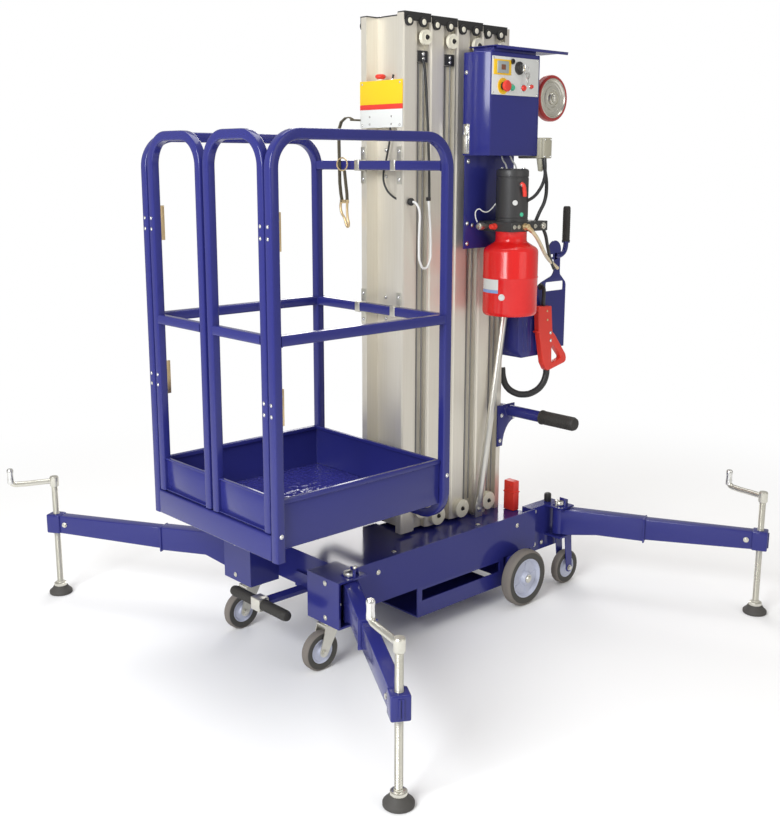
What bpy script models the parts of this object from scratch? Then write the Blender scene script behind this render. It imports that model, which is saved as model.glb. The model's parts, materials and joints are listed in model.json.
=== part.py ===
"""Vertical mast lift: a push-around one-person work platform on an aluminium mast.

Metres, +Z up.  The origin is on the floor at the middle of the outrigger pads.
The platform is at -Y, the pump unit and the push handles are on the mast at +Y.
"""
import math

import bmesh
import bpy
from mathutils import Matrix, Vector

# Clearances
SEAT_GAP = 0.0003
PIN_CLEARANCE = 0.0005
SLIDE_GAP = 0.0008

# Chassis
CHASSIS_HALF_WIDTH = 0.248
CHASSIS_FRONT_Y = -0.420
CHASSIS_REAR_Y = 0.430
CHASSIS_BOTTOM_Z = 0.170
CHASSIS_TOP_Z = 0.310
DECK_TOP_Z = 0.288
CHASSIS_WALL = 0.006

# Fork channels under the chassis
FORK_INNER_X = 0.075
FORK_FRONT_Y = -0.157
FORK_REAR_Y = 0.262
FORK_BOTTOM_Z = 0.068
FORK_WALL = 0.005
FORK_SLOT_LOW_Z = 0.122
FORK_SLOT_HIGH_Z = 0.160
FORK_SLOT_END = 0.020

# Outriggers
PIN_RADIUS = 0.011
PIN_HEAD_RADIUS = 0.018
PIN_HEAD_HEIGHT = 0.012
FRONT_PIN_X = CHASSIS_HALF_WIDTH + 0.022
FRONT_PIN_Y = CHASSIS_FRONT_Y - 0.047
REAR_PIN_X = CHASSIS_HALF_WIDTH + 0.017
REAR_PIN_Y = CHASSIS_REAR_Y + 0.118
JACK_X = 0.893
JACK_Y = 0.846
EAR_TOP_Z = CHASSIS_TOP_Z - 0.005
EAR_PLATE = 0.006
FRONT_EAR_LOW_Z = 0.157
REAR_EAR_LOW_Z = 0.190
ARM_EAR_CLEARANCE = 0.0030
ARM_HALF_WIDTH = 0.028
ARM_INNER_END = 0.310
ARM_INNER_LOW_Z = 0.2135
ARM_OUTER_HALF_WIDTH = 0.020
ARM_STEP_PLATE = 0.006
ARM_STEP_PROUD = 0.0045
ARM_TIP_LOW_Z = 0.232
ARM_TIP_HIGH_Z = 0.300
ARM_BARREL_RADIUS = 0.026
CLAMP_RADIUS = 0.030
CLAMP_CHAMFER = 0.004
LOCK_PLATE = 0.003
LOCK_PLATE_TAB = 0.020
LOCK_PIN_RADIUS = 0.0050
LOCK_PIN_HEIGHT = 0.024
LOCK_PIN_INSET = 0.0015
LOCK_KNOB_RADIUS = 0.0120
LOCK_KNOB_HEIGHT = 0.030

# Jacks
SCREW_RADIUS = 0.0110
PAD_RADIUS = 0.040
PAD_RIM_Z = 0.012
PAD_CUP_RADIUS = 0.022
PAD_CUP_Z = 0.040
ELBOW_Z = 0.420
ELBOW_RADIUS = 0.0155
CRANK_RADIUS = 0.0100
CRANK_REACH = 0.145
KNOB_RADIUS = 0.0115
KNOB_TOP_Z = 0.478

# Corner brackets
FRONT_BRACKET_FACE_Y = CHASSIS_FRONT_Y - 0.115
FRONT_BRACKET_INNER_X = CHASSIS_HALF_WIDTH - 0.098
FRONT_BRACKET_OUTER_X = CHASSIS_HALF_WIDTH + 0.052
REAR_RAIL_INNER_X = CHASSIS_HALF_WIDTH - 0.063
REAR_RAIL_OUTER_X = CHASSIS_HALF_WIDTH - 0.020
REAR_RAIL_END_Y = CHASSIS_REAR_Y + 0.155
REAR_RAIL_LOW_Z = 0.140
REAR_EAR_OUTER_X = CHASSIS_HALF_WIDTH + 0.052
REAR_EAR_FRONT_Y = CHASSIS_REAR_Y + 0.080
FORK_FOOT_ROUND = 0.016

# Casters and wheels
CASTER_X = CHASSIS_HALF_WIDTH - 0.0405
CASTER_Y = CHASSIS_FRONT_Y - 0.075
CASTER_RACE_RADIUS = 0.026
CASTER_TRAIL = 0.040
SMALL_WHEEL_RADIUS = 0.0625
SMALL_WHEEL_WIDTH = 0.032
FORK_SIDE_GAP = 0.0040
FORK_SIDE_PLATE = 0.0035
AXLE_RADIUS = 0.0060
REAR_SMALL_X = CHASSIS_HALF_WIDTH + 0.022
REAR_SMALL_Y = CHASSIS_REAR_Y + 0.148
BIG_WHEEL_RADIUS = 0.100
BIG_WHEEL_WIDTH = 0.045
BIG_WHEEL_X = CHASSIS_HALF_WIDTH + 0.0295 + BIG_WHEEL_WIDTH / 2
BIG_WHEEL_Y = 0.310
BIG_AXLE_RADIUS = 0.0095
AXLE_BEAM_HALF_LENGTH = CHASSIS_HALF_WIDTH + 0.020
AXLE_BEAM_HALF_DEPTH = 0.025
AXLE_BEAM_LOW_Z = 0.080

# Mast
MAST_HALF_WIDTH = 0.0995
MAST_FRONT_Y = -0.093
SECTION_DEPTH = 0.1187
FIXED_SECTION_DEPTH = 0.1345
SECTION_PITCH = SECTION_DEPTH + SLIDE_GAP
MAST_REAR_Y = MAST_FRONT_Y + 3 * SECTION_PITCH + FIXED_SECTION_DEPTH
FACE_DEPTH = 0.052
LIP_DEPTH = 0.009
LIP_DROP = 0.003
TRACK_DEPTH = 0.052
EDGE_CHAMFER = 0.006
NECK_HALF_WIDTH = 0.078
MAST_TOP_Z = 1.976
TOP_STEP = 0.004
MOVING_BOTTOM_Z = 0.300
SECTION_WALL = 0.005
FRONT_CHANNEL_HALF = 0.0715
FRONT_CHANNEL_DEPTH = 0.048
FLANGE_WALL = 0.004
CAP_THICKNESS = 0.004
CAP_OVERHANG = 0.0035
CAP_SKIRT = 0.022
ROLLER_RADIUS = 0.015
ROLLER_THICKNESS = 0.008
ROLLER_Z_BELOW_TOP = 0.024
ROLLER_OFFSETS = (0.020, 0.081)
TOP_SHEAVE_RADIUS = 0.0215
TOP_SHEAVE_THICKNESS = 0.011
TOP_SHEAVE_DROP = 0.068
TOP_SHEAVE_OFFSET = 0.092
SHEAVE_PIN_RADIUS = 0.005
ANCHOR_LOW = 0.143
ANCHOR_HIGH = 0.107
ANCHOR_INSET = 0.003
FOOT_SHEAVE_RADIUS = 0.031
FOOT_SHEAVE_THICKNESS = 0.014

# Platform
TUBE = 0.030
CAGE_X = 0.3105
CAGE_FRONT_Y = -0.760
CAGE_REAR_Y = -0.1085
RAIL_TOP_Z = 1.6000
MID_RAIL_Z = 1.0565
CAGE_LOW_Z = 0.4345
REAR_BAR_Z = 1.517
BOTTOM_BAR_Z = 0.417
CAGE_BEND = 0.090
TRAY_HALF_WIDTH = 0.308
TRAY_BOTTOM_Z = 0.465
TRAY_TOP_Z = 0.611
TRAY_WALL = 0.003
TRAY_RIM = 0.012
TRAY_RIM_DEPTH = 0.010
SILL_TOP_Z = 0.510
GATE_TUBE = 0.028
GATE_OUTER_X = 0.276
GATE_INNER_X = 0.020
GATE_BEND = 0.085
GATE_LOW_Z = 0.515
GATE_PANEL_TOP_Z = 0.618
GATE_PANEL = 0.004
GATE_AXIS_X = 0.2928
GATE_AXIS_Y = -0.7415
HINGE_HEIGHT = 0.090
HINGE_CENTRES_Z = (RAIL_TOP_Z - 0.255, RAIL_TOP_Z - 0.700)
HINGE_KNUCKLE_RADIUS = 0.0042
HINGE_LEAF = 0.0022

# Clips that hold the rear bars to the mast's front flanges
CLIP_HALF_WIDTH = 0.012
CLIP_PROUD = 0.003

# Control station in the front channel
STATION_TOP_Z = MAST_TOP_Z - 0.197
STATION_HEIGHT = 0.145
STATION_PLATE = 0.003
STATION_BOX_DEPTH = 0.040
STATION_SIDE_GAP = 0.002
STOP_X = -0.026
STOP_RADIUS = 0.017
STOP_STEM_RADIUS = 0.009
STOP_HEIGHT = 0.026
TOGGLE_X = 0.030
TOGGLE_RADIUS = 0.007
TOGGLE_HEIGHT = 0.022

# Side equipment on the fixed mast section
MOUNT_PLATE_X = MAST_HALF_WIDTH + 0.0265
MOUNT_PLATE = 0.005
MOUNT_REAR_Y = MAST_REAR_Y
MOUNT_FRONT_Y = MOUNT_REAR_Y - 0.242
BOX_TOP_Z = MAST_TOP_Z - 0.106
BOX_LOW_Z = BOX_TOP_Z - 0.322
MOUNT_LOW_Z = BOX_TOP_Z - 0.625
BOX_OUTER_X = MOUNT_PLATE_X + 0.109
BOX_FRONT_Y = MOUNT_FRONT_Y - 0.016
BOX_REAR_Y = MOUNT_REAR_Y - 0.002
BOX_WALL = 0.003
BOX_CORNER_X = 0.042
BOX_CORNER_Y = 0.018
PANEL_TOP_Z = BOX_TOP_Z - 0.014
PANEL_LOW_Z = BOX_TOP_Z - 0.132
PANEL_PLATE = 0.0022
HOOD_Z = BOX_TOP_Z + 0.016
HOOD_PLATE = 0.003
HOOD_REAR_Y = BOX_REAR_Y + 0.134
HOOD_OUTER_X = BOX_OUTER_X + 0.010
JUNCTION_LOW_X = MOUNT_PLATE_X + 0.024
JUNCTION_HIGH_X = BOX_OUTER_X + 0.027
JUNCTION_DEPTH = 0.042
JUNCTION_LOW_Z = BOX_LOW_Z - 0.008
JUNCTION_HIGH_Z = BOX_LOW_Z + 0.060
PUMP_X = MOUNT_PLATE_X + 0.100
PUMP_Y = MOUNT_REAR_Y - 0.115
MOTOR_RADIUS = 0.0535
MOTOR_TOP_Z = BOX_LOW_Z - 0.041
MOTOR_CAP = 0.026
MOTOR_GROOVE = 0.0015
MANIFOLD_TOP_Z = MOTOR_TOP_Z - 0.171
NECK_RADIUS = 0.052
NECK_TOP_Z = MANIFOLD_TOP_Z - 0.0325
TANK_RADIUS = 0.0915
TANK_TOP_Z = NECK_TOP_Z - 0.0335
TANK_SHOULDER_Z = TANK_TOP_Z - 0.020
TANK_BOTTOM_Z = TANK_SHOULDER_Z - 0.225
TANK_SEAM_Z = TANK_SHOULDER_Z - 0.097
TANK_SEAM = 0.0014
HOSE_RADIUS = 0.0065

# Rear equipment
LOAD_WHEEL_RADIUS = 0.078
LOAD_WHEEL_WIDTH = 0.034
LOAD_WHEEL_X = 0.150
LOAD_WHEEL_Y = MAST_REAR_Y + 0.160
LOAD_WHEEL_Z = MAST_TOP_Z - 0.232
LOAD_BRACKET_X = 0.092
LOAD_BRACKET_PLATE = 0.006
LOAD_BRACKET_HALF_HEIGHT = 0.045
LOAD_CHEEK_HALF_HEIGHT = 0.030
LOAD_AXLE_RADIUS = 0.010
BATTERY_HALF_WIDTH = 0.170
BATTERY_REAR_Y = MAST_REAR_Y + 0.140
BATTERY_LOW_Z = 0.850
BATTERY_TOP_Z = 1.010
BATTERY_CHAMFER = 0.018
HANDLE_PLATE = 0.005
HANDLE_LOW_Z = BATTERY_LOW_Z + 0.020
HANDLE_FRONT_Y = MAST_REAR_Y + 0.090
HANDLE_REAR_Y = MAST_REAR_Y + 0.250
HANDLE_SHOULDER_Z = HANDLE_LOW_Z + 0.230
HANDLE_SLOT_LOW_Z = HANDLE_SHOULDER_Z - 0.022
HANDLE_SLOT_HIGH_Z = HANDLE_SHOULDER_Z + 0.010
NECK_FRONT_Y = HANDLE_REAR_Y - 0.069
NECK_REAR_Y = HANDLE_REAR_Y - 0.036
HOOK_RADIUS = 0.034
HOOK_Y = HANDLE_REAR_Y - 0.068
HOOK_Z = HANDLE_SHOULDER_Z + 0.122
HANDLE_TUBE_RADIUS = 0.0095
HANDLE_GRIP_RADIUS = 0.0145
HANDLE_GRIP_LOW_Z = HOOK_Z + 0.028
HANDLE_GRIP_LENGTH = 0.125
PLUG_THICKNESS = 0.024
PLUG_TOP_Z = BATTERY_TOP_Z + 0.022
PLUG_CABLE_RADIUS = 0.0070
SLEEVE_RADIUS = 0.0120
PUSH_BAR_Y = MAST_REAR_Y + 0.040
PUSH_BAR_Z = 0.648
PUSH_BAR_RADIUS = 0.0200
PUSH_GRIP_RADIUS = 0.0260
PUSH_GRIP_START_X = 0.255
PUSH_GRIP_END_X = 0.403
PUSH_GUSSET = 0.005
PUSH_GUSSET_LOW_Z = PUSH_BAR_Z - 0.116
PUSH_GUSSET_TOP_Z = PUSH_BAR_Z + 0.014
DECK_PLUG_X = 0.145
DECK_PLUG_Y = MAST_REAR_Y + 0.015
DECK_PLUG_LOW_Z = DECK_TOP_Z + 0.018
DECK_PLUG_TOP_Z = DECK_TOP_Z + 0.108

# Mast braces
BRACE_X = 0.122
BRACE_RADIUS = 0.0125
BRACE_LOW = (MAST_REAR_Y - 0.134, DECK_TOP_Z + 0.064)
BRACE_HIGH = (MAST_REAR_Y - 0.012, MOUNT_LOW_Z - 0.185)
BRACE_BLADE = 0.006
BRACE_BLADE_HALF_WIDTH = 0.019

# T-bar in front
TOW_Y = CHASSIS_FRONT_Y - 0.187
TOW_Z = 0.172
TOW_REACH = 0.135
TOW_GRIP_RADIUS = 0.0165
TOW_BAR_RADIUS = 0.0100

ROUND = 24
WHEEL_ROUND = 20
MIDDLE_ROUND = 16
SMALL_ROUND = 12
TINY_ROUND = 8


def clear_scene():
    for item in list(bpy.data.objects):
        bpy.data.objects.remove(item, do_unlink=True)


def make_material(name, colour, roughness, metallic=0.0):
    material = bpy.data.materials.new(name)
    material.use_nodes = True
    shader = material.node_tree.nodes["Principled BSDF"]
    shader.inputs["Base Color"].default_value = (*colour, 1.0)
    shader.inputs["Roughness"].default_value = roughness
    shader.inputs["Metallic"].default_value = metallic
    return material


clear_scene()
BLUE = make_material("blue_paint", (0.045, 0.045, 0.26), 0.32)
ALUMINIUM = make_material("aluminium", (0.66, 0.65, 0.62), 0.36, 0.8)
ZINC = make_material("zinc", (0.62, 0.60, 0.52), 0.34, 0.9)
BLACK = make_material("black_plastic", (0.02, 0.02, 0.022), 0.5)
RUBBER = make_material("grey_rubber", (0.23, 0.21, 0.20), 0.75)
RED = make_material("red_paint", (0.72, 0.015, 0.015), 0.3)
YELLOW = make_material("yellow_panel", (0.85, 0.62, 0.03), 0.45)
WHITE = make_material("pale_panel", (0.75, 0.76, 0.78), 0.45)


# Mesh helpers

def mesh_object(name, bm, material=None):
    """Put a finished bmesh into a new object, faces outward."""
    bmesh.ops.recalc_face_normals(bm, faces=bm.faces)
    mesh = bpy.data.meshes.new(name)
    bm.to_mesh(mesh)
    bm.free()
    item = bpy.data.objects.new(name, mesh)
    bpy.context.collection.objects.link(item)
    if material is not None:
        mesh.materials.append(material)
    mesh.shade_smooth()
    mesh.set_sharp_from_angle(angle=math.radians(32))
    return item


def box(name, low, high, material=None):
    bm = bmesh.new()
    size = Vector(high) - Vector(low)
    middle = (Vector(high) + Vector(low)) / 2
    matrix = Matrix.Translation(middle) @ Matrix.Diagonal((*size, 1.0))
    bmesh.ops.create_cube(bm, size=1.0, matrix=matrix)
    return mesh_object(name, bm, material)


def prism(name, outline, direction, start, end, material=None):
    """Extrude a closed outline of 2-D points along X, Y or Z."""
    bm = bmesh.new()
    place = {
        "X": lambda a, b, c: (c, a, b),
        "Y": lambda a, b, c: (a, c, b),
        "Z": lambda a, b, c: (a, b, c),
    }[direction]
    low = [bm.verts.new(place(a, b, start)) for a, b in outline]
    high = [bm.verts.new(place(a, b, end)) for a, b in outline]
    bm.faces.new(low)
    bm.faces.new(high)
    count = len(outline)
    for i in range(count):
        j = (i + 1) % count
        bm.faces.new((low[i], low[j], high[j], high[i]))
    return mesh_object(name, bm, material)


def rod(name, start, end, radius, sides=ROUND, material=None, end_radius=None):
    """A round bar, or a cone where end_radius is given."""
    start = Vector(start)
    end = Vector(end)
    along = end - start
    turn = along.to_track_quat("Z", "Y").to_matrix().to_4x4()
    matrix = Matrix.Translation((start + end) / 2) @ turn
    bm = bmesh.new()
    bmesh.ops.create_cone(
        bm,
        cap_ends=True,
        segments=sides,
        radius1=radius,
        radius2=radius if end_radius is None else end_radius,
        depth=along.length,
        matrix=matrix,
    )
    return mesh_object(name, bm, material)


def turned(name, profile, axis, centre, sides=ROUND, material=None):
    """Turn a closed profile of (radius, along) points about X or Z."""
    bm = bmesh.new()
    rings = []
    for k in range(sides):
        angle = 2 * math.pi * k / sides
        ring = []
        for radius, along in profile:
            if axis == "X":
                point = (along, radius * math.cos(angle), radius * math.sin(angle))
            else:
                point = (radius * math.cos(angle), radius * math.sin(angle), along)
            ring.append(bm.verts.new(Vector(point) + Vector(centre)))
        rings.append(ring)
    count = len(profile)
    for k in range(sides):
        here = rings[k]
        there = rings[(k + 1) % sides]
        for i in range(count):
            j = (i + 1) % count
            bm.faces.new((here[i], here[j], there[j], there[i]))
    return mesh_object(name, bm, material)


def lathe_solid(name, profile, centre, sides=ROUND, material=None):
    """Turn an open profile of (radius, z) points about Z and close both ends."""
    bm = bmesh.new()
    rings = []
    for radius, along in profile:
        ring = []
        for k in range(sides):
            angle = 2 * math.pi * k / sides
            point = Vector((radius * math.cos(angle), radius * math.sin(angle), along))
            ring.append(bm.verts.new(point + Vector(centre)))
        rings.append(ring)
    for low, high in zip(rings, rings[1:]):
        for k in range(sides):
            j = (k + 1) % sides
            bm.faces.new((low[k], low[j], high[j], high[k]))
    bm.faces.new(rings[0])
    bm.faces.new(rings[-1])
    return mesh_object(name, bm, material)


def rounded_square(size, corner, steps=2):
    """Outline of a square tube with rounded corners, counter-clockwise."""
    half = size / 2 - corner
    points = []
    for quarter, (sx, sy) in enumerate(((1, 1), (-1, 1), (-1, -1), (1, -1))):
        for k in range(steps + 1):
            angle = math.pi / 2 * (quarter + k / steps)
            points.append((sx * half + corner * math.cos(angle), sy * half + corner * math.sin(angle)))
    return points


def round_outline(radius, sides):
    return [
        (radius * math.cos(2 * math.pi * k / sides), radius * math.sin(2 * math.pi * k / sides))
        for k in range(sides)
    ]


def filleted_path(corners, radius, steps=4):
    """Points of a path whose inner corners are rounded to one bend radius."""
    corners = [Vector(c) for c in corners]
    path = [corners[0]]
    for before, corner, after in zip(corners, corners[1:], corners[2:]):
        back = (before - corner).normalized()
        forth = (after - corner).normalized()
        half_angle = back.angle(forth) / 2
        reach = radius / math.tan(half_angle)
        centre = corner + (back + forth).normalized() * (radius / math.sin(half_angle))
        start = corner + back * reach - centre
        end = corner + forth * reach - centre
        sweep = start.angle(end)
        for k in range(steps + 1):
            a = math.sin(sweep * (1 - k / steps)) / math.sin(sweep)
            b = math.sin(sweep * k / steps) / math.sin(sweep)
            path.append(centre + start * a + end * b)
    path.append(corners[-1])
    return path


def swept(name, path, outline, side, material=None):
    """Sweep an outline along a path with mitred joints; side is the outline's first axis."""
    bm = bmesh.new()
    directions = [(b - a).normalized() for a, b in zip(path, path[1:])]
    side = Vector(side).normalized()
    rings = []
    for i, point in enumerate(path):
        direction = directions[min(i, len(directions) - 1)]
        if 0 < i < len(directions):
            turn = directions[i - 1].rotation_difference(direction)
            side = (turn @ side).normalized()
            cut = (directions[i - 1] + direction).normalized()
        else:
            cut = direction
        up = direction.cross(side).normalized()
        ring = []
        for a, b in outline:
            offset = side * a + up * b
            offset -= direction * (offset.dot(cut) / direction.dot(cut))
            ring.append(bm.verts.new(point + offset))
        rings.append(ring)
    count = len(outline)
    for here, there in zip(rings, rings[1:]):
        for k in range(count):
            j = (k + 1) % count
            bm.faces.new((here[k], here[j], there[j], there[k]))
    bm.faces.new(rings[0])
    bm.faces.new(rings[-1])
    return mesh_object(name, bm, material)


def combine(base, others, operation):
    """Add Boolean modifiers for each other piece, which then only guides the shape."""
    for other in others:
        modifier = base.modifiers.new(other.name, "BOOLEAN")
        modifier.operation = operation
        modifier.solver = "EXACT"
        modifier.object = other
        other.hide_render = True
        other.display_type = "WIRE"
    return base


def add(base, *others):
    return combine(base, others, "UNION")


def cut(base, *others):
    return combine(base, others, "DIFFERENCE")


def hang_on(item, holder):
    """Parent without moving, so that the item keeps its place in the world."""
    item.parent = holder
    item.matrix_parent_inverse = holder.matrix_world.inverted()


def axis_empty(name, place):
    empty = bpy.data.objects.new(name, None)
    empty.location = place
    bpy.context.collection.objects.link(empty)
    bpy.context.view_layer.update()
    return empty


SIDES = (("right", 1), ("left", -1))


# Chassis and what is welded to it

def build_chassis():
    frame = box(
        "base_frame",
        (-CHASSIS_HALF_WIDTH, CHASSIS_FRONT_Y, CHASSIS_BOTTOM_Z),
        (CHASSIS_HALF_WIDTH, CHASSIS_REAR_Y, CHASSIS_TOP_Z),
        BLUE,
    )
    inner = CHASSIS_HALF_WIDTH - CHASSIS_WALL
    above = box(
        "cut_above_deck",
        (-inner, CHASSIS_FRONT_Y - 0.01, DECK_TOP_Z),
        (inner, CHASSIS_REAR_Y + 0.01, CHASSIS_TOP_Z + 0.01),
    )
    below = box(
        "cut_below_deck",
        (-inner, CHASSIS_FRONT_Y + CHASSIS_WALL, CHASSIS_BOTTOM_Z - 0.01),
        (inner, CHASSIS_REAR_Y - CHASSIS_WALL, DECK_TOP_Z - CHASSIS_WALL),
    )
    half = (0.022, 0.013)
    plug = box(
        "deck_plug",
        (DECK_PLUG_X - half[0], DECK_PLUG_Y - half[1], DECK_PLUG_LOW_Z),
        (DECK_PLUG_X + half[0], DECK_PLUG_Y + half[1], DECK_PLUG_TOP_Z),
    )
    legs = [
        rod(
            f"deck_plug_leg_{side}",
            (DECK_PLUG_X + sign * half[0] / 2, DECK_PLUG_Y, DECK_TOP_Z - 0.002),
            (DECK_PLUG_X + sign * half[0] / 2, DECK_PLUG_Y, DECK_PLUG_LOW_Z + 0.002),
            AXLE_RADIUS,
            TINY_ROUND,
        )
        for side, sign in SIDES
    ]
    cut(frame, above, below)
    add(frame, *legs, plug)


def build_fork_channels():
    top = CHASSIS_BOTTOM_Z - SEAT_GAP
    for side, sign in SIDES:
        low_x, high_x = sorted((sign * FORK_INNER_X, sign * CHASSIS_HALF_WIDTH))
        channel = box(
            f"fork_channel_{side}",
            (low_x, FORK_FRONT_Y, FORK_BOTTOM_Z),
            (high_x, FORK_REAR_Y, top),
            BLUE,
        )
        way = box(
            f"cut_fork_way_{side}",
            (low_x + FORK_WALL, FORK_FRONT_Y - 0.01, FORK_BOTTOM_Z + FORK_WALL),
            (high_x - FORK_WALL, FORK_REAR_Y + 0.01, top - FORK_WALL),
        )
        slot_x = sorted((sign * (CHASSIS_HALF_WIDTH - 0.02), sign * (CHASSIS_HALF_WIDTH + 0.01)))
        slot = box(
            f"cut_fork_slot_{side}",
            (slot_x[0], FORK_FRONT_Y + FORK_SLOT_END, FORK_SLOT_LOW_Z),
            (slot_x[1], FORK_REAR_Y - FORK_SLOT_END, FORK_SLOT_HIGH_Z),
        )
        cut(channel, way, slot)


def pin_with_head(name, x, y, low_z):
    """Pivot pin with its bent lock plate and the lock pin beside it."""
    top = EAR_TOP_Z - 0.001
    outward = math.copysign(PIN_HEAD_RADIUS + LOCK_PIN_RADIUS - LOCK_PIN_INSET, x)
    shank = rod(name, (x, y, low_z), (x, y, EAR_TOP_Z + 0.002), PIN_RADIUS, SMALL_ROUND)
    head = rod(name + "_head", (x, y, top), (x, y, EAR_TOP_Z + PIN_HEAD_HEIGHT), PIN_HEAD_RADIUS, SMALL_ROUND)
    plate = box(
        name + "_lock_plate",
        (x - PIN_HEAD_RADIUS, y - PIN_HEAD_RADIUS, top),
        (x + PIN_HEAD_RADIUS, y + PIN_HEAD_RADIUS + 0.004, EAR_TOP_Z + LOCK_PLATE),
    )
    tab = box(
        name + "_lock_tab",
        (x - PIN_HEAD_RADIUS, y + PIN_HEAD_RADIUS + 0.001, top),
        (x + PIN_HEAD_RADIUS, y + PIN_HEAD_RADIUS + 0.001 + LOCK_PLATE, EAR_TOP_Z + LOCK_PLATE_TAB),
    )
    lock = rod(
        name + "_lock_pin",
        (x + outward, y, top),
        (x + outward, y, EAR_TOP_Z + LOCK_PIN_HEIGHT),
        LOCK_PIN_RADIUS,
        TINY_ROUND,
    )
    return shank, head, plate, tab, lock


def build_front_brackets():
    back_y = CHASSIS_FRONT_Y - SEAT_GAP
    for side, sign in SIDES:
        low_x, high_x = sorted((sign * FRONT_BRACKET_INNER_X, sign * FRONT_BRACKET_OUTER_X))
        bracket = box(
            f"corner_bracket_front_{side}",
            (low_x, FRONT_BRACKET_FACE_Y, FRONT_EAR_LOW_Z),
            (high_x, back_y, EAR_TOP_Z),
            BLUE,
        )
        open_low, open_high = sorted(
            (sign * (FRONT_BRACKET_INNER_X + EAR_PLATE), sign * (FRONT_BRACKET_OUTER_X + 0.01))
        )
        opening = box(
            f"cut_front_bracket_{side}",
            (open_low, FRONT_BRACKET_FACE_Y + EAR_PLATE, FRONT_EAR_LOW_Z + EAR_PLATE),
            (open_high, back_y + 0.01, EAR_TOP_Z - EAR_PLATE),
        )
        cut(bracket, opening)
        pin = pin_with_head(f"pin_front_{side}", sign * FRONT_PIN_X, FRONT_PIN_Y, FRONT_EAR_LOW_Z + 0.001)
        add(bracket, *pin)


def build_rear_brackets():
    front_y = CHASSIS_REAR_Y + SEAT_GAP
    wheel_half = SMALL_WHEEL_WIDTH / 2 + FORK_SIDE_GAP
    for side, sign in SIDES:
        rail_low, rail_high = sorted((sign * REAR_RAIL_INNER_X, sign * REAR_RAIL_OUTER_X))
        bracket = box(
            f"corner_bracket_rear_{side}",
            (rail_low, front_y, REAR_RAIL_LOW_Z),
            (rail_high, REAR_RAIL_END_Y, EAR_TOP_Z),
            BLUE,
        )
        ear_low, ear_high = sorted((sign * (REAR_RAIL_OUTER_X - 0.01), sign * REAR_EAR_OUTER_X))
        ears = []
        for name, z in (("upper", EAR_TOP_Z - EAR_PLATE), ("lower", REAR_EAR_LOW_Z)):
            ears.append(
                box(
                    f"ear_{name}_{side}",
                    (ear_low, REAR_EAR_FRONT_Y, z),
                    (ear_high, REAR_RAIL_END_Y - 0.0005, z + EAR_PLATE - 0.0005),
                )
            )
        x = sign * REAR_SMALL_X
        plates = []
        for name, offset in (("in", -wheel_half - FORK_SIDE_PLATE), ("out", wheel_half)):
            top = REAR_EAR_LOW_Z + 0.001
            outline = [(REAR_SMALL_Y - 0.030, top), (REAR_SMALL_Y + 0.006, top)]
            for k in range(7):
                angle = math.pi * (0.1 - 1.2 * k / 6)
                outline.append(
                    (
                        REAR_SMALL_Y + FORK_FOOT_ROUND * math.cos(angle),
                        SMALL_WHEEL_RADIUS + FORK_FOOT_ROUND * math.sin(angle),
                    )
                )
            start = x + offset
            plates.append(prism(f"rear_fork_{name}_{side}", outline, "X", start, start + FORK_SIDE_PLATE))
        axle = rod(
            f"rear_small_axle_{side}",
            (x - wheel_half - FORK_SIDE_PLATE - 0.003, REAR_SMALL_Y, SMALL_WHEEL_RADIUS),
            (x + wheel_half + FORK_SIDE_PLATE + 0.003, REAR_SMALL_Y, SMALL_WHEEL_RADIUS),
            AXLE_RADIUS,
            SMALL_ROUND,
        )
        rail_middle = sign * (REAR_RAIL_INNER_X + REAR_RAIL_OUTER_X) / 2
        knob = rod(
            f"lock_knob_{side}",
            (rail_middle, REAR_PIN_Y, EAR_TOP_Z - 0.001),
            (rail_middle, REAR_PIN_Y, EAR_TOP_Z + LOCK_KNOB_HEIGHT),
            LOCK_KNOB_RADIUS,
            TINY_ROUND,
        )
        pin = pin_with_head(f"pin_rear_{side}", sign * REAR_PIN_X, REAR_PIN_Y, REAR_EAR_LOW_Z + 0.001)
        add(bracket, *ears, *plates, axle, *pin, knob)


def build_rear_axle():
    top = CHASSIS_BOTTOM_Z - SEAT_GAP
    beam = box(
        "rear_axle",
        (-AXLE_BEAM_HALF_LENGTH, BIG_WHEEL_Y - AXLE_BEAM_HALF_DEPTH, AXLE_BEAM_LOW_Z),
        (AXLE_BEAM_HALF_LENGTH, BIG_WHEEL_Y + AXLE_BEAM_HALF_DEPTH, top),
        BLUE,
    )
    end = BIG_WHEEL_X + BIG_WHEEL_WIDTH / 2 + 0.003
    axle = rod(
        "rear_axle_bar",
        (-end, BIG_WHEEL_Y, BIG_WHEEL_RADIUS),
        (end, BIG_WHEEL_Y, BIG_WHEEL_RADIUS),
        BIG_AXLE_RADIUS,
        SMALL_ROUND,
    )
    add(beam, axle)


# Wheels

def wheel_profile(radius, width, bore, tread_share):
    """Half-turn profile of a tyre on a dished hub, as (radius, along X) points."""
    half = width / 2
    hub = radius * tread_share
    edge = radius * 0.055
    return [
        (bore, -half),
        (bore + 0.012, -half),
        (bore + 0.016, -half * 0.45),
        (hub - 0.006, -half * 0.45),
        (hub, -half * 0.9),
        (radius - edge, -half * 0.9),
        (radius, -half * 0.9 + edge * 1.4),
        (radius, half * 0.9 - edge * 1.4),
        (radius - edge, half * 0.9),
        (hub, half * 0.9),
        (hub - 0.006, half * 0.45),
        (bore + 0.016, half * 0.45),
        (bore + 0.012, half),
        (bore, half),
    ]


def build_wheel(name, centre, radius, width, bore, tread_share, material, sides=MIDDLE_ROUND):
    axis = axis_empty(name + "_axis", centre)
    wheel = turned(name, wheel_profile(radius, width, bore, tread_share), "X", centre, sides, material)
    hang_on(wheel, axis)
    return axis


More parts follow.
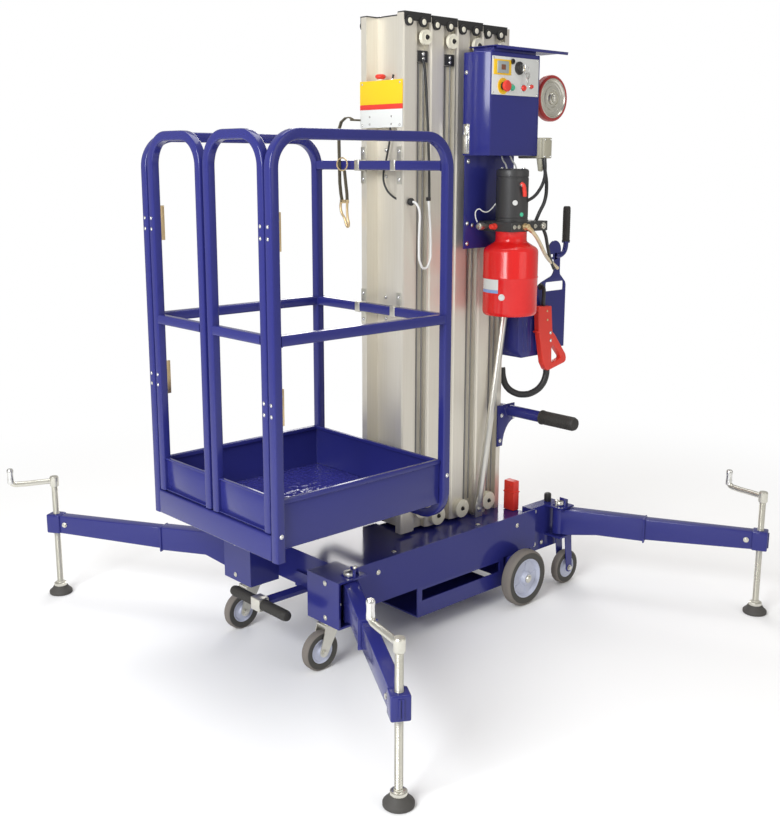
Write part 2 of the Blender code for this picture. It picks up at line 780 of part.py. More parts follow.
def build_wheels():
    small_bore = AXLE_RADIUS + PIN_CLEARANCE
    for side, sign in SIDES:
        build_wheel(
            f"rear_wheel_{side}",
            (sign * BIG_WHEEL_X, BIG_WHEEL_Y, BIG_WHEEL_RADIUS),
            BIG_WHEEL_RADIUS,
            BIG_WHEEL_WIDTH,
            BIG_AXLE_RADIUS + PIN_CLEARANCE,
            0.72,
            RUBBER,
            WHEEL_ROUND,
        )
        build_wheel(
            f"rear_small_wheel_{side}",
            (sign * REAR_SMALL_X, REAR_SMALL_Y, SMALL_WHEEL_RADIUS),
            SMALL_WHEEL_RADIUS,
            SMALL_WHEEL_WIDTH,
            small_bore,
            0.68,
            RUBBER,
        )
        swivel = axis_empty(f"caster_axis_{side}", (sign * CASTER_X, CASTER_Y, SMALL_WHEEL_RADIUS))
        hang_on(build_caster_fork(side, sign), swivel)
        wheel_axis = build_wheel(
            f"caster_wheel_{side}",
            (sign * CASTER_X, CASTER_Y - CASTER_TRAIL, SMALL_WHEEL_RADIUS),
            SMALL_WHEEL_RADIUS,
            SMALL_WHEEL_WIDTH,
            small_bore,
            0.68,
            RUBBER,
        )
        hang_on(wheel_axis, swivel)


def build_caster_fork(side, sign):
    x = sign * CASTER_X
    half = SMALL_WHEEL_WIDTH / 2 + FORK_SIDE_GAP
    top = FRONT_EAR_LOW_Z - SEAT_GAP
    fork = box(
        f"caster_fork_{side}",
        (x - half - FORK_SIDE_PLATE, CASTER_Y - 0.032, top - 0.018),
        (x + half + FORK_SIDE_PLATE, CASTER_Y + 0.028, top - 0.012),
        ZINC,
    )
    race = rod(
        f"caster_race_{side}", (x, CASTER_Y, top - 0.013), (x, CASTER_Y, top), CASTER_RACE_RADIUS, SMALL_ROUND
    )
    wheel_y = CASTER_Y - CASTER_TRAIL
    plates = []
    for name, offset in (("in", -half - FORK_SIDE_PLATE), ("out", half)):
        outline = [(CASTER_Y + 0.026, top - 0.0125), (CASTER_Y - 0.031, top - 0.0125)]
        for k in range(7):
            angle = math.pi * (0.95 + 0.85 * k / 6)
            outline.append(
                (
                    wheel_y + FORK_FOOT_ROUND * math.cos(angle),
                    SMALL_WHEEL_RADIUS + FORK_FOOT_ROUND * math.sin(angle),
                )
            )
        start = x + offset + 0.0002
        plates.append(
            prism(f"caster_plate_{name}_{side}", outline, "X", start, start + FORK_SIDE_PLATE - 0.0004)
        )
    axle = rod(
        f"caster_axle_{side}",
        (x - half - FORK_SIDE_PLATE - 0.003, wheel_y, SMALL_WHEEL_RADIUS),
        (x + half + FORK_SIDE_PLATE + 0.003, wheel_y, SMALL_WHEEL_RADIUS),
        AXLE_RADIUS,
        SMALL_ROUND,
    )
    return add(fork, race, *plates, axle)


# Outriggers: columns are name, x side, y side, pin x, pin y, crank direction in degrees
OUTRIGGERS = (
    ("front_right", 1, -1, FRONT_PIN_X, FRONT_PIN_Y, FRONT_EAR_LOW_Z, 166.0),
    ("front_left", -1, -1, FRONT_PIN_X, FRONT_PIN_Y, FRONT_EAR_LOW_Z, 249.0),
    ("rear_right", 1, 1, REAR_PIN_X, REAR_PIN_Y, REAR_EAR_LOW_Z, 171.0),
    ("rear_left", -1, 1, REAR_PIN_X, REAR_PIN_Y, REAR_EAR_LOW_Z, 101.0),
)


def build_outrigger(name, side_x, side_y, pin_x, pin_y, ear_low_z, crank_degrees):
    pin = Vector((side_x * pin_x, pin_y, 0))
    jack = Vector((side_x * JACK_X, side_y * JACK_Y, 0))
    reach = (jack - pin).length
    turn = Matrix.Translation(pin) @ Matrix.Rotation(math.atan2(jack.y - pin.y, jack.x - pin.x), 4, "Z")

    def placed(item):
        item.matrix_world = turn
        return item

    root_low = ear_low_z + EAR_PLATE + ARM_EAR_CLEARANCE
    root_high = EAR_TOP_Z - EAR_PLATE - ARM_EAR_CLEARANCE
    arm = rod(f"outrigger_{name}", (0, 0, root_low), (0, 0, root_high), ARM_BARREL_RADIUS, MIDDLE_ROUND, BLUE)
    placed(arm)
    inner = prism(
        f"arm_inner_{name}",
        [
            (0.0, root_high - 0.0005),
            (0.0, root_low + 0.0005),
            (0.030, root_low + 0.0005),
            (ARM_INNER_END * 0.45, ARM_INNER_LOW_Z),
            (ARM_INNER_END, ARM_INNER_LOW_Z),
            (ARM_INNER_END, root_high - 0.0005),
        ],
        "Y",
        -ARM_HALF_WIDTH + 0.004,
        ARM_HALF_WIDTH - 0.004,
    )
    outer = prism(
        f"arm_outer_{name}",
        [
            (ARM_INNER_END - 0.02, root_high - 0.003),
            (ARM_INNER_END - 0.02, ARM_INNER_LOW_Z + 0.004),
            (reach - 0.02, ARM_TIP_LOW_Z + 0.002),
            (reach - 0.02, ARM_TIP_HIGH_Z - 0.003),
        ],
        "Y",
        -ARM_OUTER_HALF_WIDTH,
        ARM_OUTER_HALF_WIDTH,
    )
    step = box(
        f"arm_step_{name}",
        (ARM_INNER_END - ARM_STEP_PLATE, -ARM_HALF_WIDTH, ARM_INNER_LOW_Z - ARM_STEP_PROUD),
        (ARM_INNER_END, ARM_HALF_WIDTH, root_high),
    )
    clamp = lathe_solid(
        f"arm_clamp_{name}",
        [
            (CLAMP_RADIUS - CLAMP_CHAMFER, ARM_TIP_LOW_Z),
            (CLAMP_RADIUS, ARM_TIP_LOW_Z + CLAMP_CHAMFER),
            (CLAMP_RADIUS, ARM_TIP_HIGH_Z - CLAMP_CHAMFER),
            (CLAMP_RADIUS - CLAMP_CHAMFER, ARM_TIP_HIGH_Z),
        ],
        (reach, 0, 0),
        MIDDLE_ROUND,
    )
    below = FRONT_EAR_LOW_Z - 0.05
    above = EAR_TOP_Z + 0.05
    pin_hole = rod(f"cut_pin_{name}", (0, 0, below), (0, 0, above), PIN_RADIUS + PIN_CLEARANCE, SMALL_ROUND)
    screw_hole = rod(
        f"cut_screw_{name}", (reach, 0, below), (reach, 0, above), SCREW_RADIUS + PIN_CLEARANCE, SMALL_ROUND
    )
    for item in (inner, outer, step, clamp, pin_hole, screw_hole):
        placed(item)
    add(arm, inner, outer, step, clamp)
    cut(arm, pin_hole, screw_hole)

    pin_axis = axis_empty(f"outrigger_axis_{name}", pin)
    hang_on(arm, pin_axis)
    build_jack(name, jack, crank_degrees, pin_axis)


def build_jack(name, place, crank_degrees, holder):
    jack = lathe_solid(
        f"jack_{name}",
        [
            (PAD_RADIUS, 0.0),
            (PAD_RADIUS, PAD_RIM_Z),
            (PAD_CUP_RADIUS, PAD_CUP_Z - 0.008),
            (PAD_CUP_RADIUS, PAD_CUP_Z),
            (SCREW_RADIUS, PAD_CUP_Z + 0.004),
            (SCREW_RADIUS, ELBOW_Z + 0.010),
        ],
        place,
        SMALL_ROUND,
        ZINC,
    )
    angle = math.radians(crank_degrees)
    along = Vector((math.cos(angle), math.sin(angle), 0))
    tip = place + along * CRANK_REACH
    elbow = rod(
        f"jack_elbow_{name}",
        place + Vector((0, 0, ELBOW_Z - 0.016)),
        place + Vector((0, 0, ELBOW_Z + 0.016)),
        ELBOW_RADIUS,
        SMALL_ROUND,
    )
    arm = rod(
        f"jack_crank_{name}",
        place + Vector((0, 0, ELBOW_Z)),
        tip + Vector((0, 0, ELBOW_Z)) + along * 0.006,
        CRANK_RADIUS,
        SMALL_ROUND,
    )
    knob = rod(
        f"jack_knob_{name}",
        tip + Vector((0, 0, ELBOW_Z)),
        tip + Vector((0, 0, KNOB_TOP_Z)),
        KNOB_RADIUS,
        SMALL_ROUND,
    )
    add(jack, elbow, arm, knob)
    slide_axis = axis_empty(f"jack_axis_{name}", place)
    hang_on(jack, slide_axis)
    hang_on(slide_axis, holder)


# Mast: columns are number, step down of the top, foot sheave offset and height, rope anchor or not
SECTIONS = (
    (4, 0, 0.085, 0.375, True),
    (3, 1, 0.044, 0.333, True),
    (2, 2, 0.044, 0.333, False),
    (1, 3, 0.062, 0.333, False),
)


def mirrored(right):
    """Close the right half of an outline with its mirror image."""
    return right + [(-x, y) for x, y in reversed(right)]


def section_outline(front_y, depth, open_front):
    """Outline of an extrusion: bevelled face, lip, rope track and rear flange."""
    wide = MAST_HALF_WIDTH
    low = wide - LIP_DROP
    neck = NECK_HALF_WIDTH
    a = front_y + FACE_DEPTH
    b = a + LIP_DEPTH
    c = b + TRACK_DEPTH
    back = front_y + depth
    side = [
        (low, front_y),
        (wide, front_y + EDGE_CHAMFER),
        (wide, a),
        (low, a + LIP_DROP / 2),
        (low, b),
        (neck, b),
        (neck, c),
        (low, c),
        (low, back),
    ]
    if open_front:
        web_y = front_y + FRONT_CHANNEL_DEPTH
        side = [(FRONT_CHANNEL_HALF, web_y), (FRONT_CHANNEL_HALF, front_y)] + side
    return mirrored(side)


def section_hollows(front_y, depth, open_front):
    """Insides of an extrusion, a wall thickness in from its outline."""
    neck = NECK_HALF_WIDTH - SECTION_WALL
    back = front_y + depth - SECTION_WALL
    if not open_front:
        wide = MAST_HALF_WIDTH - LIP_DROP - SECTION_WALL
        near = front_y + SECTION_WALL
        a = front_y + FACE_DEPTH + LIP_DEPTH - SECTION_WALL
        return [mirrored([(wide, near), (wide, a), (neck, a), (neck, back)])]
    inner = FRONT_CHANNEL_HALF + FLANGE_WALL
    outer = MAST_HALF_WIDTH - LIP_DROP - FLANGE_WALL
    near = front_y + FLANGE_WALL
    far = front_y + FACE_DEPTH + LIP_DEPTH - FLANGE_WALL
    flange = [(inner, near), (outer, near), (outer, far), (inner, far)]
    web_y = front_y + FRONT_CHANNEL_DEPTH + SECTION_WALL
    return [mirrored([(neck, web_y), (neck, back)]), flange, [(-x, y) for x, y in flange]]


def build_sheaves(number, front_y, top, foot_offset, foot_z):
    """Rope sheaves on their pins near the top, and the pulley discs at the foot, on both sides."""
    sheave_y = front_y + TOP_SHEAVE_OFFSET
    sheave_z = top - TOP_SHEAVE_DROP
    foot_y = front_y + foot_offset
    hub = MAST_HALF_WIDTH - LIP_DROP / 2
    rim = hub + TOP_SHEAVE_THICKNESS
    seat = MAST_HALF_WIDTH - LIP_DROP - 0.001
    end = MAST_HALF_WIDTH + FOOT_SHEAVE_THICKNESS
    rows = (
        ("top_pin", NECK_HALF_WIDTH - 0.002, hub + 0.002, sheave_y, sheave_z, SHEAVE_PIN_RADIUS, TINY_ROUND),
        ("top_sheave", hub, rim, sheave_y, sheave_z, TOP_SHEAVE_RADIUS, MIDDLE_ROUND),
        ("foot_sheave", seat, end, foot_y, foot_z, FOOT_SHEAVE_RADIUS, MIDDLE_ROUND),
    )
    return [
        rod(f"{name}_{number}_{side}", (sign * low_x, y, z), (sign * high_x, y, z), radius, sides)
        for side, sign in SIDES
        for name, low_x, high_x, y, z, radius, sides in rows
    ]


def build_anchors(number, front_y, top):
    """Rope anchor blocks in both tracks."""
    low_y = front_y + FACE_DEPTH + LIP_DEPTH + ANCHOR_INSET
    high_y = low_y + TRACK_DEPTH - 2 * ANCHOR_INSET
    low_z = top - ANCHOR_LOW
    high_z = top - ANCHOR_HIGH
    blocks = []
    for side, sign in SIDES:
        low_x, high_x = sorted((sign * (NECK_HALF_WIDTH - 0.001), sign * (MAST_HALF_WIDTH - LIP_DROP - 0.001)))
        blocks.append(box(f"anchor_{number}_{side}", (low_x, low_y, low_z), (high_x, high_y, high_z)))
    return blocks


def build_section(number, steps_down, foot_offset, foot_z, has_anchor):
    front_y = MAST_FRONT_Y + (4 - number) * SECTION_PITCH
    depth = FIXED_SECTION_DEPTH if number == 1 else SECTION_DEPTH
    bottom = DECK_TOP_Z + SEAT_GAP if number == 1 else MOVING_BOTTOM_Z
    top = MAST_TOP_Z - steps_down * TOP_STEP
    open_front = number == 4
    outline = section_outline(front_y, depth, open_front)
    section = prism(f"mast_section_{number}", outline, "Z", bottom, top, ALUMINIUM)
    for k, hollow in enumerate(section_hollows(front_y, depth, open_front)):
        cut(section, prism(f"cut_hollow_{number}_{k}", hollow, "Z", bottom - 0.01, top + 0.01))
    add(section, *build_sheaves(number, front_y, top, foot_offset, foot_z))
    if has_anchor:
        add(section, *build_anchors(number, front_y, top))
    build_head(number, front_y, top)


def build_head(number, front_y, top):
    """Black cap plate with the guide rollers that hang at both sides."""
    low_y = front_y + 0.002
    high_y = front_y + SECTION_DEPTH - 0.002
    wide = MAST_HALF_WIDTH + CAP_OVERHANG
    head = box(
        f"mast_head_{number}",
        (-wide, low_y, top + SEAT_GAP),
        (wide, high_y, top + CAP_THICKNESS),
        BLACK,
    )
    if number == 4:
        half = FRONT_CHANNEL_HALF
        web_y = front_y + FRONT_CHANNEL_DEPTH
        cut(head, box("cut_front_cap", (-half, low_y - 0.01, top - 0.01), (half, web_y, top + 0.01)))
    for side, sign in SIDES:
        inner, outer = sorted((sign * (MAST_HALF_WIDTH + SEAT_GAP), sign * wide))
        skirt = box(
            f"head_skirt_{number}_{side}",
            (inner, low_y + 0.001, top - CAP_SKIRT),
            (outer, high_y - 0.001, top + CAP_THICKNESS - 0.001),
        )
        rollers = [
            rod(
                f"head_roller_{number}_{side}_{k}",
                (sign * (MAST_HALF_WIDTH + SEAT_GAP), front_y + offset, top - ROLLER_Z_BELOW_TOP),
                (sign * (MAST_HALF_WIDTH + ROLLER_THICKNESS), front_y + offset, top - ROLLER_Z_BELOW_TOP),
                ROLLER_RADIUS,
                SMALL_ROUND,
            )
            for k, offset in enumerate(ROLLER_OFFSETS)
        ]
        add(head, skirt, *rollers)


# Platform

def build_platform():
    tube = rounded_square(TUBE, 0.006)
    for side, sign in SIDES:
        x = sign * CAGE_X
        corners = [
            (x, CAGE_FRONT_Y, CAGE_LOW_Z),
            (x, CAGE_FRONT_Y, RAIL_TOP_Z),
            (x, CAGE_REAR_Y, RAIL_TOP_Z),
            (x, CAGE_REAR_Y, BOTTOM_BAR_Z),
            (sign * SEAT_GAP / 2, CAGE_REAR_Y, BOTTOM_BAR_Z),
        ]
        loop = swept(f"cage_side_{side}", filleted_path(corners, CAGE_BEND, 6), tube, (1, 0, 0), BLUE)
        add(loop, *frame_hinges(side, sign))
        inner = TUBE / 2 + SEAT_GAP
        swept(
            f"mid_rail_{side}",
            [Vector((x, CAGE_FRONT_Y + inner, MID_RAIL_Z)), Vector((x, CAGE_REAR_Y - inner, MID_RAIL_Z))],
            tube,
            (1, 0, 0),
            BLUE,
        )
    span = CAGE_X - TUBE / 2 - SEAT_GAP
    for name, z in (("rear_bar_upper", REAR_BAR_Z), ("rear_bar_mid", MID_RAIL_Z)):
        ends = [Vector((-span, CAGE_REAR_Y, z)), Vector((span, CAGE_REAR_Y, z))]
        bar = swept(name, ends, tube, (0, 1, 0), BLUE)
        reach = TUBE / 2 + CLIP_PROUD
        flange_x = (FRONT_CHANNEL_HALF + MAST_HALF_WIDTH) / 2
        for side, sign in SIDES:
            add(
                bar,
                box(
                    f"{name}_clip_{side}",
                    (sign * flange_x - CLIP_HALF_WIDTH, CAGE_REAR_Y - reach, z - reach),
                    (sign * flange_x + CLIP_HALF_WIDTH, MAST_FRONT_Y - SEAT_GAP, z + reach),
                ),
            )
    build_tray()
    build_station()


def hinge_half(name, sign, centre_z, share_low, share_high, leaf_from_x, leaf_to_x, face_y):
    """One leaf and its knuckle, over a share of the hinge's height."""
    low_z = centre_z + HINGE_HEIGHT * (share_low - 0.5)
    high_z = centre_z + HINGE_HEIGHT * (share_high - 0.5) - SEAT_GAP
    x = sign * GATE_AXIS_X
    low_x, high_x = sorted((sign * leaf_from_x, sign * leaf_to_x))
    knuckle = rod(f"{name}_knuckle", (x, GATE_AXIS_Y, low_z), (x, GATE_AXIS_Y, high_z), HINGE_KNUCKLE_RADIUS, 8)
    leaf = box(
        f"{name}_leaf",
        (low_x, face_y - 0.001, low_z + 0.0005),
        (high_x, face_y + HINGE_LEAF, high_z - 0.0005),
    )
    return knuckle, leaf


def frame_hinges(side, sign):
    face_y = CAGE_FRONT_Y + TUBE / 2
    return [
        piece
        for k, z in enumerate(HINGE_CENTRES_Z)
        for piece in hinge_half(f"frame_hinge_{side}_{k}", sign, z, 0.5, 1.0, GATE_AXIS_X, CAGE_X, face_y)
    ]


def gate_hinges(side, sign):
    face_y = CAGE_FRONT_Y + GATE_TUBE / 2
    return [
        piece
        for k, z in enumerate(HINGE_CENTRES_Z)
        for piece in hinge_half(f"gate_hinge_{side}_{k}", sign, z, 0.0, 0.5, GATE_OUTER_X, GATE_AXIS_X, face_y)
    ]


def build_tray():
    front_y = CAGE_FRONT_Y + TUBE / 2 + SEAT_GAP
    rear_y = CAGE_REAR_Y - TUBE / 2 - SEAT_GAP
    tray = box(
        "platform_tray",
        (-TRAY_HALF_WIDTH, front_y, TRAY_BOTTOM_Z),
        (TRAY_HALF_WIDTH, rear_y, TRAY_TOP_Z),
        BLUE,
    )
    wall = TRAY_WALL
    inside = box(
        "cut_tray_inside",
        (-TRAY_HALF_WIDTH + wall, front_y + wall, TRAY_BOTTOM_Z + wall + 0.002),
        (TRAY_HALF_WIDTH - wall, rear_y - wall, TRAY_TOP_Z - TRAY_RIM_DEPTH),
    )
    mouth = box(
        "cut_tray_mouth",
        (-TRAY_HALF_WIDTH + TRAY_RIM, front_y + TRAY_RIM, TRAY_BOTTOM_Z + 0.05),
        (TRAY_HALF_WIDTH - TRAY_RIM, rear_y - TRAY_RIM, TRAY_TOP_Z + 0.01),
    )
    gateway = box(
        "cut_tray_gateway",
        (-TRAY_HALF_WIDTH + TRAY_RIM, front_y - 0.01, SILL_TOP_Z),
        (TRAY_HALF_WIDTH - TRAY_RIM, front_y + 0.03, TRAY_TOP_Z + 0.01),
    )
    cut(tray, inside, mouth, gateway)
    half = CAGE_X - TUBE / 2 - SEAT_GAP
    box(
        "platform_sill",
        (-half, CAGE_FRONT_Y - TUBE / 2, CAGE_LOW_Z),
        (half, CAGE_FRONT_Y + TUBE / 2, SILL_TOP_Z),
        BLUE,
    )


def build_station():
    """Control station in the open front channel of the mast, with its plate across the flanges."""
    rear_y = MAST_FRONT_Y - SEAT_GAP
    low_z = STATION_TOP_Z - STATION_HEIGHT
    inner = FRONT_CHANNEL_HALF - STATION_SIDE_GAP
    station = box(
        "platform_station",
        (-MAST_HALF_WIDTH, rear_y - STATION_PLATE, low_z),
        (MAST_HALF_WIDTH, rear_y, STATION_TOP_Z),
        YELLOW,
    )
    housing = box(
        "station_housing",
        (-inner, rear_y - 0.001, low_z + 0.004),
        (inner, MAST_FRONT_Y + STATION_BOX_DEPTH, STATION_TOP_Z - 0.004),
    )
    y = MAST_FRONT_Y + STATION_BOX_DEPTH / 2
    base_z = STATION_TOP_Z - 0.005
    stop_z = base_z + STOP_HEIGHT
    stem = rod("stop_stem", (STOP_X, y, base_z), (STOP_X, y, stop_z), STOP_STEM_RADIUS, SMALL_ROUND)
    stop = lathe_solid(
        "stop_button",
        [
            (STOP_STEM_RADIUS, stop_z - 0.012),
            (STOP_RADIUS, stop_z - 0.008),
            (STOP_RADIUS, stop_z - 0.002),
            (STOP_RADIUS - 0.005, stop_z + 0.001),
        ],
        (STOP_X, y, 0),
        SMALL_ROUND,
    )
    toggle_z = base_z + TOGGLE_HEIGHT
    toggle = rod("station_toggle", (TOGGLE_X, y, base_z), (TOGGLE_X, y, toggle_z), TOGGLE_RADIUS, TINY_ROUND)
    add(station, housing, stem, stop, toggle)


def build_gates():
    tube = rounded_square(GATE_TUBE, 0.006)
    for side, sign in SIDES:
        outer_x = sign * GATE_OUTER_X
        inner_x = sign * GATE_INNER_X
        corners = [
            (outer_x, CAGE_FRONT_Y, GATE_LOW_Z),
            (outer_x, CAGE_FRONT_Y, RAIL_TOP_Z),
            (inner_x, CAGE_FRONT_Y, RAIL_TOP_Z),
            (inner_x, CAGE_FRONT_Y, GATE_LOW_Z),
        ]
        gate = swept(f"gate_{side}", filleted_path(corners, GATE_BEND, 6), tube, (0, 1, 0), BLUE)
        rail = swept(
            f"gate_rail_{side}",
            [Vector((outer_x, CAGE_FRONT_Y, MID_RAIL_Z)), Vector((inner_x, CAGE_FRONT_Y, MID_RAIL_Z))],
            rounded_square(GATE_TUBE - 0.001, 0.006),
            (0, 1, 0),
        )
        low, high = sorted((outer_x, inner_x))
        panel = box(
            f"gate_panel_{side}",
            (low, CAGE_FRONT_Y - GATE_PANEL / 2, GATE_LOW_Z + 0.001),
            (high, CAGE_FRONT_Y + GATE_PANEL / 2, GATE_PANEL_TOP_Z),
        )
        add(gate, rail, panel, *gate_hinges(side, sign))
        axis = axis_empty(f"gate_axis_{side}", (sign * GATE_AXIS_X, GATE_AXIS_Y, GATE_LOW_Z))
        hang_on(gate, axis)


# Equipment on the fixed mast section

def build_control_box(face):
    """Sheet housing with a bevelled front corner, open at the back, and the junction box behind it."""
    wall = BOX_WALL

    def corner_outline(inset):
        outer = BOX_OUTER_X - inset
        front = BOX_FRONT_Y + inset
        rear = BOX_REAR_Y - inset
        near = face if inset == 0 else face - 0.01
        return [
            (near, front),
            (BOX_OUTER_X - BOX_CORNER_X, front),
            (outer, BOX_FRONT_Y + BOX_CORNER_Y + inset / 2),
            (outer, rear),
            (near, rear),
        ]

    housing = prism("control_box", corner_outline(0), "Z", BOX_LOW_Z, BOX_TOP_Z, BLUE)
    cut(housing, prism("cut_control_box", corner_outline(wall), "Z", BOX_LOW_Z + wall, BOX_TOP_Z - wall))
    junction = box(
        "junction_box",
        (JUNCTION_LOW_X, BOX_REAR_Y - wall / 2, JUNCTION_LOW_Z),
        (JUNCTION_HIGH_X, BOX_REAR_Y + JUNCTION_DEPTH, JUNCTION_HIGH_Z),
    )
    add(housing, junction)


# Panel controls: columns are name, distance from the box's front, drop below the box's top, radius, height
PANEL_CONTROLS = (
    ("stop_collar", 0.072, 0.105, 0.0210, 0.007),
    ("stop_head", 0.072, 0.105, 0.0165, 0.024),
    ("green_button", 0.113, 0.108, 0.0100, 0.010),
    ("red_button", 0.169, 0.107, 0.0105, 0.010),
    ("small_button", 0.207, 0.101, 0.0065, 0.010),
    ("key_switch", 0.160, 0.046, 0.0170, 0.012),
)
GAUGE_FROM_FRONT = (0.040, 0.095)
GAUGE_BELOW_TOP = (0.066, 0.028)
GAUGE_HEIGHT = 0.006


def build_control_panel():
    face = BOX_OUTER_X + SEAT_GAP
    top = face + PANEL_PLATE
    panel = box(
        "control_panel",
        (face, BOX_FRONT_Y + BOX_CORNER_Y + 0.002, PANEL_LOW_Z),
        (top, BOX_REAR_Y - 0.009, PANEL_TOP_Z),
        WHITE,
    )
    gauge = box(
        "panel_gauge",
        (top - 0.001, BOX_FRONT_Y + GAUGE_FROM_FRONT[0], BOX_TOP_Z - GAUGE_BELOW_TOP[0]),
        (top + GAUGE_HEIGHT, BOX_FRONT_Y + GAUGE_FROM_FRONT[1], BOX_TOP_Z - GAUGE_BELOW_TOP[1]),
    )
    buttons = []
    for name, along, drop, radius, height in PANEL_CONTROLS:
        y = BOX_FRONT_Y + along
        z = BOX_TOP_Z - drop
        buttons.append(rod(name, (top - 0.001, y, z), (top + height, y, z), radius, SMALL_ROUND))
    add(panel, gauge, *buttons)


def build_hood():
    hood = box(
        "control_hood",
        (MOUNT_PLATE_X, BOX_FRONT_Y + 0.030, HOOD_Z),
        (HOOD_OUTER_X, HOOD_REAR_Y, HOOD_Z + HOOD_PLATE),
        BLUE,
    )
    leg = box(
        "hood_leg",
        (MOUNT_PLATE_X + 0.010, BOX_FRONT_Y + 0.040, BOX_TOP_Z + SEAT_GAP),
        (BOX_OUTER_X - 0.010, BOX_REAR_Y - 0.010, HOOD_Z + 0.001),
    )
    add(hood, leg)


def build_manifold(face):
    """Valve block with its knobs and fittings, and the hose that runs to the handle plate."""
    front = PUMP_Y - 0.058
    rear = PUMP_Y + 0.125
    outer = PUMP_X + 0.052
    z = (NECK_TOP_Z + MANIFOLD_TOP_Z) / 2
    block = box("pump_manifold", (face, front, NECK_TOP_Z + SEAT_GAP), (outer, rear, MANIFOLD_TOP_Z), BLACK)
    root = front + 0.002
    base = outer - 0.002
    fitting_y = PUMP_Y + 0.004
    hose_x = outer + 0.014
    fittings = [
        rod(name, start, end, radius, sides)
        for name, start, end, radius, sides in (
            ("valve_knob", (PUMP_X - 0.060, root, z), (PUMP_X - 0.060, front - 0.045, z), 0.0115, SMALL_ROUND),
            ("valve_stem", (PUMP_X - 0.020, root, z), (PUMP_X - 0.020, front - 0.022, z), 0.0080, TINY_ROUND),
            ("side_plug", (base, rear - 0.026, z), (outer + 0.010, rear - 0.026, z), 0.0105, TINY_ROUND),
            ("hose_fitting", (base, fitting_y, z), (hose_x + 0.006, fitting_y, z), 0.0115, TINY_ROUND),
        )
    ]
    end_x = BATTERY_HALF_WIDTH + 3 * SEAT_GAP + HANDLE_PLATE + HOSE_RADIUS
    route = [
        (hose_x, fitting_y, z),
        (hose_x, fitting_y + 0.045, z - 0.030),
        ((hose_x + end_x) / 2, PUMP_Y + 0.150, z - 0.085),
        (end_x, NECK_FRONT_Y + 0.008, HANDLE_SHOULDER_Z + 0.060),
    ]
    hose = swept("pump_hose", filleted_path(route, 0.030, 3), round_outline(HOSE_RADIUS, TINY_ROUND), (0, 0, 1))
    add(block, *fittings, hose)


def build_tank_and_motor():
    centre = (PUMP_X, PUMP_Y, 0)
    lathe_solid(
        "oil_tank",
        [
            (TANK_RADIUS - 0.012, TANK_BOTTOM_Z),
            (TANK_RADIUS - 0.003, TANK_BOTTOM_Z + 0.004),
            (TANK_RADIUS, TANK_BOTTOM_Z + 0.014),
            (TANK_RADIUS, TANK_SEAM_Z - 0.002),
            (TANK_RADIUS + TANK_SEAM, TANK_SEAM_Z),
            (TANK_RADIUS, TANK_SEAM_Z + 0.002),
            (TANK_RADIUS, TANK_SHOULDER_Z - 0.012),
            (TANK_RADIUS - 0.006, TANK_SHOULDER_Z),
            (NECK_RADIUS + 0.004, TANK_TOP_Z),
            (NECK_RADIUS, TANK_TOP_Z + 0.004),
            (NECK_RADIUS, NECK_TOP_Z),
        ],
        centre,
        ROUND,
        RED,
    )
    groove = MOTOR_TOP_Z - MOTOR_CAP
    lathe_solid(
        "pump_motor",
        [
            (MOTOR_RADIUS, MANIFOLD_TOP_Z + SEAT_GAP),
            (MOTOR_RADIUS, groove - 0.004),
            (MOTOR_RADIUS - MOTOR_GROOVE, groove - 0.003),
            (MOTOR_RADIUS - MOTOR_GROOVE, groove),
            (MOTOR_RADIUS, groove + 0.001),
            (MOTOR_RADIUS, MOTOR_TOP_Z - 0.006),
            (MOTOR_RADIUS - 0.005, MOTOR_TOP_Z),
        ],
        centre,
        WHEEL_ROUND,
        BLACK,
    )


def build_pump_unit():
    fixed_front = MAST_FRONT_Y + 3 * SECTION_PITCH
    plate = box(
        "mount_plate",
        (MOUNT_PLATE_X, MOUNT_FRONT_Y, MOUNT_LOW_Z),
        (MOUNT_PLATE_X + MOUNT_PLATE, MOUNT_REAR_Y, BOX_TOP_Z),
        BLUE,
    )
    standoff = box(
        "plate_standoff",
        (MAST_HALF_WIDTH + SEAT_GAP, fixed_front + 0.03, MOUNT_LOW_Z + 0.02),
        (MOUNT_PLATE_X + 0.001, MOUNT_REAR_Y - 0.005, BOX_TOP_Z - 0.02),
    )
    add(plate, standoff)
    face = MOUNT_PLATE_X + MOUNT_PLATE + SEAT_GAP
    build_control_box(face)
    build_control_panel()
    build_hood()
    build_manifold(face)
    build_tank_and_motor()


def build_braces():
    """Aluminium tubes with flattened ends, bolted to the deck and to the mast."""
    for side, sign in SIDES:
        x = sign * BRACE_X
        low = Vector((x, *BRACE_LOW))
        high = Vector((x, *BRACE_HIGH))
        brace = rod(f"mast_brace_{side}", low, high, BRACE_RADIUS, SMALL_ROUND, ALUMINIUM)
        half = BRACE_BLADE / 2
        low_y, low_z = BRACE_LOW
        blade = prism(
            f"brace_blade_{side}",
            [
                (low_y - BRACE_BLADE_HALF_WIDTH, DECK_TOP_Z + SEAT_GAP),
                (low_y + BRACE_BLADE_HALF_WIDTH - 0.004, DECK_TOP_Z + SEAT_GAP),
                (low_y + BRACE_BLADE_HALF_WIDTH, low_z - 0.014),
                (low_y + BRACE_RADIUS, low_z + 0.012),
                (low_y - BRACE_RADIUS + 0.003, low_z + 0.012),
                (low_y - BRACE_BLADE_HALF_WIDTH, low_z - 0.018),
            ],
            "X",
            x - half,
            x + half,
        )
        inner, outer = sorted((sign * (MAST_HALF_WIDTH - LIP_DROP + SEAT_GAP), x + sign * half))
        high_y, high_z = BRACE_HIGH
        lug = box(
            f"brace_lug_{side}",
            (inner, high_y - 0.018, high_z - 0.012),
            (outer, high_y + 0.010, high_z + 0.026),
        )
        add(brace, blade, lug)


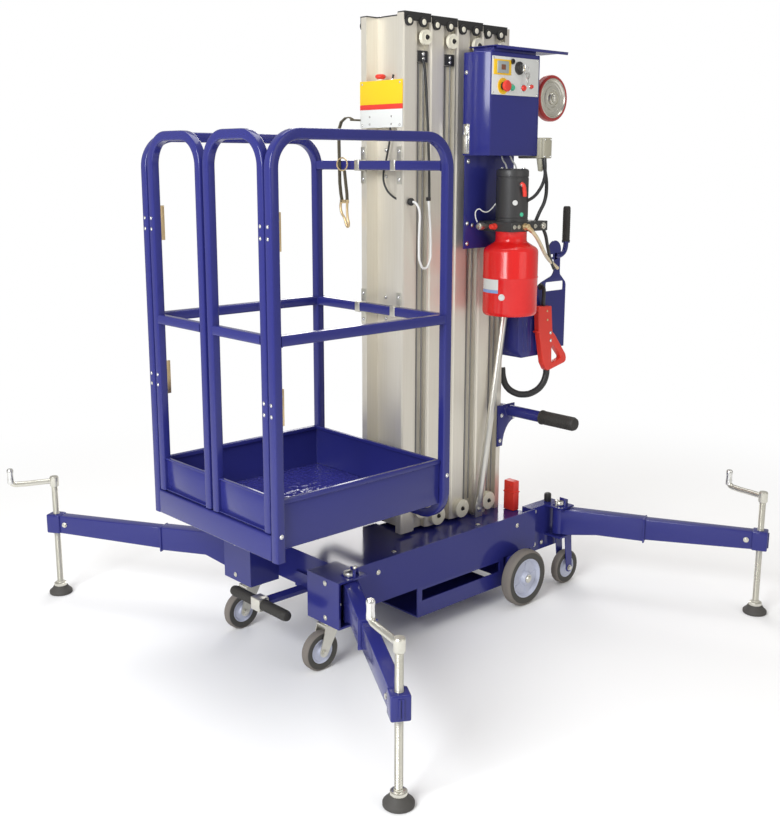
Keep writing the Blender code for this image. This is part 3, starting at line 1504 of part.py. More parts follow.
def build_load_wheels(wall):
    bracket = box(
        "load_wheel_bracket",
        (-LOAD_BRACKET_X, wall, LOAD_WHEEL_Z - LOAD_BRACKET_HALF_HEIGHT),
        (LOAD_BRACKET_X, wall + LOAD_BRACKET_PLATE, LOAD_WHEEL_Z + LOAD_BRACKET_HALF_HEIGHT),
        BLUE,
    )
    cheeks = []
    for side, sign in SIDES:
        low_x, high_x = sorted((sign * (LOAD_BRACKET_X - LOAD_BRACKET_PLATE), sign * LOAD_BRACKET_X))
        outline = [
            (wall + 0.001, LOAD_WHEEL_Z + LOAD_CHEEK_HALF_HEIGHT),
            (wall + 0.001, LOAD_WHEEL_Z - LOAD_CHEEK_HALF_HEIGHT - 0.010),
            (LOAD_WHEEL_Y, LOAD_WHEEL_Z - 0.022),
            (LOAD_WHEEL_Y + 0.019, LOAD_WHEEL_Z - 0.011),
            (LOAD_WHEEL_Y + 0.019, LOAD_WHEEL_Z + 0.011),
            (LOAD_WHEEL_Y, LOAD_WHEEL_Z + 0.022),
        ]
        cheeks.append(prism(f"load_cheek_{side}", outline, "X", low_x, high_x))
    end = LOAD_WHEEL_X + LOAD_WHEEL_WIDTH / 2 + 0.004
    axle = rod(
        "load_axle",
        (-end, LOAD_WHEEL_Y, LOAD_WHEEL_Z),
        (end, LOAD_WHEEL_Y, LOAD_WHEEL_Z),
        LOAD_AXLE_RADIUS,
        SMALL_ROUND,
    )
    add(bracket, *cheeks, axle)
    for side, sign in SIDES:
        build_wheel(
            f"load_wheel_{side}",
            (sign * LOAD_WHEEL_X, LOAD_WHEEL_Y, LOAD_WHEEL_Z),
            LOAD_WHEEL_RADIUS,
            LOAD_WHEEL_WIDTH,
            LOAD_AXLE_RADIUS + PIN_CLEARANCE,
            0.86,
            RED,
        )


def build_handle_plate(x):
    """Shouldered plate with a hand slot, a hooked head and an upright grip."""
    outline = [
        (HANDLE_FRONT_Y, HANDLE_LOW_Z),
        (HANDLE_REAR_Y, HANDLE_LOW_Z),
        (HANDLE_REAR_Y, HANDLE_SHOULDER_Z),
        (HANDLE_REAR_Y - 0.008, HANDLE_SHOULDER_Z + 0.014),
        (NECK_REAR_Y + 0.006, HANDLE_SHOULDER_Z + 0.030),
        (NECK_REAR_Y, HANDLE_SHOULDER_Z + 0.042),
        (NECK_REAR_Y, HOOK_Z - 0.012),
        (NECK_FRONT_Y, HOOK_Z - 0.012),
        (NECK_FRONT_Y, HANDLE_SHOULDER_Z + 0.048),
        (NECK_FRONT_Y - 0.012, HANDLE_SHOULDER_Z + 0.032),
        (HANDLE_FRONT_Y + 0.022, HANDLE_SHOULDER_Z + 0.012),
        (HANDLE_FRONT_Y, HANDLE_SHOULDER_Z - 0.004),
    ]
    plate = prism("handle_plate", outline, "X", x, x + HANDLE_PLATE, BLUE)
    head = rod(
        "handle_hook",
        (x + 0.0002, HOOK_Y, HOOK_Z),
        (x + HANDLE_PLATE - 0.0002, HOOK_Y, HOOK_Z),
        HOOK_RADIUS,
        MIDDLE_ROUND,
    )
    middle = x + HANDLE_PLATE / 2
    grip_y = HANDLE_REAR_Y - 0.005
    top = HANDLE_GRIP_LOW_Z + HANDLE_GRIP_LENGTH
    start_y = HOOK_Y + 0.010
    route = [(middle, start_y, HOOK_Z - 0.016), (middle, grip_y, HOOK_Z - 0.010), (middle, grip_y, top - 0.02)]
    stem = swept("handle_stem", filleted_path(route, 0.022, 4), round_outline(HANDLE_TUBE_RADIUS, 8), (1, 0, 0))
    grip_start = (middle, grip_y, HANDLE_GRIP_LOW_Z)
    grip = rod("handle_grip", grip_start, (middle, grip_y, top), HANDLE_GRIP_RADIUS, SMALL_ROUND)
    add(plate, head, stem, grip)
    slot = box(
        "cut_handle_slot",
        (x - 0.01, HANDLE_REAR_Y - 0.114, HANDLE_SLOT_LOW_Z),
        (x + 0.02, HANDLE_REAR_Y - 0.014, HANDLE_SLOT_HIGH_Z),
    )
    crescent = box(
        "cut_handle_crescent",
        (x - 0.01, HOOK_Y - HOOK_RADIUS - 0.01, HOOK_Z - 0.024),
        (x + 0.02, NECK_FRONT_Y - 0.004, HOOK_Z - 0.014),
    )
    cut(plate, slot, crescent)


def build_battery_plug(x):
    """Charging plug with its triangular pull loop and the cable that runs back to the mast."""
    z = PLUG_TOP_Z
    y = HANDLE_FRONT_Y
    outline = [
        (y - 0.018, z),
        (y + 0.055, z - 0.004),
        (y + 0.064, z - 0.096),
        (y + 0.080, z - 0.110),
        (y + 0.143, z - 0.186),
        (y + 0.147, z - 0.208),
        (y + 0.138, z - 0.218),
        (y + 0.053, z - 0.236),
        (y + 0.034, z - 0.232),
        (y + 0.016, z - 0.206),
        (y + 0.002, z - 0.143),
        (y - 0.011, z - 0.091),
    ]
    plug = prism("battery_plug", outline, "X", x, x + PLUG_THICKNESS, RED)
    loop = prism(
        "cut_plug_loop",
        [(y + 0.074, z - 0.150), (y + 0.118, z - 0.196), (y + 0.064, z - 0.210), (y + 0.062, z - 0.152)],
        "X",
        x - 0.01,
        x + PLUG_THICKNESS + 0.01,
    )
    cut(plug, loop)
    middle = x + PLUG_THICKNESS / 2
    entry_y = y + 0.016
    entry_z = z + 0.066
    grommet = rod("plug_grommet", (x, entry_y, entry_z), (middle + 0.008, entry_y, entry_z), 0.010, TINY_ROUND)
    route = [(middle, y + 0.022, z - 0.006), (middle, y + 0.010, z + 0.030), (middle, entry_y, entry_z - 0.002)]
    upper = filleted_path(route, 0.012, 2)
    sleeve_end = MAST_REAR_Y + SEAT_GAP + SLEEVE_RADIUS + 0.002
    lower = filleted_path(
        [
            (middle, y + 0.050, z - 0.228),
            (middle, y + 0.068, z - 0.276),
            (middle - 0.006, y + 0.020, z - 0.318),
            (0.150, y - 0.030, z - 0.322),
            (0.100, sleeve_end + 0.006, z - 0.288),
            (0.086, sleeve_end, z - 0.225),
        ],
        0.026,
        3,
    )
    add(
        plug,
        grommet,
        swept("plug_cable", upper, round_outline(PLUG_CABLE_RADIUS, TINY_ROUND), (1, 0, 0)),
        swept("plug_sleeve", lower, round_outline(SLEEVE_RADIUS, TINY_ROUND), (1, 0, 0)),
    )


def build_push_bar():
    push = rod(
        "push_bar",
        (-PUSH_GRIP_START_X - 0.01, PUSH_BAR_Y, PUSH_BAR_Z),
        (PUSH_GRIP_START_X + 0.01, PUSH_BAR_Y, PUSH_BAR_Z),
        PUSH_BAR_RADIUS,
        SMALL_ROUND,
        BLUE,
    )
    low = PUSH_GUSSET_LOW_Z
    top = PUSH_GUSSET_TOP_Z
    near = MAST_REAR_Y - 0.020
    outline = [
        (near, top),
        (near, low),
        (near + 0.028, low),
        (near + 0.034, low + 0.040),
        (near + 0.046, low + 0.068),
        (near + 0.064, low + 0.084),
        (near + 0.092, low + 0.092),
        (near + 0.092, top),
    ]
    for side, sign in SIDES:
        start = sign * (MAST_HALF_WIDTH - LIP_DROP + SEAT_GAP)
        low_x, high_x = sorted((start, start + sign * PUSH_GUSSET))
        add(
            push,
            prism(f"push_gusset_{side}", outline, "X", low_x, high_x),
            rod(
                f"push_grip_{side}",
                (sign * PUSH_GRIP_START_X, PUSH_BAR_Y, PUSH_BAR_Z),
                (sign * PUSH_GRIP_END_X, PUSH_BAR_Y, PUSH_BAR_Z),
                PUSH_GRIP_RADIUS,
                MIDDLE_ROUND,
            ),
        )


def build_rear_equipment():
    wall = MAST_REAR_Y + SEAT_GAP
    build_load_wheels(wall)
    outline = [
        (wall, BATTERY_TOP_Z),
        (wall, BATTERY_LOW_Z + BATTERY_CHAMFER),
        (wall + BATTERY_CHAMFER * 0.7, BATTERY_LOW_Z),
        (BATTERY_REAR_Y, BATTERY_LOW_Z),
        (BATTERY_REAR_Y, BATTERY_TOP_Z),
    ]
    prism("battery_box", outline, "X", -BATTERY_HALF_WIDTH, BATTERY_HALF_WIDTH, BLUE)
    x = BATTERY_HALF_WIDTH + SEAT_GAP
    build_handle_plate(x)
    build_battery_plug(x + HANDLE_PLATE + SEAT_GAP)
    build_push_bar()


def build_tow_bar():
    """Low T-bar in front of the chassis."""
    back_y = CHASSIS_FRONT_Y - SEAT_GAP
    block = box("tow_bar", (-0.022, TOW_Y - 0.018, TOW_Z - 0.020), (0.022, TOW_Y + 0.018, TOW_Z + 0.020), BLACK)
    stem = box("tow_stem", (-0.020, TOW_Y + 0.010, TOW_Z - 0.006), (0.020, back_y, TOW_Z + 0.006))
    foot = box("tow_foot", (-0.045, back_y - 0.012, TOW_Z - 0.002), (0.045, back_y, TOW_Z + 0.05))
    bar = rod("tow_rod", (-TOW_REACH, TOW_Y, TOW_Z), (TOW_REACH, TOW_Y, TOW_Z), TOW_BAR_RADIUS, TINY_ROUND)
    grips = [
        rod(
            f"tow_grip_{side}",
            (sign * 0.034, TOW_Y, TOW_Z),
            (sign * TOW_REACH, TOW_Y, TOW_Z),
            TOW_GRIP_RADIUS,
            SMALL_ROUND,
        )
        for side, sign in SIDES
    ]
    add(block, stem, foot, bar, *grips)


build_chassis()
build_fork_channels()
build_front_brackets()
build_rear_brackets()
build_rear_axle()
build_wheels()
for row in OUTRIGGERS:
    build_outrigger(*row)
for row in SECTIONS:
    build_section(*row)
build_platform()
build_gates()
build_pump_unit()
build_braces()
build_rear_equipment()
build_tow_bar()
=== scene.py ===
"""Looks of a push-around vertical mast lift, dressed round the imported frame.

Metres, +Z up.  The platform is at -Y, the push handles are at +Y, and the oil
tank, the motor and the control box hang on the +X side of the mast.
"""
from __future__ import annotations

import json
import logging
import math
from collections.abc import Callable, Iterable, Sequence
from dataclasses import dataclass
from enum import Enum
from typing import ClassVar

import bpy
from mathutils import Matrix, Vector

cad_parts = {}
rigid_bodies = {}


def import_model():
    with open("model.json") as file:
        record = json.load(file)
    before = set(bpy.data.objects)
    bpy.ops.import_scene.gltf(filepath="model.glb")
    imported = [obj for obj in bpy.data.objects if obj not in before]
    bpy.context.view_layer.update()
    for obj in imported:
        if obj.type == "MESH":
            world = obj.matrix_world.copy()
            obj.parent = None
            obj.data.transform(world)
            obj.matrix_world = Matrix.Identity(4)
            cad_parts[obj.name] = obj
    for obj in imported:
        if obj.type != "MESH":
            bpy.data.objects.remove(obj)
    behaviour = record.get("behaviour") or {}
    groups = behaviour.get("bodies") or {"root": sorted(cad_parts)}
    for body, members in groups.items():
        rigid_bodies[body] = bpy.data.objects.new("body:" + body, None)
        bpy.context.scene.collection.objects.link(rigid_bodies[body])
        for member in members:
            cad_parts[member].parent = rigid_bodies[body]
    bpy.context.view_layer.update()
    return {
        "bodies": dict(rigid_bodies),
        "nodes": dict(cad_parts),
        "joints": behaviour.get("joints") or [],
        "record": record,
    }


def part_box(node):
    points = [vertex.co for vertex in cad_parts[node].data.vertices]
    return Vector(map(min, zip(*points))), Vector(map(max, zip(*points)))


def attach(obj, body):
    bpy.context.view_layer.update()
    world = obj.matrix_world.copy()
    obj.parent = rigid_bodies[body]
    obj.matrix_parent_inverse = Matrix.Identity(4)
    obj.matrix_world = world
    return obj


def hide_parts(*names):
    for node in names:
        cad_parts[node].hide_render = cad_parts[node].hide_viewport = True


LOG = logging.getLogger("mast_lift")

Item = bpy.types.Object
Point = Sequence[float]
Colour = tuple[float, float, float]
SIDES = (("right", 1), ("left", -1))


class Axis(Enum):
    """A direction of the shared frame."""

    X = (1.0, 0.0, 0.0)
    Y = (0.0, 1.0, 0.0)
    Z = (0.0, 0.0, 1.0)

    def frame(self) -> Matrix:
        """Rotation that takes a shape built round +Z to this axis."""
        return Vector(self.value).to_track_quat("Z", "Y").to_matrix().to_4x4()


class Grain(Enum):
    """The small-scale pattern of a surface."""

    PAINT = "paint_film"
    DRAWN = "drawn_lines"
    PLATED = "plated_spangle"
    MOULDED = "moulded_grain"


class Bench:
    """Modelling by operator, as by hand: primitives, edit-mode steps and modifiers."""

    SEAM = 1e-6

    @staticmethod
    def clear() -> None:
        """Deselect everything and leave edit mode."""
        if bpy.context.object is not None and bpy.context.object.mode != "OBJECT":
            bpy.ops.object.mode_set(mode="OBJECT")
        bpy.ops.object.select_all(action="DESELECT")

    @classmethod
    def take(cls, item: Item) -> None:
        """Select one object alone and make it active."""
        cls.clear()
        item.select_set(True)
        bpy.context.view_layer.objects.active = item

    @staticmethod
    def _leave_edit() -> None:
        """Turn every face outwards and leave edit mode."""
        bpy.ops.mesh.select_all(action="SELECT")
        bpy.ops.mesh.normals_make_consistent(inside=False)
        bpy.ops.object.mode_set(mode="OBJECT")

    @classmethod
    def settle(cls, item: Item) -> Item:
        """Move an object's place into its mesh."""
        cls.take(item)
        bpy.ops.object.transform_apply(location=True, rotation=True, scale=True)
        return item

    @classmethod
    def aim(cls, item: Item, place: Point, direction: Point) -> Item:
        """Set a piece built up +Z at a place, pointing along a direction."""
        item.matrix_world = aimed(place, direction)
        return cls.settle(item)

    @classmethod
    def smooth(cls, item: Item, degrees: float = 35.0) -> Item:
        """Shade smooth, with edges sharper than an angle kept crisp."""
        cls.take(item)
        bpy.ops.object.shade_smooth_by_angle(angle=math.radians(degrees))
        return item

    @classmethod
    def bevel(cls, item: Item, width: float, segments: int = 2, degrees: float = 35.0) -> Item:
        """Round the edges that are sharper than an angle."""
        cls.take(item)
        step = item.modifiers.new("edge_round", "BEVEL")
        step.width = width
        step.segments = segments
        step.limit_method = "ANGLE"
        step.angle_limit = math.radians(degrees)
        step.harden_normals = False
        bpy.ops.object.modifier_apply(modifier=step.name)
        return cls.smooth(item)

    @classmethod
    def block(cls, name: str, low: Point, high: Point, round_edge: float = 0.0, segments: int = 2) -> Item:
        """A block between two corners with rounded edges."""
        cls.clear()
        low_corner = Vector(low)
        high_corner = Vector(high)
        bpy.ops.mesh.primitive_cube_add(
            size=1.0, location=(low_corner + high_corner) / 2, scale=high_corner - low_corner
        )
        item = bpy.context.object
        item.name = name
        cls.settle(item)
        if round_edge > 0:
            cls.bevel(item, round_edge, segments)
        return item

    @classmethod
    def bar(
        cls, name: str, start: Point, end: Point, radius: float, sides: int = 24, round_edge: float = 0.0,
        end_radius: float | None = None
    ) -> Item:
        """A round bar, or a cone, between two points."""
        cls.clear()
        foot = Vector(start)
        run = Vector(end) - foot
        bpy.ops.mesh.primitive_cone_add(
            vertices=sides, radius1=radius, radius2=radius if end_radius is None else end_radius, depth=run.length,
            location=foot + run / 2, rotation=run.to_track_quat("Z", "Y").to_euler()
        )
        item = bpy.context.object
        item.name = name
        cls.settle(item)
        if round_edge > 0:
            cls.bevel(item, round_edge, 2, 50.0)
        return cls.smooth(item)

    @classmethod
    def _chain(cls, name: str, points: Sequence[Point]) -> Item:
        """A chain of edges, drawn by extruding one vertex from point to point."""
        cls.clear()
        bpy.ops.mesh.primitive_plane_add(size=1.0)
        item = bpy.context.object
        item.name = name
        bpy.ops.object.mode_set(mode="EDIT")
        bpy.ops.mesh.select_all(action="SELECT")
        bpy.ops.mesh.merge(type="CENTER")
        places = [Vector(p) for p in points]
        bpy.ops.transform.translate(value=places[0])
        for here, there in zip(places, places[1:]):
            bpy.ops.mesh.extrude_vertices_move(TRANSFORM_OT_translate={"value": there - here})
        bpy.ops.mesh.select_all(action="SELECT")
        return item

    @classmethod
    def turned(
        cls, name: str, profile: Sequence[tuple[float, float]], axis: Axis, centre: Point, steps: int = 48
    ) -> Item:
        """Spin a closed or axis-to-axis profile of (radius, along) points about an axis."""
        item = cls._chain(name, [(radius, 0.0, along) for radius, along in profile])
        bpy.ops.mesh.spin(steps=steps, angle=math.tau, center=(0, 0, 0), axis=(0, 0, 1))
        bpy.ops.mesh.select_all(action="SELECT")
        bpy.ops.mesh.remove_doubles(threshold=cls.SEAM)
        cls._leave_edit()
        item.matrix_world = Matrix.Translation(centre) @ axis.frame()
        cls.settle(item)
        return cls.smooth(item)

    @classmethod
    def plate(
        cls, name: str, outline: Sequence[Point], push: Point, round_edge: float = 0.0, segments: int = 2
    ) -> Item:
        """Fill a flat outline and extrude it by a push."""
        item = cls._chain(name, outline)
        bpy.ops.mesh.edge_face_add()
        bpy.ops.mesh.select_all(action="SELECT")
        bpy.ops.mesh.extrude_region_move(TRANSFORM_OT_translate={"value": Vector(push)})
        cls._leave_edit()
        if round_edge > 0:
            cls.bevel(item, round_edge, segments)
        return cls.smooth(item)

    @classmethod
    def bent_tube(
        cls, name: str, corners: Sequence[Point], radius: float, size: float, corner: float, side: Point,
        steps: int = 10
    ) -> Item:
        """A square tube with rounded corners, bent through the corner points of a flat path.

        Args:
            name: The new object's name.
            corners: The path's corner points.
            radius: Bend radius of the tube's middle line.
            size: Width of the tube.
            corner: Radius of the tube's own corners.
            side: A direction square to the flat path.
            steps: Faces along each bend.

        Returns:
            The tube, with both ends capped.
        """
        places = [Vector(p) for p in corners]
        cls.clear()
        first = (places[1] - places[0]).normalized()
        across = Vector(side).cross(first)
        turn = Matrix((across, Vector(side), first)).transposed().to_4x4()
        bpy.ops.mesh.primitive_circle_add(vertices=4, radius=size / math.sqrt(2))
        item = bpy.context.object
        item.name = name
        item.matrix_world = Matrix.Translation(places[0]) @ turn @ Matrix.Rotation(math.pi / 4, 4, "Z")
        cls.settle(item)
        bpy.ops.object.mode_set(mode="EDIT")
        bpy.ops.mesh.select_all(action="SELECT")
        bpy.ops.mesh.bevel(offset=corner, segments=4, affect="VERTICES")
        bpy.ops.mesh.select_all(action="SELECT")
        here = places[0]
        for i in range(1, len(places)):
            heading = (places[i] - places[i - 1]).normalized()
            if i == len(places) - 1:
                bpy.ops.mesh.extrude_edges_move(TRANSFORM_OT_translate={"value": places[i] - here})
                break
            onward = (places[i + 1] - places[i]).normalized()
            angle = heading.angle(onward)
            cut_back = radius * math.tan(angle / 2)
            bend_start = places[i] - heading * cut_back
            if (bend_start - here).length > cls.SEAM:
                bpy.ops.mesh.extrude_edges_move(TRANSFORM_OT_translate={"value": bend_start - here})
            spin_axis = heading.cross(onward).normalized()
            bend_centre = bend_start + spin_axis.cross(heading) * radius
            bpy.ops.mesh.spin(steps=steps, angle=-angle, center=bend_centre, axis=spin_axis)
            here = places[i] + onward * cut_back
        bpy.ops.mesh.select_all(action="SELECT")
        bpy.ops.mesh.remove_doubles(threshold=cls.SEAM)
        bpy.ops.mesh.select_all(action="DESELECT")
        bpy.ops.mesh.select_non_manifold()
        bpy.ops.mesh.edge_face_add()
        cls._leave_edit()
        return cls.smooth(item, 30.0)

    @classmethod
    def curve(cls, name: str, points: Sequence[Point], radius: float, ring: int = 3, soft: bool = True) -> Item:
        """A round tube along a line of points, soft or straight between them, kept a curve."""
        cls.clear()
        data = bpy.data.curves.new(name, "CURVE")
        data.dimensions = "3D"
        data.bevel_depth = radius
        data.bevel_resolution = ring
        data.use_fill_caps = True
        data.resolution_u = 8
        spline = data.splines.new("BEZIER" if soft else "POLY")
        if soft:
            spline.bezier_points.add(len(points) - 1)
            for knot, place in zip(spline.bezier_points, points):
                knot.co = place
                knot.handle_left_type = "AUTO"
                knot.handle_right_type = "AUTO"
        else:
            spline.points.add(len(points) - 1)
            for knot, place in zip(spline.points, points):
                knot.co = (*place, 1.0)
        item = bpy.data.objects.new(name, data)
        bpy.context.collection.objects.link(item)
        return item

    @classmethod
    def line(cls, name: str, points: Sequence[Point], radius: float, ring: int = 3, soft: bool = True) -> Item:
        """The same tube made a mesh."""
        cls.take(cls.curve(name, points, radius, ring, soft))
        bpy.ops.object.convert(target="MESH")
        return cls.smooth(bpy.context.object, 40.0)

    @classmethod
    def cut(cls, item: Item, *cutters: Item) -> Item:
        """Cut shapes out of an object and throw the cutters away."""
        for cutter in cutters:
            cls.take(item)
            step = item.modifiers.new("cut", "BOOLEAN")
            step.operation = "DIFFERENCE"
            step.object = cutter
            bpy.ops.object.modifier_apply(modifier=step.name)
            bpy.data.objects.remove(cutter, do_unlink=True)
        return item

    @classmethod
    def sink(cls, item: Item, wanted: Callable[[bpy.types.MeshPolygon], bool], margin: float, depth: float) -> Item:
        """Inset the faces that are wanted, and push them in by a depth."""
        cls.take(item)
        bpy.ops.object.mode_set(mode="EDIT")
        bpy.ops.mesh.select_mode(type="FACE")
        bpy.ops.mesh.select_all(action="DESELECT")
        bpy.ops.object.mode_set(mode="OBJECT")
        for polygon in item.data.polygons:
            polygon.select = wanted(polygon)
        bpy.ops.object.mode_set(mode="EDIT")
        bpy.ops.mesh.inset(thickness=margin, depth=-depth, use_individual=False)
        bpy.ops.mesh.select_mode(type="VERT")
        bpy.ops.object.mode_set(mode="OBJECT")
        return item

    @classmethod
    def join(cls, name: str, items: Sequence[Item]) -> Item:
        """Join objects into one."""
        cls.clear()
        for item in items:
            item.select_set(True)
        bpy.context.view_layer.objects.active = items[0]
        if len(items) > 1:
            bpy.ops.object.join()
        items[0].name = name
        return items[0]

    @classmethod
    def copies(cls, name: str, template: Item, places: Iterable[Matrix]) -> Item:
        """Copy a finished piece to each place, each copy with its own mesh, and join the copies."""
        made = []
        for place in places:
            mesh = template.data.copy()
            mesh.transform(place)
            copy = bpy.data.objects.new(name, mesh)
            bpy.context.collection.objects.link(copy)
            made.append(copy)
        bpy.data.objects.remove(template, do_unlink=True)
        return cls.join(name, made)


def aimed(place: Point, direction: Point, turn: float = 0.0) -> Matrix:
    """Matrix that takes a piece built up +Z to a place, pointing along a direction."""
    quat = Vector(direction).to_track_quat("Z", "Y").to_matrix().to_4x4()
    return Matrix.Translation(place) @ quat @ Matrix.Rotation(turn, 4, "Z")


def middle_of(node: str) -> Vector:
    """The middle of a frame node's box."""
    low, high = (Vector(corner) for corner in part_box(node))
    return (low + high) / 2


def wire(tree: bpy.types.NodeTree, node: bpy.types.Node, inputs: dict[str | int, object]) -> None:
    """Set a node's inputs to values, or link them where a socket is given."""
    for name, value in inputs.items():
        if isinstance(value, bpy.types.NodeSocket):
            tree.links.new(value, node.inputs[name])
        else:
            node.inputs[name].default_value = value


def add_node(
    tree: bpy.types.NodeTree, kind: str, inputs: dict[str | int, object] | None = None, **settings: object
) -> bpy.types.Node:
    """Add a shader node to a tree.

    Args:
        tree: The tree.
        kind: The node's type, without "ShaderNode" before it.
        inputs: Values or sockets for its inputs, by name or number.
        settings: Its properties, such as the operation.

    Returns:
        The node.
    """
    node = tree.nodes.new(f"ShaderNode{kind}")
    for name, value in settings.items():
        setattr(node, name, value)
    wire(tree, node, inputs or {})
    return node


class GrainGroups:
    """Shader node groups shared by the finishes, each built once."""

    built: dict[Grain, bpy.types.NodeTree] = {}

    @classmethod
    def get(cls, grain: Grain) -> bpy.types.NodeTree:
        """The node group of a grain, built the first time it is asked for."""
        if grain not in cls.built:
            cls.built[grain] = cls._build(grain)
        return cls.built[grain]

    @classmethod
    def _build(cls, grain: Grain) -> bpy.types.NodeTree:
        """A group with inputs Size and Contrast and outputs Tone, Wear and Height."""
        tree = bpy.data.node_groups.new(grain.value, "ShaderNodeTree")
        for name, value in (("Size", 0.01), ("Contrast", 0.5)):
            tree.interface.new_socket(name, in_out="INPUT", socket_type="NodeSocketFloat").default_value = value
        for name in ("Tone", "Wear", "Height"):
            tree.interface.new_socket(name, in_out="OUTPUT", socket_type="NodeSocketFloat")
        inside = tree.nodes.new("NodeGroupInput").outputs
        outside = tree.nodes.new("NodeGroupOutput")
        place = add_node(tree, "TexCoord").outputs["Object"]
        stretch = add_node(tree, "Mapping", {"Scale": cls._stretch(grain), "Vector": place}).outputs["Vector"]
        scale = add_node(tree, "Math", {0: 1.0, 1: inside["Size"]}, operation="DIVIDE").outputs[0]
        fine = add_node(
            tree, "TexNoise", {"Detail": cls._detail(grain), "Vector": stretch, "Scale": scale}
        ).outputs["Fac"]
        slow = add_node(tree, "TexNoise", {"Scale": 5.0, "Detail": 3.0, "Vector": place}).outputs["Fac"]
        blend = add_node(tree, "Math", {0: slow, 1: 0.45, 2: 0.28}, operation="MULTIPLY_ADD").outputs[0]
        tone = add_node(tree, "Mix", {"Factor": inside["Contrast"], "A": blend, "B": fine}, data_type="FLOAT")
        wire(tree, outside, {"Tone": tone.outputs["Result"], "Wear": slow, "Height": fine})
        return tree

    @staticmethod
    def _stretch(grain: Grain) -> Point:
        """How a grain is stretched along the three axes."""
        return (1.0, 1.0, 0.012) if grain is Grain.DRAWN else (1.0, 1.0, 1.0)

    @staticmethod
    def _detail(grain: Grain) -> float:
        """How many finer layers a grain's noise has."""
        return {Grain.PAINT: 1.0, Grain.DRAWN: 5.0, Grain.PLATED: 2.0, Grain.MOULDED: 4.0}[grain]


@dataclass(frozen=True)
class Finish:
    """One surface finish of the lift, with its grain and its gloss.

    Args:
        name: Name of the material.
        colour: Main colour, linear.
        second: The colour that the grain's tone blends towards, linear.
        slot: The record's material slot; not used.
        roughness: Mean roughness.
        metallic: 0 for paint and plastic, 1 for bare metal.
        coat: Weight of a clear coat.
        grain: The pattern.
        size: Size of the pattern, metres.
        contrast: How far the fine grain rules the tone, 0 to 1.
        relief: Height of the bump, metres.
        rough_spread: How far the roughness wanders with the slow tone.
        specular: Strength of the plain reflection, 0.5 as in the shader's own setting.
    """

    name: str
    colour: Colour
    second: Colour
    slot: str
    roughness: float
    metallic: float = 0.0
    coat: float = 0.0
    grain: Grain = Grain.MOULDED
    size: float = 0.004
    contrast: float = 0.4
    relief: float = 0.0001
    rough_spread: float = 0.1
    specular: float = 0.5
    COAT_ROUGHNESS: ClassVar[float] = 0.06

    def material(self) -> bpy.types.Material:
        """The node material, built once."""
        ready = bpy.data.materials.get(self.name)
        if ready is not None:
            return ready
        material = bpy.data.materials.new(self.name)
        material.use_nodes = True
        tree = material.node_tree
        grain = add_node(
            tree, "Group", {"Size": self.size, "Contrast": self.contrast}, node_tree=GrainGroups.get(self.grain)
        ).outputs
        colour = add_node(
            tree, "Mix", {"A": (*self.colour, 1.0), "B": (*self.second, 1.0), "Factor": grain["Tone"]}, data_type="RGBA"
        )
        rough = add_node(
            tree, "MapRange",
            {
                "To Min": max(0.02, self.roughness - self.rough_spread),
                "To Max": min(1.0, self.roughness + self.rough_spread), "Value": grain["Wear"]
            }
        )
        bump = add_node(tree, "Bump", {"Strength": 1.0, "Distance": self.relief, "Height": grain["Height"]})
        wire(
            tree, tree.nodes["Principled BSDF"],
            {
                "Base Color": colour.outputs["Result"], "Roughness": rough.outputs["Result"],
                "Normal": bump.outputs["Normal"], "Metallic": self.metallic, "Coat Weight": self.coat,
                "Coat Roughness": self.COAT_ROUGHNESS, "Specular IOR Level": self.specular
            }
        )
        material.diffuse_color = (*self.colour, 1.0)
        return material

    def dress(self, *items: Item) -> None:
        """Give the finish to objects."""
        for item in items:
            item.data.materials.clear()
            item.data.materials.append(self.material())

    def fit(self, item: Item, body: str, *nodes: str) -> None:
        """Give the finish to a piece, ride it on a body, and put it in the place of frame nodes."""
        self.dress(item)
        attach(item, body)
        if nodes:
            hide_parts(*nodes)


BLUE = Finish(
    "blue_gloss_paint", (0.019, 0.022, 0.155), (0.029, 0.032, 0.2), "blue_paint", 0.19, coat=0.14, grain=Grain.PAINT,
    size=0.006, contrast=0.3, rough_spread=0.05, specular=0.34
)
DECK_BLUE = Finish(
    "blue_chassis_paint", (0.019, 0.022, 0.155), (0.029, 0.032, 0.2), "blue_paint", 0.14, grain=Grain.PAINT, size=0.006,
    contrast=0.3, relief=0.00006, rough_spread=0.06, specular=0.3
)
RED = Finish(
    "red_gloss_paint", (0.66, 0.01, 0.012), (0.78, 0.02, 0.016), "red_paint", 0.18, coat=0.2, grain=Grain.PAINT,
    size=0.01, contrast=0.3, relief=0.00008, rough_spread=0.05, specular=0.36
)
ALUMINIUM = Finish(
    "drawn_aluminium", (0.72, 0.67, 0.56), (0.88, 0.85, 0.77), "aluminium", 0.42, metallic=0.62, grain=Grain.DRAWN,
    size=0.0022, contrast=0.7, relief=0.00004, rough_spread=0.08
)
ZINC = Finish(
    "zinc_plate", (0.6, 0.58, 0.5), (0.76, 0.75, 0.68), "zinc", 0.3, metallic=0.92, grain=Grain.PLATED, size=0.009,
    contrast=0.6, relief=0.00003
)
BRIGHT = Finish(
    "bright_screw_steel", (0.72, 0.72, 0.7), (0.82, 0.82, 0.8), "zinc", 0.22, metallic=0.95, grain=Grain.PLATED,
    contrast=0.5, relief=0.00002, rough_spread=0.06
)
BRASS = Finish(
    "hinge_brass", (0.66, 0.48, 0.24), (0.76, 0.6, 0.36), "zinc", 0.34, metallic=0.85, grain=Grain.PLATED, size=0.005,
    contrast=0.5, relief=0.00003, rough_spread=0.08
)
CAP_BLACK = Finish(
    "black_cap_plastic", (0.012, 0.012, 0.013), (0.026, 0.025, 0.024), "black_plastic", 0.48, size=0.0016, contrast=0.5,
    relief=0.00006, rough_spread=0.08
)
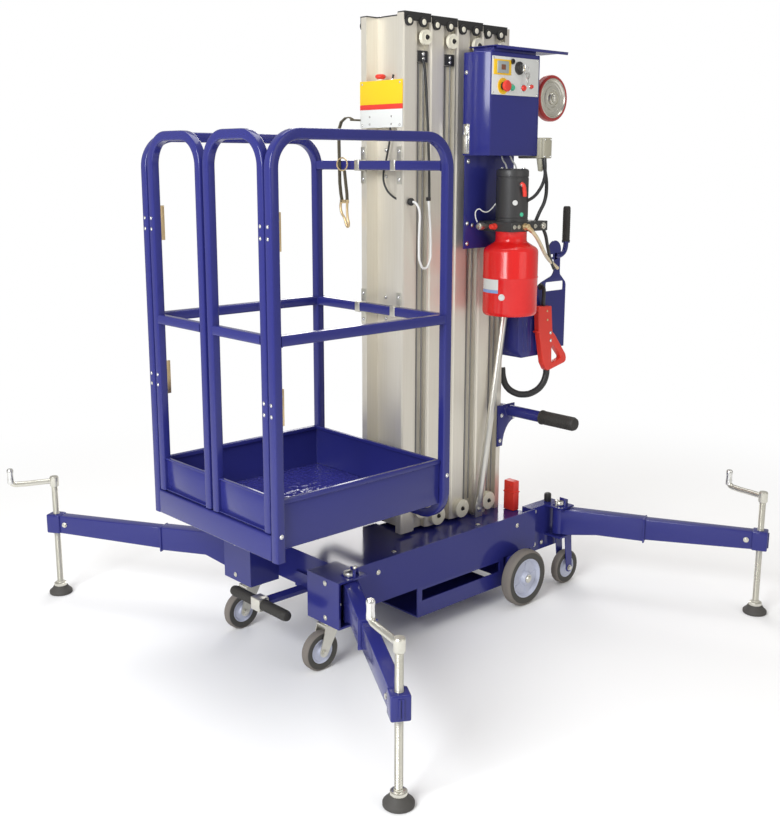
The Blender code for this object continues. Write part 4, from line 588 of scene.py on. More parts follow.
MOTOR_BLACK = Finish(
    "black_motor_paint", (0.022, 0.022, 0.024), (0.045, 0.044, 0.044), "black_paint", 0.42, coat=0.1, grain=Grain.PAINT,
    contrast=0.5, relief=0.00008
)
GRIP_BLACK = Finish(
    "black_grip_rubber", (0.014, 0.014, 0.014), (0.04, 0.036, 0.03), "black_plastic", 0.62, size=0.0022, contrast=0.5,
    relief=0.00012
)
CREAM = Finish(
    "cream_nylon", (0.8, 0.76, 0.6), (0.88, 0.85, 0.72), "pale_panel", 0.42, size=0.005, relief=0.00004,
    rough_spread=0.06
)
TREAD = Finish(
    "grey_tread_rubber", (0.215, 0.19, 0.165), (0.15, 0.135, 0.122), "grey_rubber", 0.82, size=0.003, contrast=0.6,
    relief=0.00022, rough_spread=0.08
)
SIDEWALL = Finish(
    "dark_sidewall_rubber", (0.04, 0.04, 0.036), (0.075, 0.07, 0.06), "grey_rubber", 0.68, size=0.003, contrast=0.6,
    relief=0.00018
)
HUB = Finish(
    "lavender_hub_plastic", (0.43, 0.46, 0.58), (0.52, 0.54, 0.64), "pale_panel", 0.36, coat=0.1, size=0.003,
    relief=0.00006, rough_spread=0.08
)
RED_TYRE = Finish("red_urethane", (0.5, 0.02, 0.016), (0.36, 0.016, 0.014), "red_rubber", 0.4, coat=0.1, relief=0.00008)
RED_PLASTIC = Finish(
    "red_connector_plastic", (0.72, 0.03, 0.018), (0.8, 0.05, 0.028), "red_paint", 0.38, coat=0.05, size=0.003,
    relief=0.00006, rough_spread=0.06
)
YELLOW = Finish(
    "yellow_panel_print", (0.88, 0.53, 0.006), (0.92, 0.58, 0.01), "yellow_panel", 0.42, coat=0.1, contrast=0.3,
    relief=0.00002, rough_spread=0.06
)
WHITE = Finish(
    "pale_panel_print", (0.66, 0.67, 0.65), (0.73, 0.74, 0.72), "pale_panel", 0.4, coat=0.1, size=0.006, contrast=0.3,
    relief=0.00002, rough_spread=0.06
)
GREEN = Finish(
    "green_button_plastic", (0.05, 0.48, 0.27), (0.08, 0.56, 0.34), "pale_panel", 0.35, coat=0.1, size=0.003,
    contrast=0.3, relief=0.00002, rough_spread=0.06
)
SCREEN = Finish(
    "grey_gauge_glass", (0.3, 0.34, 0.34), (0.38, 0.42, 0.42), "pale_panel", 0.18, coat=0.3, contrast=0.3,
    relief=0.00001, rough_spread=0.04
)
LCD = Finish(
    "brown_gauge_display", (0.16, 0.055, 0.03), (0.22, 0.08, 0.04), "black_plastic", 0.25, coat=0.2, size=0.002,
    contrast=0.3, relief=0.00001, rough_spread=0.04
)
CABLE = Finish(
    "black_cable_sheath", (0.016, 0.016, 0.017), (0.03, 0.03, 0.03), "black_plastic", 0.46, size=0.002, contrast=0.5,
    relief=0.00004, rough_spread=0.08
)
GREY_CABLE = Finish(
    "grey_cable_sheath", (0.48, 0.48, 0.47), (0.56, 0.56, 0.55), "pale_panel", 0.45, size=0.002, contrast=0.5,
    relief=0.00003, rough_spread=0.06
)
JUNCTION = Finish(
    "olive_grey_plastic", (0.36, 0.34, 0.26), (0.42, 0.4, 0.31), "pale_panel", 0.5, size=0.003, relief=0.00006,
    rough_spread=0.06
)
HOSE = Finish(
    "amber_hose", (0.62, 0.5, 0.28), (0.74, 0.64, 0.42), "pale_panel", 0.25, coat=0.4, grain=Grain.DRAWN, size=0.002,
    contrast=0.5, relief=0.00004, rough_spread=0.06
)
ROPE = Finish(
    "steel_rope", (0.2, 0.2, 0.2), (0.36, 0.36, 0.35), "zinc", 0.42, metallic=0.8, size=0.0012, contrast=0.8,
    relief=0.00025
)
WEBBING = Finish(
    "dark_webbing", (0.075, 0.066, 0.046), (0.14, 0.122, 0.085), "black_plastic", 0.85, size=0.0012, contrast=0.8,
    relief=0.0002, rough_spread=0.06
)
HAMMERED = Finish(
    "blue_hammered_floor", (0.03, 0.032, 0.215), (0.046, 0.046, 0.27), "blue_paint", 0.16, coat=0.5, grain=Grain.PAINT,
    size=0.006, contrast=0.5, relief=0.0004, rough_spread=0.04
)
BRUSHED = Finish(
    "mill_aluminium_tube", (0.62, 0.6, 0.54), (0.74, 0.73, 0.68), "aluminium", 0.34, metallic=0.85, grain=Grain.PLATED,
    size=0.012, relief=0.00002, rough_spread=0.08
)
RED_STRIPE = Finish(
    "red_panel_print", (0.7, 0.03, 0.02), (0.76, 0.045, 0.03), "red_paint", 0.42, coat=0.1, contrast=0.3,
    relief=0.00002, rough_spread=0.06
)
WHITE_CABLE = Finish(
    "white_cable_sheath", (0.78, 0.78, 0.76), (0.85, 0.85, 0.83), "pale_panel", 0.42, coat=0.1, size=0.002,
    relief=0.00003, rough_spread=0.06
)
FOOT_RUBBER = Finish(
    "dark_foot_rubber", (0.045, 0.043, 0.04), (0.085, 0.08, 0.072), "black_plastic", 0.7, size=0.003, contrast=0.5,
    relief=0.00012, rough_spread=0.08
)
LABEL_BLUE = Finish(
    "pale_blue_print", (0.2, 0.34, 0.66), (0.26, 0.4, 0.7), "pale_panel", 0.4, coat=0.1, contrast=0.3, relief=0.00002,
    rough_spread=0.06
)


@dataclass
class Studio:
    """Floor, lamps and the camera of the photograph.

    The camera is the one that fits the photograph: where it stands, where it
    looks, and where its axis meets the picture.
    """

    place: Point = (2.60436, -2.45733, 1.52704)
    azimuth: float = 47.279
    pitch_down: float = 11.74
    roll: float = 0.134
    focal_pixels: float = 1076.39
    width: float = 780.0
    height: float = 818.0
    axis_pixel: tuple[float, float] = (390.22, 385.82)
    sensor: float = 36.0
    floor_radius: float = 9.0
    fade_start: float = 1.25
    fade_end: float = 3.2
    world_strength: float = 0.48

    def build(self) -> None:
        """Make the floor, the world, the lamps and the camera."""
        self._floor()
        self._world()
        self._lamps()
        self._camera()

    def _camera(self) -> None:
        """Stand the camera where the photographer stood."""
        data = bpy.data.cameras.new("camera")
        camera = bpy.data.objects.new("camera", data)
        bpy.context.collection.objects.link(camera)
        azimuth = math.radians(self.azimuth)
        pitch = math.radians(self.pitch_down)
        forward = Vector((-math.sin(azimuth) * math.cos(pitch), math.cos(azimuth) * math.cos(pitch), -math.sin(pitch)))
        turn = forward.to_track_quat("-Z", "Y").to_matrix().to_4x4()
        camera.matrix_world = (Matrix.Translation(self.place) @ turn @ Matrix.Rotation(math.radians(self.roll), 4, "Z"))
        data.sensor_width = self.sensor
        data.lens = self.focal_pixels * self.sensor / self.height
        data.shift_x = -(self.axis_pixel[0] - self.width / 2) / self.height
        data.shift_y = (self.axis_pixel[1] - self.height / 2) / self.height
        data.clip_start = 0.05
        bpy.context.scene.camera = camera

    def _floor(self) -> None:
        """A pale disc under the lift that fades into the white behind it."""
        Bench.clear()
        bpy.ops.mesh.primitive_circle_add(vertices=96, radius=self.floor_radius, fill_type="NGON")
        floor = bpy.context.object
        floor.name = "floor"
        material = bpy.data.materials.new("pale_floor")
        material.use_nodes = True
        tree = material.node_tree
        shader = tree.nodes["Principled BSDF"]
        wire(tree, shader, {"Base Color": (0.93, 0.93, 0.93, 1.0), "Roughness": 0.9, "Specular IOR Level": 0.0})
        white = add_node(tree, "Emission").outputs[0]
        place = add_node(tree, "TexCoord").outputs["Object"]
        reach = add_node(tree, "VectorMath", {0: place}, operation="LENGTH").outputs["Value"]
        fade = add_node(
            tree, "MapRange", {"From Min": self.fade_start, "From Max": self.fade_end, "Value": reach},
            interpolation_type="SMOOTHSTEP"
        ).outputs["Result"]
        camera = add_node(tree, "LightPath").outputs["Is Camera Ray"]
        seen = add_node(tree, "Math", {0: camera, 1: fade}, operation="MULTIPLY").outputs[0]
        mix = add_node(tree, "MixShader", {"Fac": seen, 1: shader.outputs[0], 2: white})
        wire(tree, tree.nodes["Material Output"], {"Surface": mix.outputs[0]})
        floor.data.materials.append(material)

    def _world(self) -> None:
        """Even pale light, and white where the camera or a ray through glass looks past the lift."""
        world = bpy.data.worlds.new("studio")
        bpy.context.scene.world = world
        world.use_nodes = True
        tree = world.node_tree
        light = tree.nodes["Background"]
        wire(tree, light, {"Color": (1.0, 0.98, 0.95, 1.0), "Strength": self.world_strength})
        white = add_node(tree, "Background", {"Color": (1.0, 1.0, 1.0, 1.0), "Strength": 1.0})
        path = add_node(tree, "LightPath").outputs
        total = add_node(
            tree, "Math", {0: path["Is Camera Ray"], 1: path["Is Transmission Ray"]}, operation="ADD", use_clamp=True
        )
        mix = add_node(tree, "MixShader", {"Fac": total.outputs[0], 1: light.outputs[0], 2: white.outputs[0]})
        wire(tree, tree.nodes["World Output"], {"Surface": mix.outputs[0]})

    def _lamps(self) -> None:
        """The four area lamps, from rows of name, place, aim, width, watts and colour."""
        table = (
            ("key_lamp", (1.3, -4.4, 2.8), (0.0, -0.2, 0.9), 2.2, 200.0, (0.96, 0.98, 1.0)),
            ("fill_lamp", (4.4, 0.6, 2.4), (0.0, 0.0, 0.9), 2.4, 24.0, (1.0, 0.98, 0.94)),
            ("top_lamp", (-0.6, 0.4, 4.6), (0.0, 0.0, 0.6), 2.6, 70.0, (1.0, 1.0, 1.0)),
            ("back_lamp", (-3.6, 3.4, 2.6), (0.0, 0.0, 0.9), 2.0, 60.0, (1.0, 0.98, 0.96))
        )
        for name, place, aim, width, watts, colour in table:
            data = bpy.data.lights.new(name, "AREA")
            data.energy = watts
            data.size = width
            data.color = colour
            lamp = bpy.data.objects.new(name, data)
            lamp.matrix_world = Matrix.Translation(place) @ (
                (Vector(aim) - Vector(place)).to_track_quat("-Z", "Y").to_matrix().to_4x4()
            )
            bpy.context.collection.objects.link(lamp)


class Fitting(Enum):
    """A kind of small fastener."""

    HEX = "hex"
    DOME = "dome"
    SOCKET = "socket"


class Fasteners:
    """Screws, nuts and bolt heads, modelled once for each kind and copied."""

    @staticmethod
    def template(kind: Fitting, size: float) -> Item:
        """A fastener of thread diameter size, standing on z = 0 and pointing up."""
        washer = Bench.turned(
            "washer",
            [(0, 0), (size * 1.05, 0), (size * 1.15, size * 0.06), (size * 1.15, size * 0.16), (0, size * 0.2)], Axis.Z,
            (0, 0, 0), 20
        )
        if kind is Fitting.HEX:
            head = Bench.bar("head", (0, 0, size * 0.15), (0, 0, size * 0.8), size * 0.92, 6, size * 0.08)
        elif kind is Fitting.DOME:
            head = Bench.turned(
                "head",
                [
                    (size * 0.9 * math.cos(a), size * (0.15 + 0.5 * math.sin(a))) for a in (0.0, 0.35, 0.7, 1.05, 1.4)
                ] + [(0.0, size * 0.65)],
                Axis.Z, (0, 0, 0), 16
            )
        else:
            head = Bench.turned(
                "head",
                [
                    (size * 0.75, size * 0.15), (size * 0.75, size * 0.85), (size * 0.66, size * 0.95),
                    (size * 0.4, size * 0.95), (size * 0.4, size * 0.5), (0, size * 0.45)
                ],
                Axis.Z, (0, 0, 0), 16
            )
        return Bench.join("fastener", [washer, head])

    @classmethod
    def set(
        cls, name: str, body: str, kind: Fitting, size: float, seats: Sequence[tuple[Point, Point]],
        finish: Finish = BRIGHT
    ) -> Item:
        """Fasteners on one body at (place, direction) seats, joined to one piece."""
        piece = Bench.copies(
            name, cls.template(kind, size), [aimed(place, out, 0.4 * i) for i, (place, out) in enumerate(seats)]
        )
        Bench.smooth(piece, 40.0)
        finish.fit(piece, body)
        return piece


@dataclass
class Wheel:
    """A wheel with a rubber or urethane tyre on a moulded or cast hub."""

    node: str
    body: str
    tyre_share: float
    tread: Finish
    wall: Finish
    hub: Finish
    bore: float
    pockets: int = 6
    web: float = 0.42
    ridge: bool = False

    def build(self) -> None:
        """Make tread, sidewalls and hub in the place of the frame's wheel."""
        low, high = (Vector(corner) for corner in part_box(self.node))
        centre = (low + high) / 2
        radius = (high.z - low.z) / 2
        half = (high.x - low.x) / 2
        seat = radius * self.tyre_share
        self._tyre(centre, radius, half, seat)
        self._hub(centre, radius, half, seat)

    def _tyre(self, centre: Vector, radius: float, half: float, seat: float) -> None:
        """The tread band and the two dark sidewalls."""
        face = half * 0.9
        shoulder = radius * 0.1
        rise = radius - seat
        side_profile = [
            (seat, face * 0.84), (seat + rise * 0.15, face * 0.97), (radius - shoulder * 1.15, face),
            (radius - shoulder * 0.75, face - shoulder * 0.1), (radius - shoulder * 0.8, face - shoulder * 0.55),
            (seat, face - shoulder * 0.6)
        ]
        walls = []
        for name, sign in SIDES:
            profile = [(r, along * sign) for r, along in side_profile]
            walls.append(Bench.turned(f"{self.node}_wall_{name}", profile + profile[:1], Axis.X, centre, 56))
        wall = Bench.join(f"{self.node}_sidewalls", walls)
        self.wall.fit(wall, self.body, self.node)
        tread_half = [
            (seat, face * 0.7), (radius - shoulder * 0.85, face - shoulder * 0.05),
            (radius - shoulder * 0.35, face - shoulder * 0.3), (radius - shoulder * 0.08, face - shoulder * 0.75),
            (radius, face - shoulder * 1.25)
        ]
        outline = tread_half + [(r, -along) for r, along in reversed(tread_half)]
        tread = Bench.turned(f"{self.node}_tread", outline + outline[:1], Axis.X, centre, 64)
        self.tread.fit(tread, self.body, self.node)

    def _hub(self, centre: Vector, radius: float, half: float, seat: float) -> None:
        """The hub: boss, dished web with shallow pockets, and rim."""
        web = half * self.web
        boss = self.bore + radius * 0.1
        half_profile = [
            (self.bore, half), (boss - 0.0015, half), (boss, half - 0.0015), (boss + radius * 0.045, web + 0.001),
            (boss + radius * 0.075, web), *self._ridge(boss, web, half, seat), (seat - radius * 0.12, web),
            (seat - radius * 0.075, web + half * 0.16), (seat - radius * 0.045, half * 0.8),
            (seat - 0.001, half * 0.82), (seat, half * 0.78)
        ]
        outline = half_profile + [(r, -along) for r, along in reversed(half_profile)]
        hub = Bench.turned(f"{self.node}_hub", outline + outline[:1], Axis.X, centre, 48)
        if self.pockets:
            self._sink_pockets(hub, centre, web, (boss + radius * 0.075, seat - radius * 0.12))
        Bench.smooth(hub, 32.0)
        self.hub.fit(hub, self.body, self.node)

    def _ridge(self, boss: float, web: float, half: float, seat: float) -> list[tuple[float, float]]:
        """Profile points of the turned steps between a cast hub's boss and its rim."""
        if not self.ridge:
            return []
        span = seat - boss
        shares = (
            (0.24, 0.0), (0.28, 0.22), (0.42, 0.22), (0.46, 0.02), (0.62, 0.02), (0.65, 0.12), (0.72, 0.12), (0.75, 0.0)
        )
        return [(boss + span * share, web + half * rise) for share, rise in shares]

    def _sink_pockets(self, hub: Item, centre: Vector, web: float, ring: tuple[float, float]) -> None:
        """Sink shallow pockets into the web between two radii."""
        share = math.tau / self.pockets

        def in_pocket(polygon: bpy.types.MeshPolygon) -> bool:
            """Whether a face lies on the web and inside a pocket's share of the turn."""
            away = Vector(polygon.center) - centre
            reach = math.hypot(away.y, away.z)
            angle = math.atan2(away.z, away.y) % share
            on_web = abs(abs(away.x) - web) < 0.0006 and ring[0] < reach < ring[1]
            return on_web and abs(angle - share / 2) < share * 0.3

        Bench.sink(hub, in_pocket, 0.0012, 0.0022)


@dataclass
class Wheels:
    """All wheels and their axle ends."""

    def build(self) -> None:
        """Make the wheels, from rows of node stem, tyre share, tread, wall, hub, bore, pockets and web."""
        table = (
            ("rear_wheel", 0.7, TREAD, SIDEWALL, HUB, 0.0105, 5, 0.42),
            ("rear_small_wheel", 0.62, TREAD, SIDEWALL, HUB, 0.007, 0, 0.55),
            ("caster_wheel", 0.62, TREAD, SIDEWALL, HUB, 0.007, 0, 0.55),
            ("load_wheel", 0.86, RED_TYRE, RED_TYRE, ZINC, 0.0105, 0, 0.35)
        )
        for stem, share, tread, wall, hub, bore, pockets, web in table:
            for side, _ in SIDES:
                node = f"{stem}_{side}"
                Wheel(node, node, share, tread, wall, hub, bore, pockets, web, stem == "load_wheel").build()
        self._axle_ends()

    @staticmethod
    def _axle_ends() -> None:
        """Washers and nuts on the wheels' axles, which don't turn."""
        big = []
        small = []
        for side, sign in SIDES:
            for stem, out in (("rear_wheel", 0.0228), ("load_wheel", 0.0172)):
                centre = middle_of(f"{stem}_{side}")
                big.append(((centre.x + sign * out, centre.y, centre.z), (sign, 0, 0)))
            centre = middle_of(f"rear_small_wheel_{side}")
            for out in (1, -1):
                small.append(((centre.x + out * 0.0236, centre.y, centre.z), (out, 0, 0)))
        Fasteners.set("axle_nuts", "base", Fitting.DOME, 0.0125, big, ZINC)
        Fasteners.set("small_axle_nuts", "base", Fitting.HEX, 0.009, small, ZINC)


class Harness:
    """Flexible lines, each laid along a soft route."""

    @staticmethod
    def lay(
        name: str, route: Sequence[Point], radius: float, finish: Finish, body: str, stiffness: str = "medium",
        stands_for: str | None = None
    ) -> Item:
        """Lay one line that leaves the lift at its first point and goes back in at its last.

        Args:
            name: Name of the piece.
            route: Points that the line runs through.
            radius: Half its thickness.
            finish: Its sheath.
            body: The body that carries it.
            stiffness: limp, medium or stiff; not used.
            stands_for: A node that it replaces.

        Returns:
            The line, a curve.
        """
        lead = Bench.curve(name, route, radius, 4)
        finish.fit(lead, body)
        if stands_for is not None:
            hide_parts(stands_for)
        return lead


@dataclass
class Platform:
    """Guard rail loops, mid rails, rear bars on their clips, tray and sill."""

    tube: float = 0.03
    corner: float = 0.006
    rail_x: float = 0.3105
    front_y: float = -0.76
    rear_y: float = -0.1085
    top_z: float = 1.6
    mid_z: float = 1.0565
    bar_z: float = 1.517
    low_z: float = 0.4345
    bottom_z: float = 0.417
    bend: float = 0.09
    tray_x: float = 0.308
    tray_low: float = 0.465
    tray_top: float = 0.611
    floor_cells: int = 130
    flange_x: float = 0.0855
    mast_y: float = -0.0934

    def build(self) -> None:
        """Make the loops, the bars, the clips and the tray."""
        for side, sign in SIDES:
            self._loop(side, sign)
        self._bars()
        self._clips()
        self._tray()
        self._sill()

    def _loop(self, side: str, sign: int) -> None:
        """One bent side loop and its mid rail."""
        x = sign * self.rail_x
        corners = [
            (x, self.front_y, self.low_z), (x, self.front_y, self.top_z), (x, self.rear_y, self.top_z),
            (x, self.rear_y, self.bottom_z), (0.0, self.rear_y, self.bottom_z)
        ]
        loop = Bench.bent_tube(f"cage_loop_{side}", corners, self.bend, self.tube, self.corner, (1, 0, 0), 14)
        BLUE.fit(loop, "platform", f"cage_side_{side}")
        half = self.tube / 2
        rail = Bench.bent_tube(
            f"guard_mid_rail_{side}",
            [(x, self.front_y + half + 0.0003, self.mid_z), (x, self.rear_y - half - 0.0003, self.mid_z)], self.bend,
            self.tube, self.corner, (1, 0, 0)
        )
        welds = [self._weld((x, self.front_y + half, self.mid_z)), self._weld((x, self.rear_y - half, self.mid_z))]
        rail = Bench.join(f"guard_mid_rail_{side}", [rail, *welds])
        BLUE.fit(rail, "platform", f"mid_rail_{side}")

    def _weld(self, place: Point, along: Axis = Axis.Y) -> Item:
        """A painted weld bead round a tube's end, seen from the tube's side."""
        half = self.tube / 2
        x, y, z = place
        ring = 0.0014
        if along is Axis.Y:
            corners = [
                (x - half, y, z - half), (x + half, y, z - half), (x + half, y, z + half), (x - half, y, z + half)
            ]
        else:
            corners = [
                (x, y - half, z - half), (x, y + half, z - half), (x, y + half, z + half), (x, y - half, z + half)
            ]
        return Bench.line("weld", corners + corners[:1], ring, 1, soft=False)

    def _bars(self) -> None:
        """The two straight bars behind the platform."""
        reach = self.rail_x - self.tube / 2 - 0.0003
        for name, z in (("rear_bar_upper", self.bar_z), ("rear_bar_mid", self.mid_z)):
            bar = Bench.bent_tube(
                f"guard_{name}", [(-reach, self.rear_y, z), (reach, self.rear_y, z)], self.bend, self.tube, self.corner,
                (0, 1, 0)
            )
            welds = [self._weld((sign * reach, self.rear_y, z), Axis.X) for _, sign in SIDES]
            bar = Bench.join(f"guard_{name}", [bar, *welds])
            BLUE.fit(bar, "platform", name)

    def _clips(self) -> None:
        """Zinc straps that hold the rear bars to the mast's front flanges, with their screws."""
        straps = []
        seats = []
        reach = self.tube / 2 + 0.0025
        half = 0.0115
        for z in (self.bar_z, self.mid_z):
            for _, sign in SIDES:
                x = sign * self.flange_x
                strap = Bench.block(
                    "strap", (x - half, self.rear_y - reach, z - reach), (x + half, self.mast_y, z + reach), 0.003, 3
                )
                tab = Bench.block(
                    "tab", (x - half, self.mast_y - 0.0022, z - 0.058), (x + half, self.mast_y, z + 0.058), 0.0008
                )
                straps += [strap, tab]
                for lift in (0.044, -0.044):
                    seats.append(((x, self.mast_y - 0.0022, z + lift), (0, -1, 0)))
        piece = Bench.join("rear_bar_clips", straps)
        Bench.smooth(piece, 40.0)
        ZINC.fit(piece, "platform", "rear_bar_upper", "rear_bar_mid")
        Fasteners.set("rear_bar_screws", "platform", Fitting.DOME, 0.0058, seats)

    def _tray(self) -> None:
        """The deep tray of folded sheet, with its lip turned in, and its hammered floor."""
        wide = self.tray_x
        front = self.front_y + self.tube / 2 + 0.0003
        rear = self.rear_y - self.tube / 2 - 0.0003
        wall = 0.003
        lip = 0.012
        tray = Bench.block("deep_tray", (-wide, front, self.tray_low), (wide, rear, self.tray_top), 0.004, 3)
        hollow = Bench.block(
            "hollow", (-wide + wall, front + wall, self.tray_low + wall + 0.002),
            (wide - wall, rear - wall, self.tray_top - 0.0035), 0.003, 3
        )
        mouth = Bench.block(
            "mouth", (-wide + lip, front + lip, self.tray_low + 0.05), (wide - lip, rear - lip, self.tray_top + 0.01)
        )
        gateway = Bench.block(
            "gateway", (-wide + lip, front - 0.01, 0.5102), (wide - lip, front + 0.03, self.tray_top + 0.01)
        )
        Bench.cut(tray, hollow, mouth, gateway)
        Bench.bevel(tray, 0.0008, 2, 50.0)
        BLUE.fit(tray, "platform", "platform_tray")
        rims = [
            Bench.block(
                "rim", (low_x, front + 0.0004, 0.596), (high_x, rear - 0.0004, self.tray_top + 0.0008), 0.0046, 3
            )
            for low_x, high_x in ((-wide - 0.0052, -wide + lip), (wide - lip, wide + 0.0052))
        ]
        rims.append(
            Bench.block(
                "rim", (-wide + 0.004, rear - lip, 0.598), (wide - 0.004, rear - 0.0002, self.tray_top + 0.0006),
                0.0034, 3
            )
        )
        rim = Bench.join("tray_rim", rims)
        BLUE.fit(rim, "platform")
        self._floor((-wide + wall + 0.001, front + wall + 0.001), (wide - wall - 0.001, rear - wall - 0.001))

    def _floor(self, low: tuple[float, float], high: tuple[float, float]) -> None:
        """The hammered floor plate, its dimples in the mesh itself."""
        Bench.clear()
        middle = ((low[0] + high[0]) / 2, (low[1] + high[1]) / 2, self.tray_low + 0.0085)
        bpy.ops.mesh.primitive_grid_add(
            x_subdivisions=self.floor_cells, y_subdivisions=self.floor_cells, size=1.0, location=middle
        )
        floor = bpy.context.object
        floor.name = "tray_floor"
        floor.scale = (high[0] - low[0], high[1] - low[1], 1.0)
        Bench.settle(floor)
        dimples = bpy.data.textures.new("hammer_dimples", "CLOUDS")
        dimples.noise_scale = 0.012
        dimples.noise_depth = 0
        press = floor.modifiers.new("hammer", "DISPLACE")
        press.texture = dimples
        press.strength = 0.0042
        press.mid_level = 0.5
        press.texture_coords = "LOCAL"
        bpy.ops.object.modifier_apply(modifier=press.name)
        wall = floor.modifiers.new("plate", "SOLIDIFY")
        wall.thickness = 0.0015
        bpy.ops.object.modifier_apply(modifier=wall.name)
        bpy.ops.object.shade_smooth()
        HAMMERED.fit(floor, "platform")

    def _sill(self) -> None:
        """The sill under the gates, with its corner screws."""
        half = self.rail_x - self.tube / 2 - 0.0003
        sill = Bench.block(
            "gate_sill", (-half, self.front_y - self.tube / 2, self.low_z), (half, self.front_y + self.tube / 2, 0.51),
            0.004, 3
        )
        BLUE.fit(sill, "platform", "platform_sill")
        outer = self.rail_x + self.tube / 2
        seats = []
        for _, sign in SIDES:
            seats.append(((sign * outer, self.front_y, 0.512), (sign, 0, 0)))
            seats.append(((sign * outer, self.rear_y, 0.56), (sign, 0, 0)))
        Fasteners.set("cage_foot_screws", "platform", Fitting.DOME, 0.0058, seats)


@dataclass
class Gates:
    """The two gates with their kick plates, and the brass hinges they swing on."""

    tube: float = 0.028
    corner: float = 0.006
    outer_x: float = 0.276
    inner_x: float = 0.02
    y: float = -0.76
    low_z: float = 0.515
    top_z: float = 1.6
    mid_z: float = 1.0565
    panel_top: float = 0.618
    bend: float = 0.085
    post_x: float = 0.3105
    axis_x: float = 0.2928
    axis_y: float = -0.7415
    hinge_z: tuple[float, float] = (1.345, 0.868)
    hinge_half: float = 0.052
    flag_y: float = -0.719

    def build(self) -> None:
        """Make both gates, their hinges and the screws through them."""
        for side, sign in SIDES:
            self._gate(side, sign)
            self._hinges(side, sign)
            self._screws(side, sign)

    def _gate(self, side: str, sign: int) -> None:
        """One bent frame with a rail across and a kick plate."""
        outer = sign * self.outer_x
        inner = sign * self.inner_x
        corners = [
            (outer, self.y, self.low_z), (outer, self.y, self.top_z), (inner, self.y, self.top_z),
            (inner, self.y, self.low_z)
        ]
        frame = Bench.bent_tube(f"gate_loop_{side}", corners, self.bend, self.tube, self.corner, (0, 1, 0), 14)
        half = self.tube / 2
        first, last = sorted((outer - sign * half, inner + sign * half))
        rail = Bench.bent_tube(
            "rail", [(first, self.y, self.mid_z), (last, self.y, self.mid_z)], self.bend, self.tube, self.corner,
            (0, 1, 0)
        )
        plate = Bench.block(
            "kick", (first, self.y - 0.002, self.low_z + 0.002), (last, self.y + 0.002, self.panel_top), 0.0012
        )
        foot = Bench.block(
            "foot_flange", (first, self.y - 0.01, self.low_z + 0.001), (last, self.y + 0.01, self.low_z + 0.004), 0.001
        )
        lip = Bench.block(
            "kick_lip", (first, self.y - 0.0065, self.panel_top - 0.005),
            (last, self.y + 0.0065, self.panel_top + 0.0005), 0.0018, 3
        )
        gate = Bench.join(f"gate_loop_{side}", [frame, rail, plate, foot, lip])
        BLUE.fit(gate, f"gate_{side}", f"gate_{side}")

    def _hinges(self, side: str, sign: int) -> None:
        """Leaves and rolled knuckles, two on the gate and three on the post at each hinge."""
        face_y = self.y + self.tube / 2
        leaf = 0.0021
        for body, leaf_x, face, turns in (
            (f"gate_{side}", self.outer_x, face_y, (1, 3)), ("platform", self.post_x, self.y + 0.015, (0, 2, 4))
        ):
            parts = []
            for z in self.hinge_z:
                low_x, high_x = sorted(
                    (sign * (self.axis_x - math.copysign(0.0012, self.axis_x - leaf_x)), sign * leaf_x)
                )
                parts.append(
                    Bench.block(
                        "leaf", (low_x, face + 0.0002, z - self.hinge_half), (high_x, face + leaf, z + self.hinge_half),
                        0.0006
                    )
                )
                near = self.axis_x + math.copysign(0.0003, leaf_x - self.axis_x)
                away = near + math.copysign(0.0018, leaf_x - self.axis_x)
                low_x, high_x = sorted((sign * near, sign * away))
                parts.append(
                    Bench.block(
                        "flag", (low_x, self.axis_y + 0.0036, z - self.hinge_half),
                        (high_x, self.flag_y, z + self.hinge_half), 0.0006
                    )
                )
                share = 2 * self.hinge_half / 5
                for k in turns:
                    foot = z - self.hinge_half + share * k
                    parts.append(
                        Bench.bar(
                            "knuckle", (sign * self.axis_x, self.axis_y, foot + 0.0002),
                            (sign * self.axis_x, self.axis_y, foot + share - 0.0002), 0.0042, 20, 0.0005
                        )
                    )
            hinge = Bench.join(f"hinge_leaves_{side}_{'gate' if body.startswith('gate') else 'post'}", parts)
            BRASS.fit(hinge, body, f"gate_{side}" if body.startswith("gate") else f"cage_side_{side}")

    def _screws(self, side: str, sign: int) -> None:
        """The pale screw heads on the fronts of gate and post at each hinge."""
        for body, x, y in (
            (f"gate_{side}", self.outer_x, self.y - self.tube / 2), ("platform", self.post_x, self.y - 0.015)
        ):
            seats = [((sign * x, y, z + step), (0, -1, 0)) for z in self.hinge_z for step in (0.016, -0.016)]
            word = "gate" if body.startswith("gate") else "post"
            Fasteners.set(f"hinge_screws_{side}_{word}", body, Fitting.DOME, 0.0046, seats)
        flag = [
            ((sign * (self.axis_x + 0.0021), -0.727, z + step), (sign, 0, 0)) for z in self.hinge_z
            for step in (0.032, 0.0, -0.032)
        ]
        Fasteners.set(f"hinge_flag_screws_{side}", "platform", Fitting.DOME, 0.003, flag)


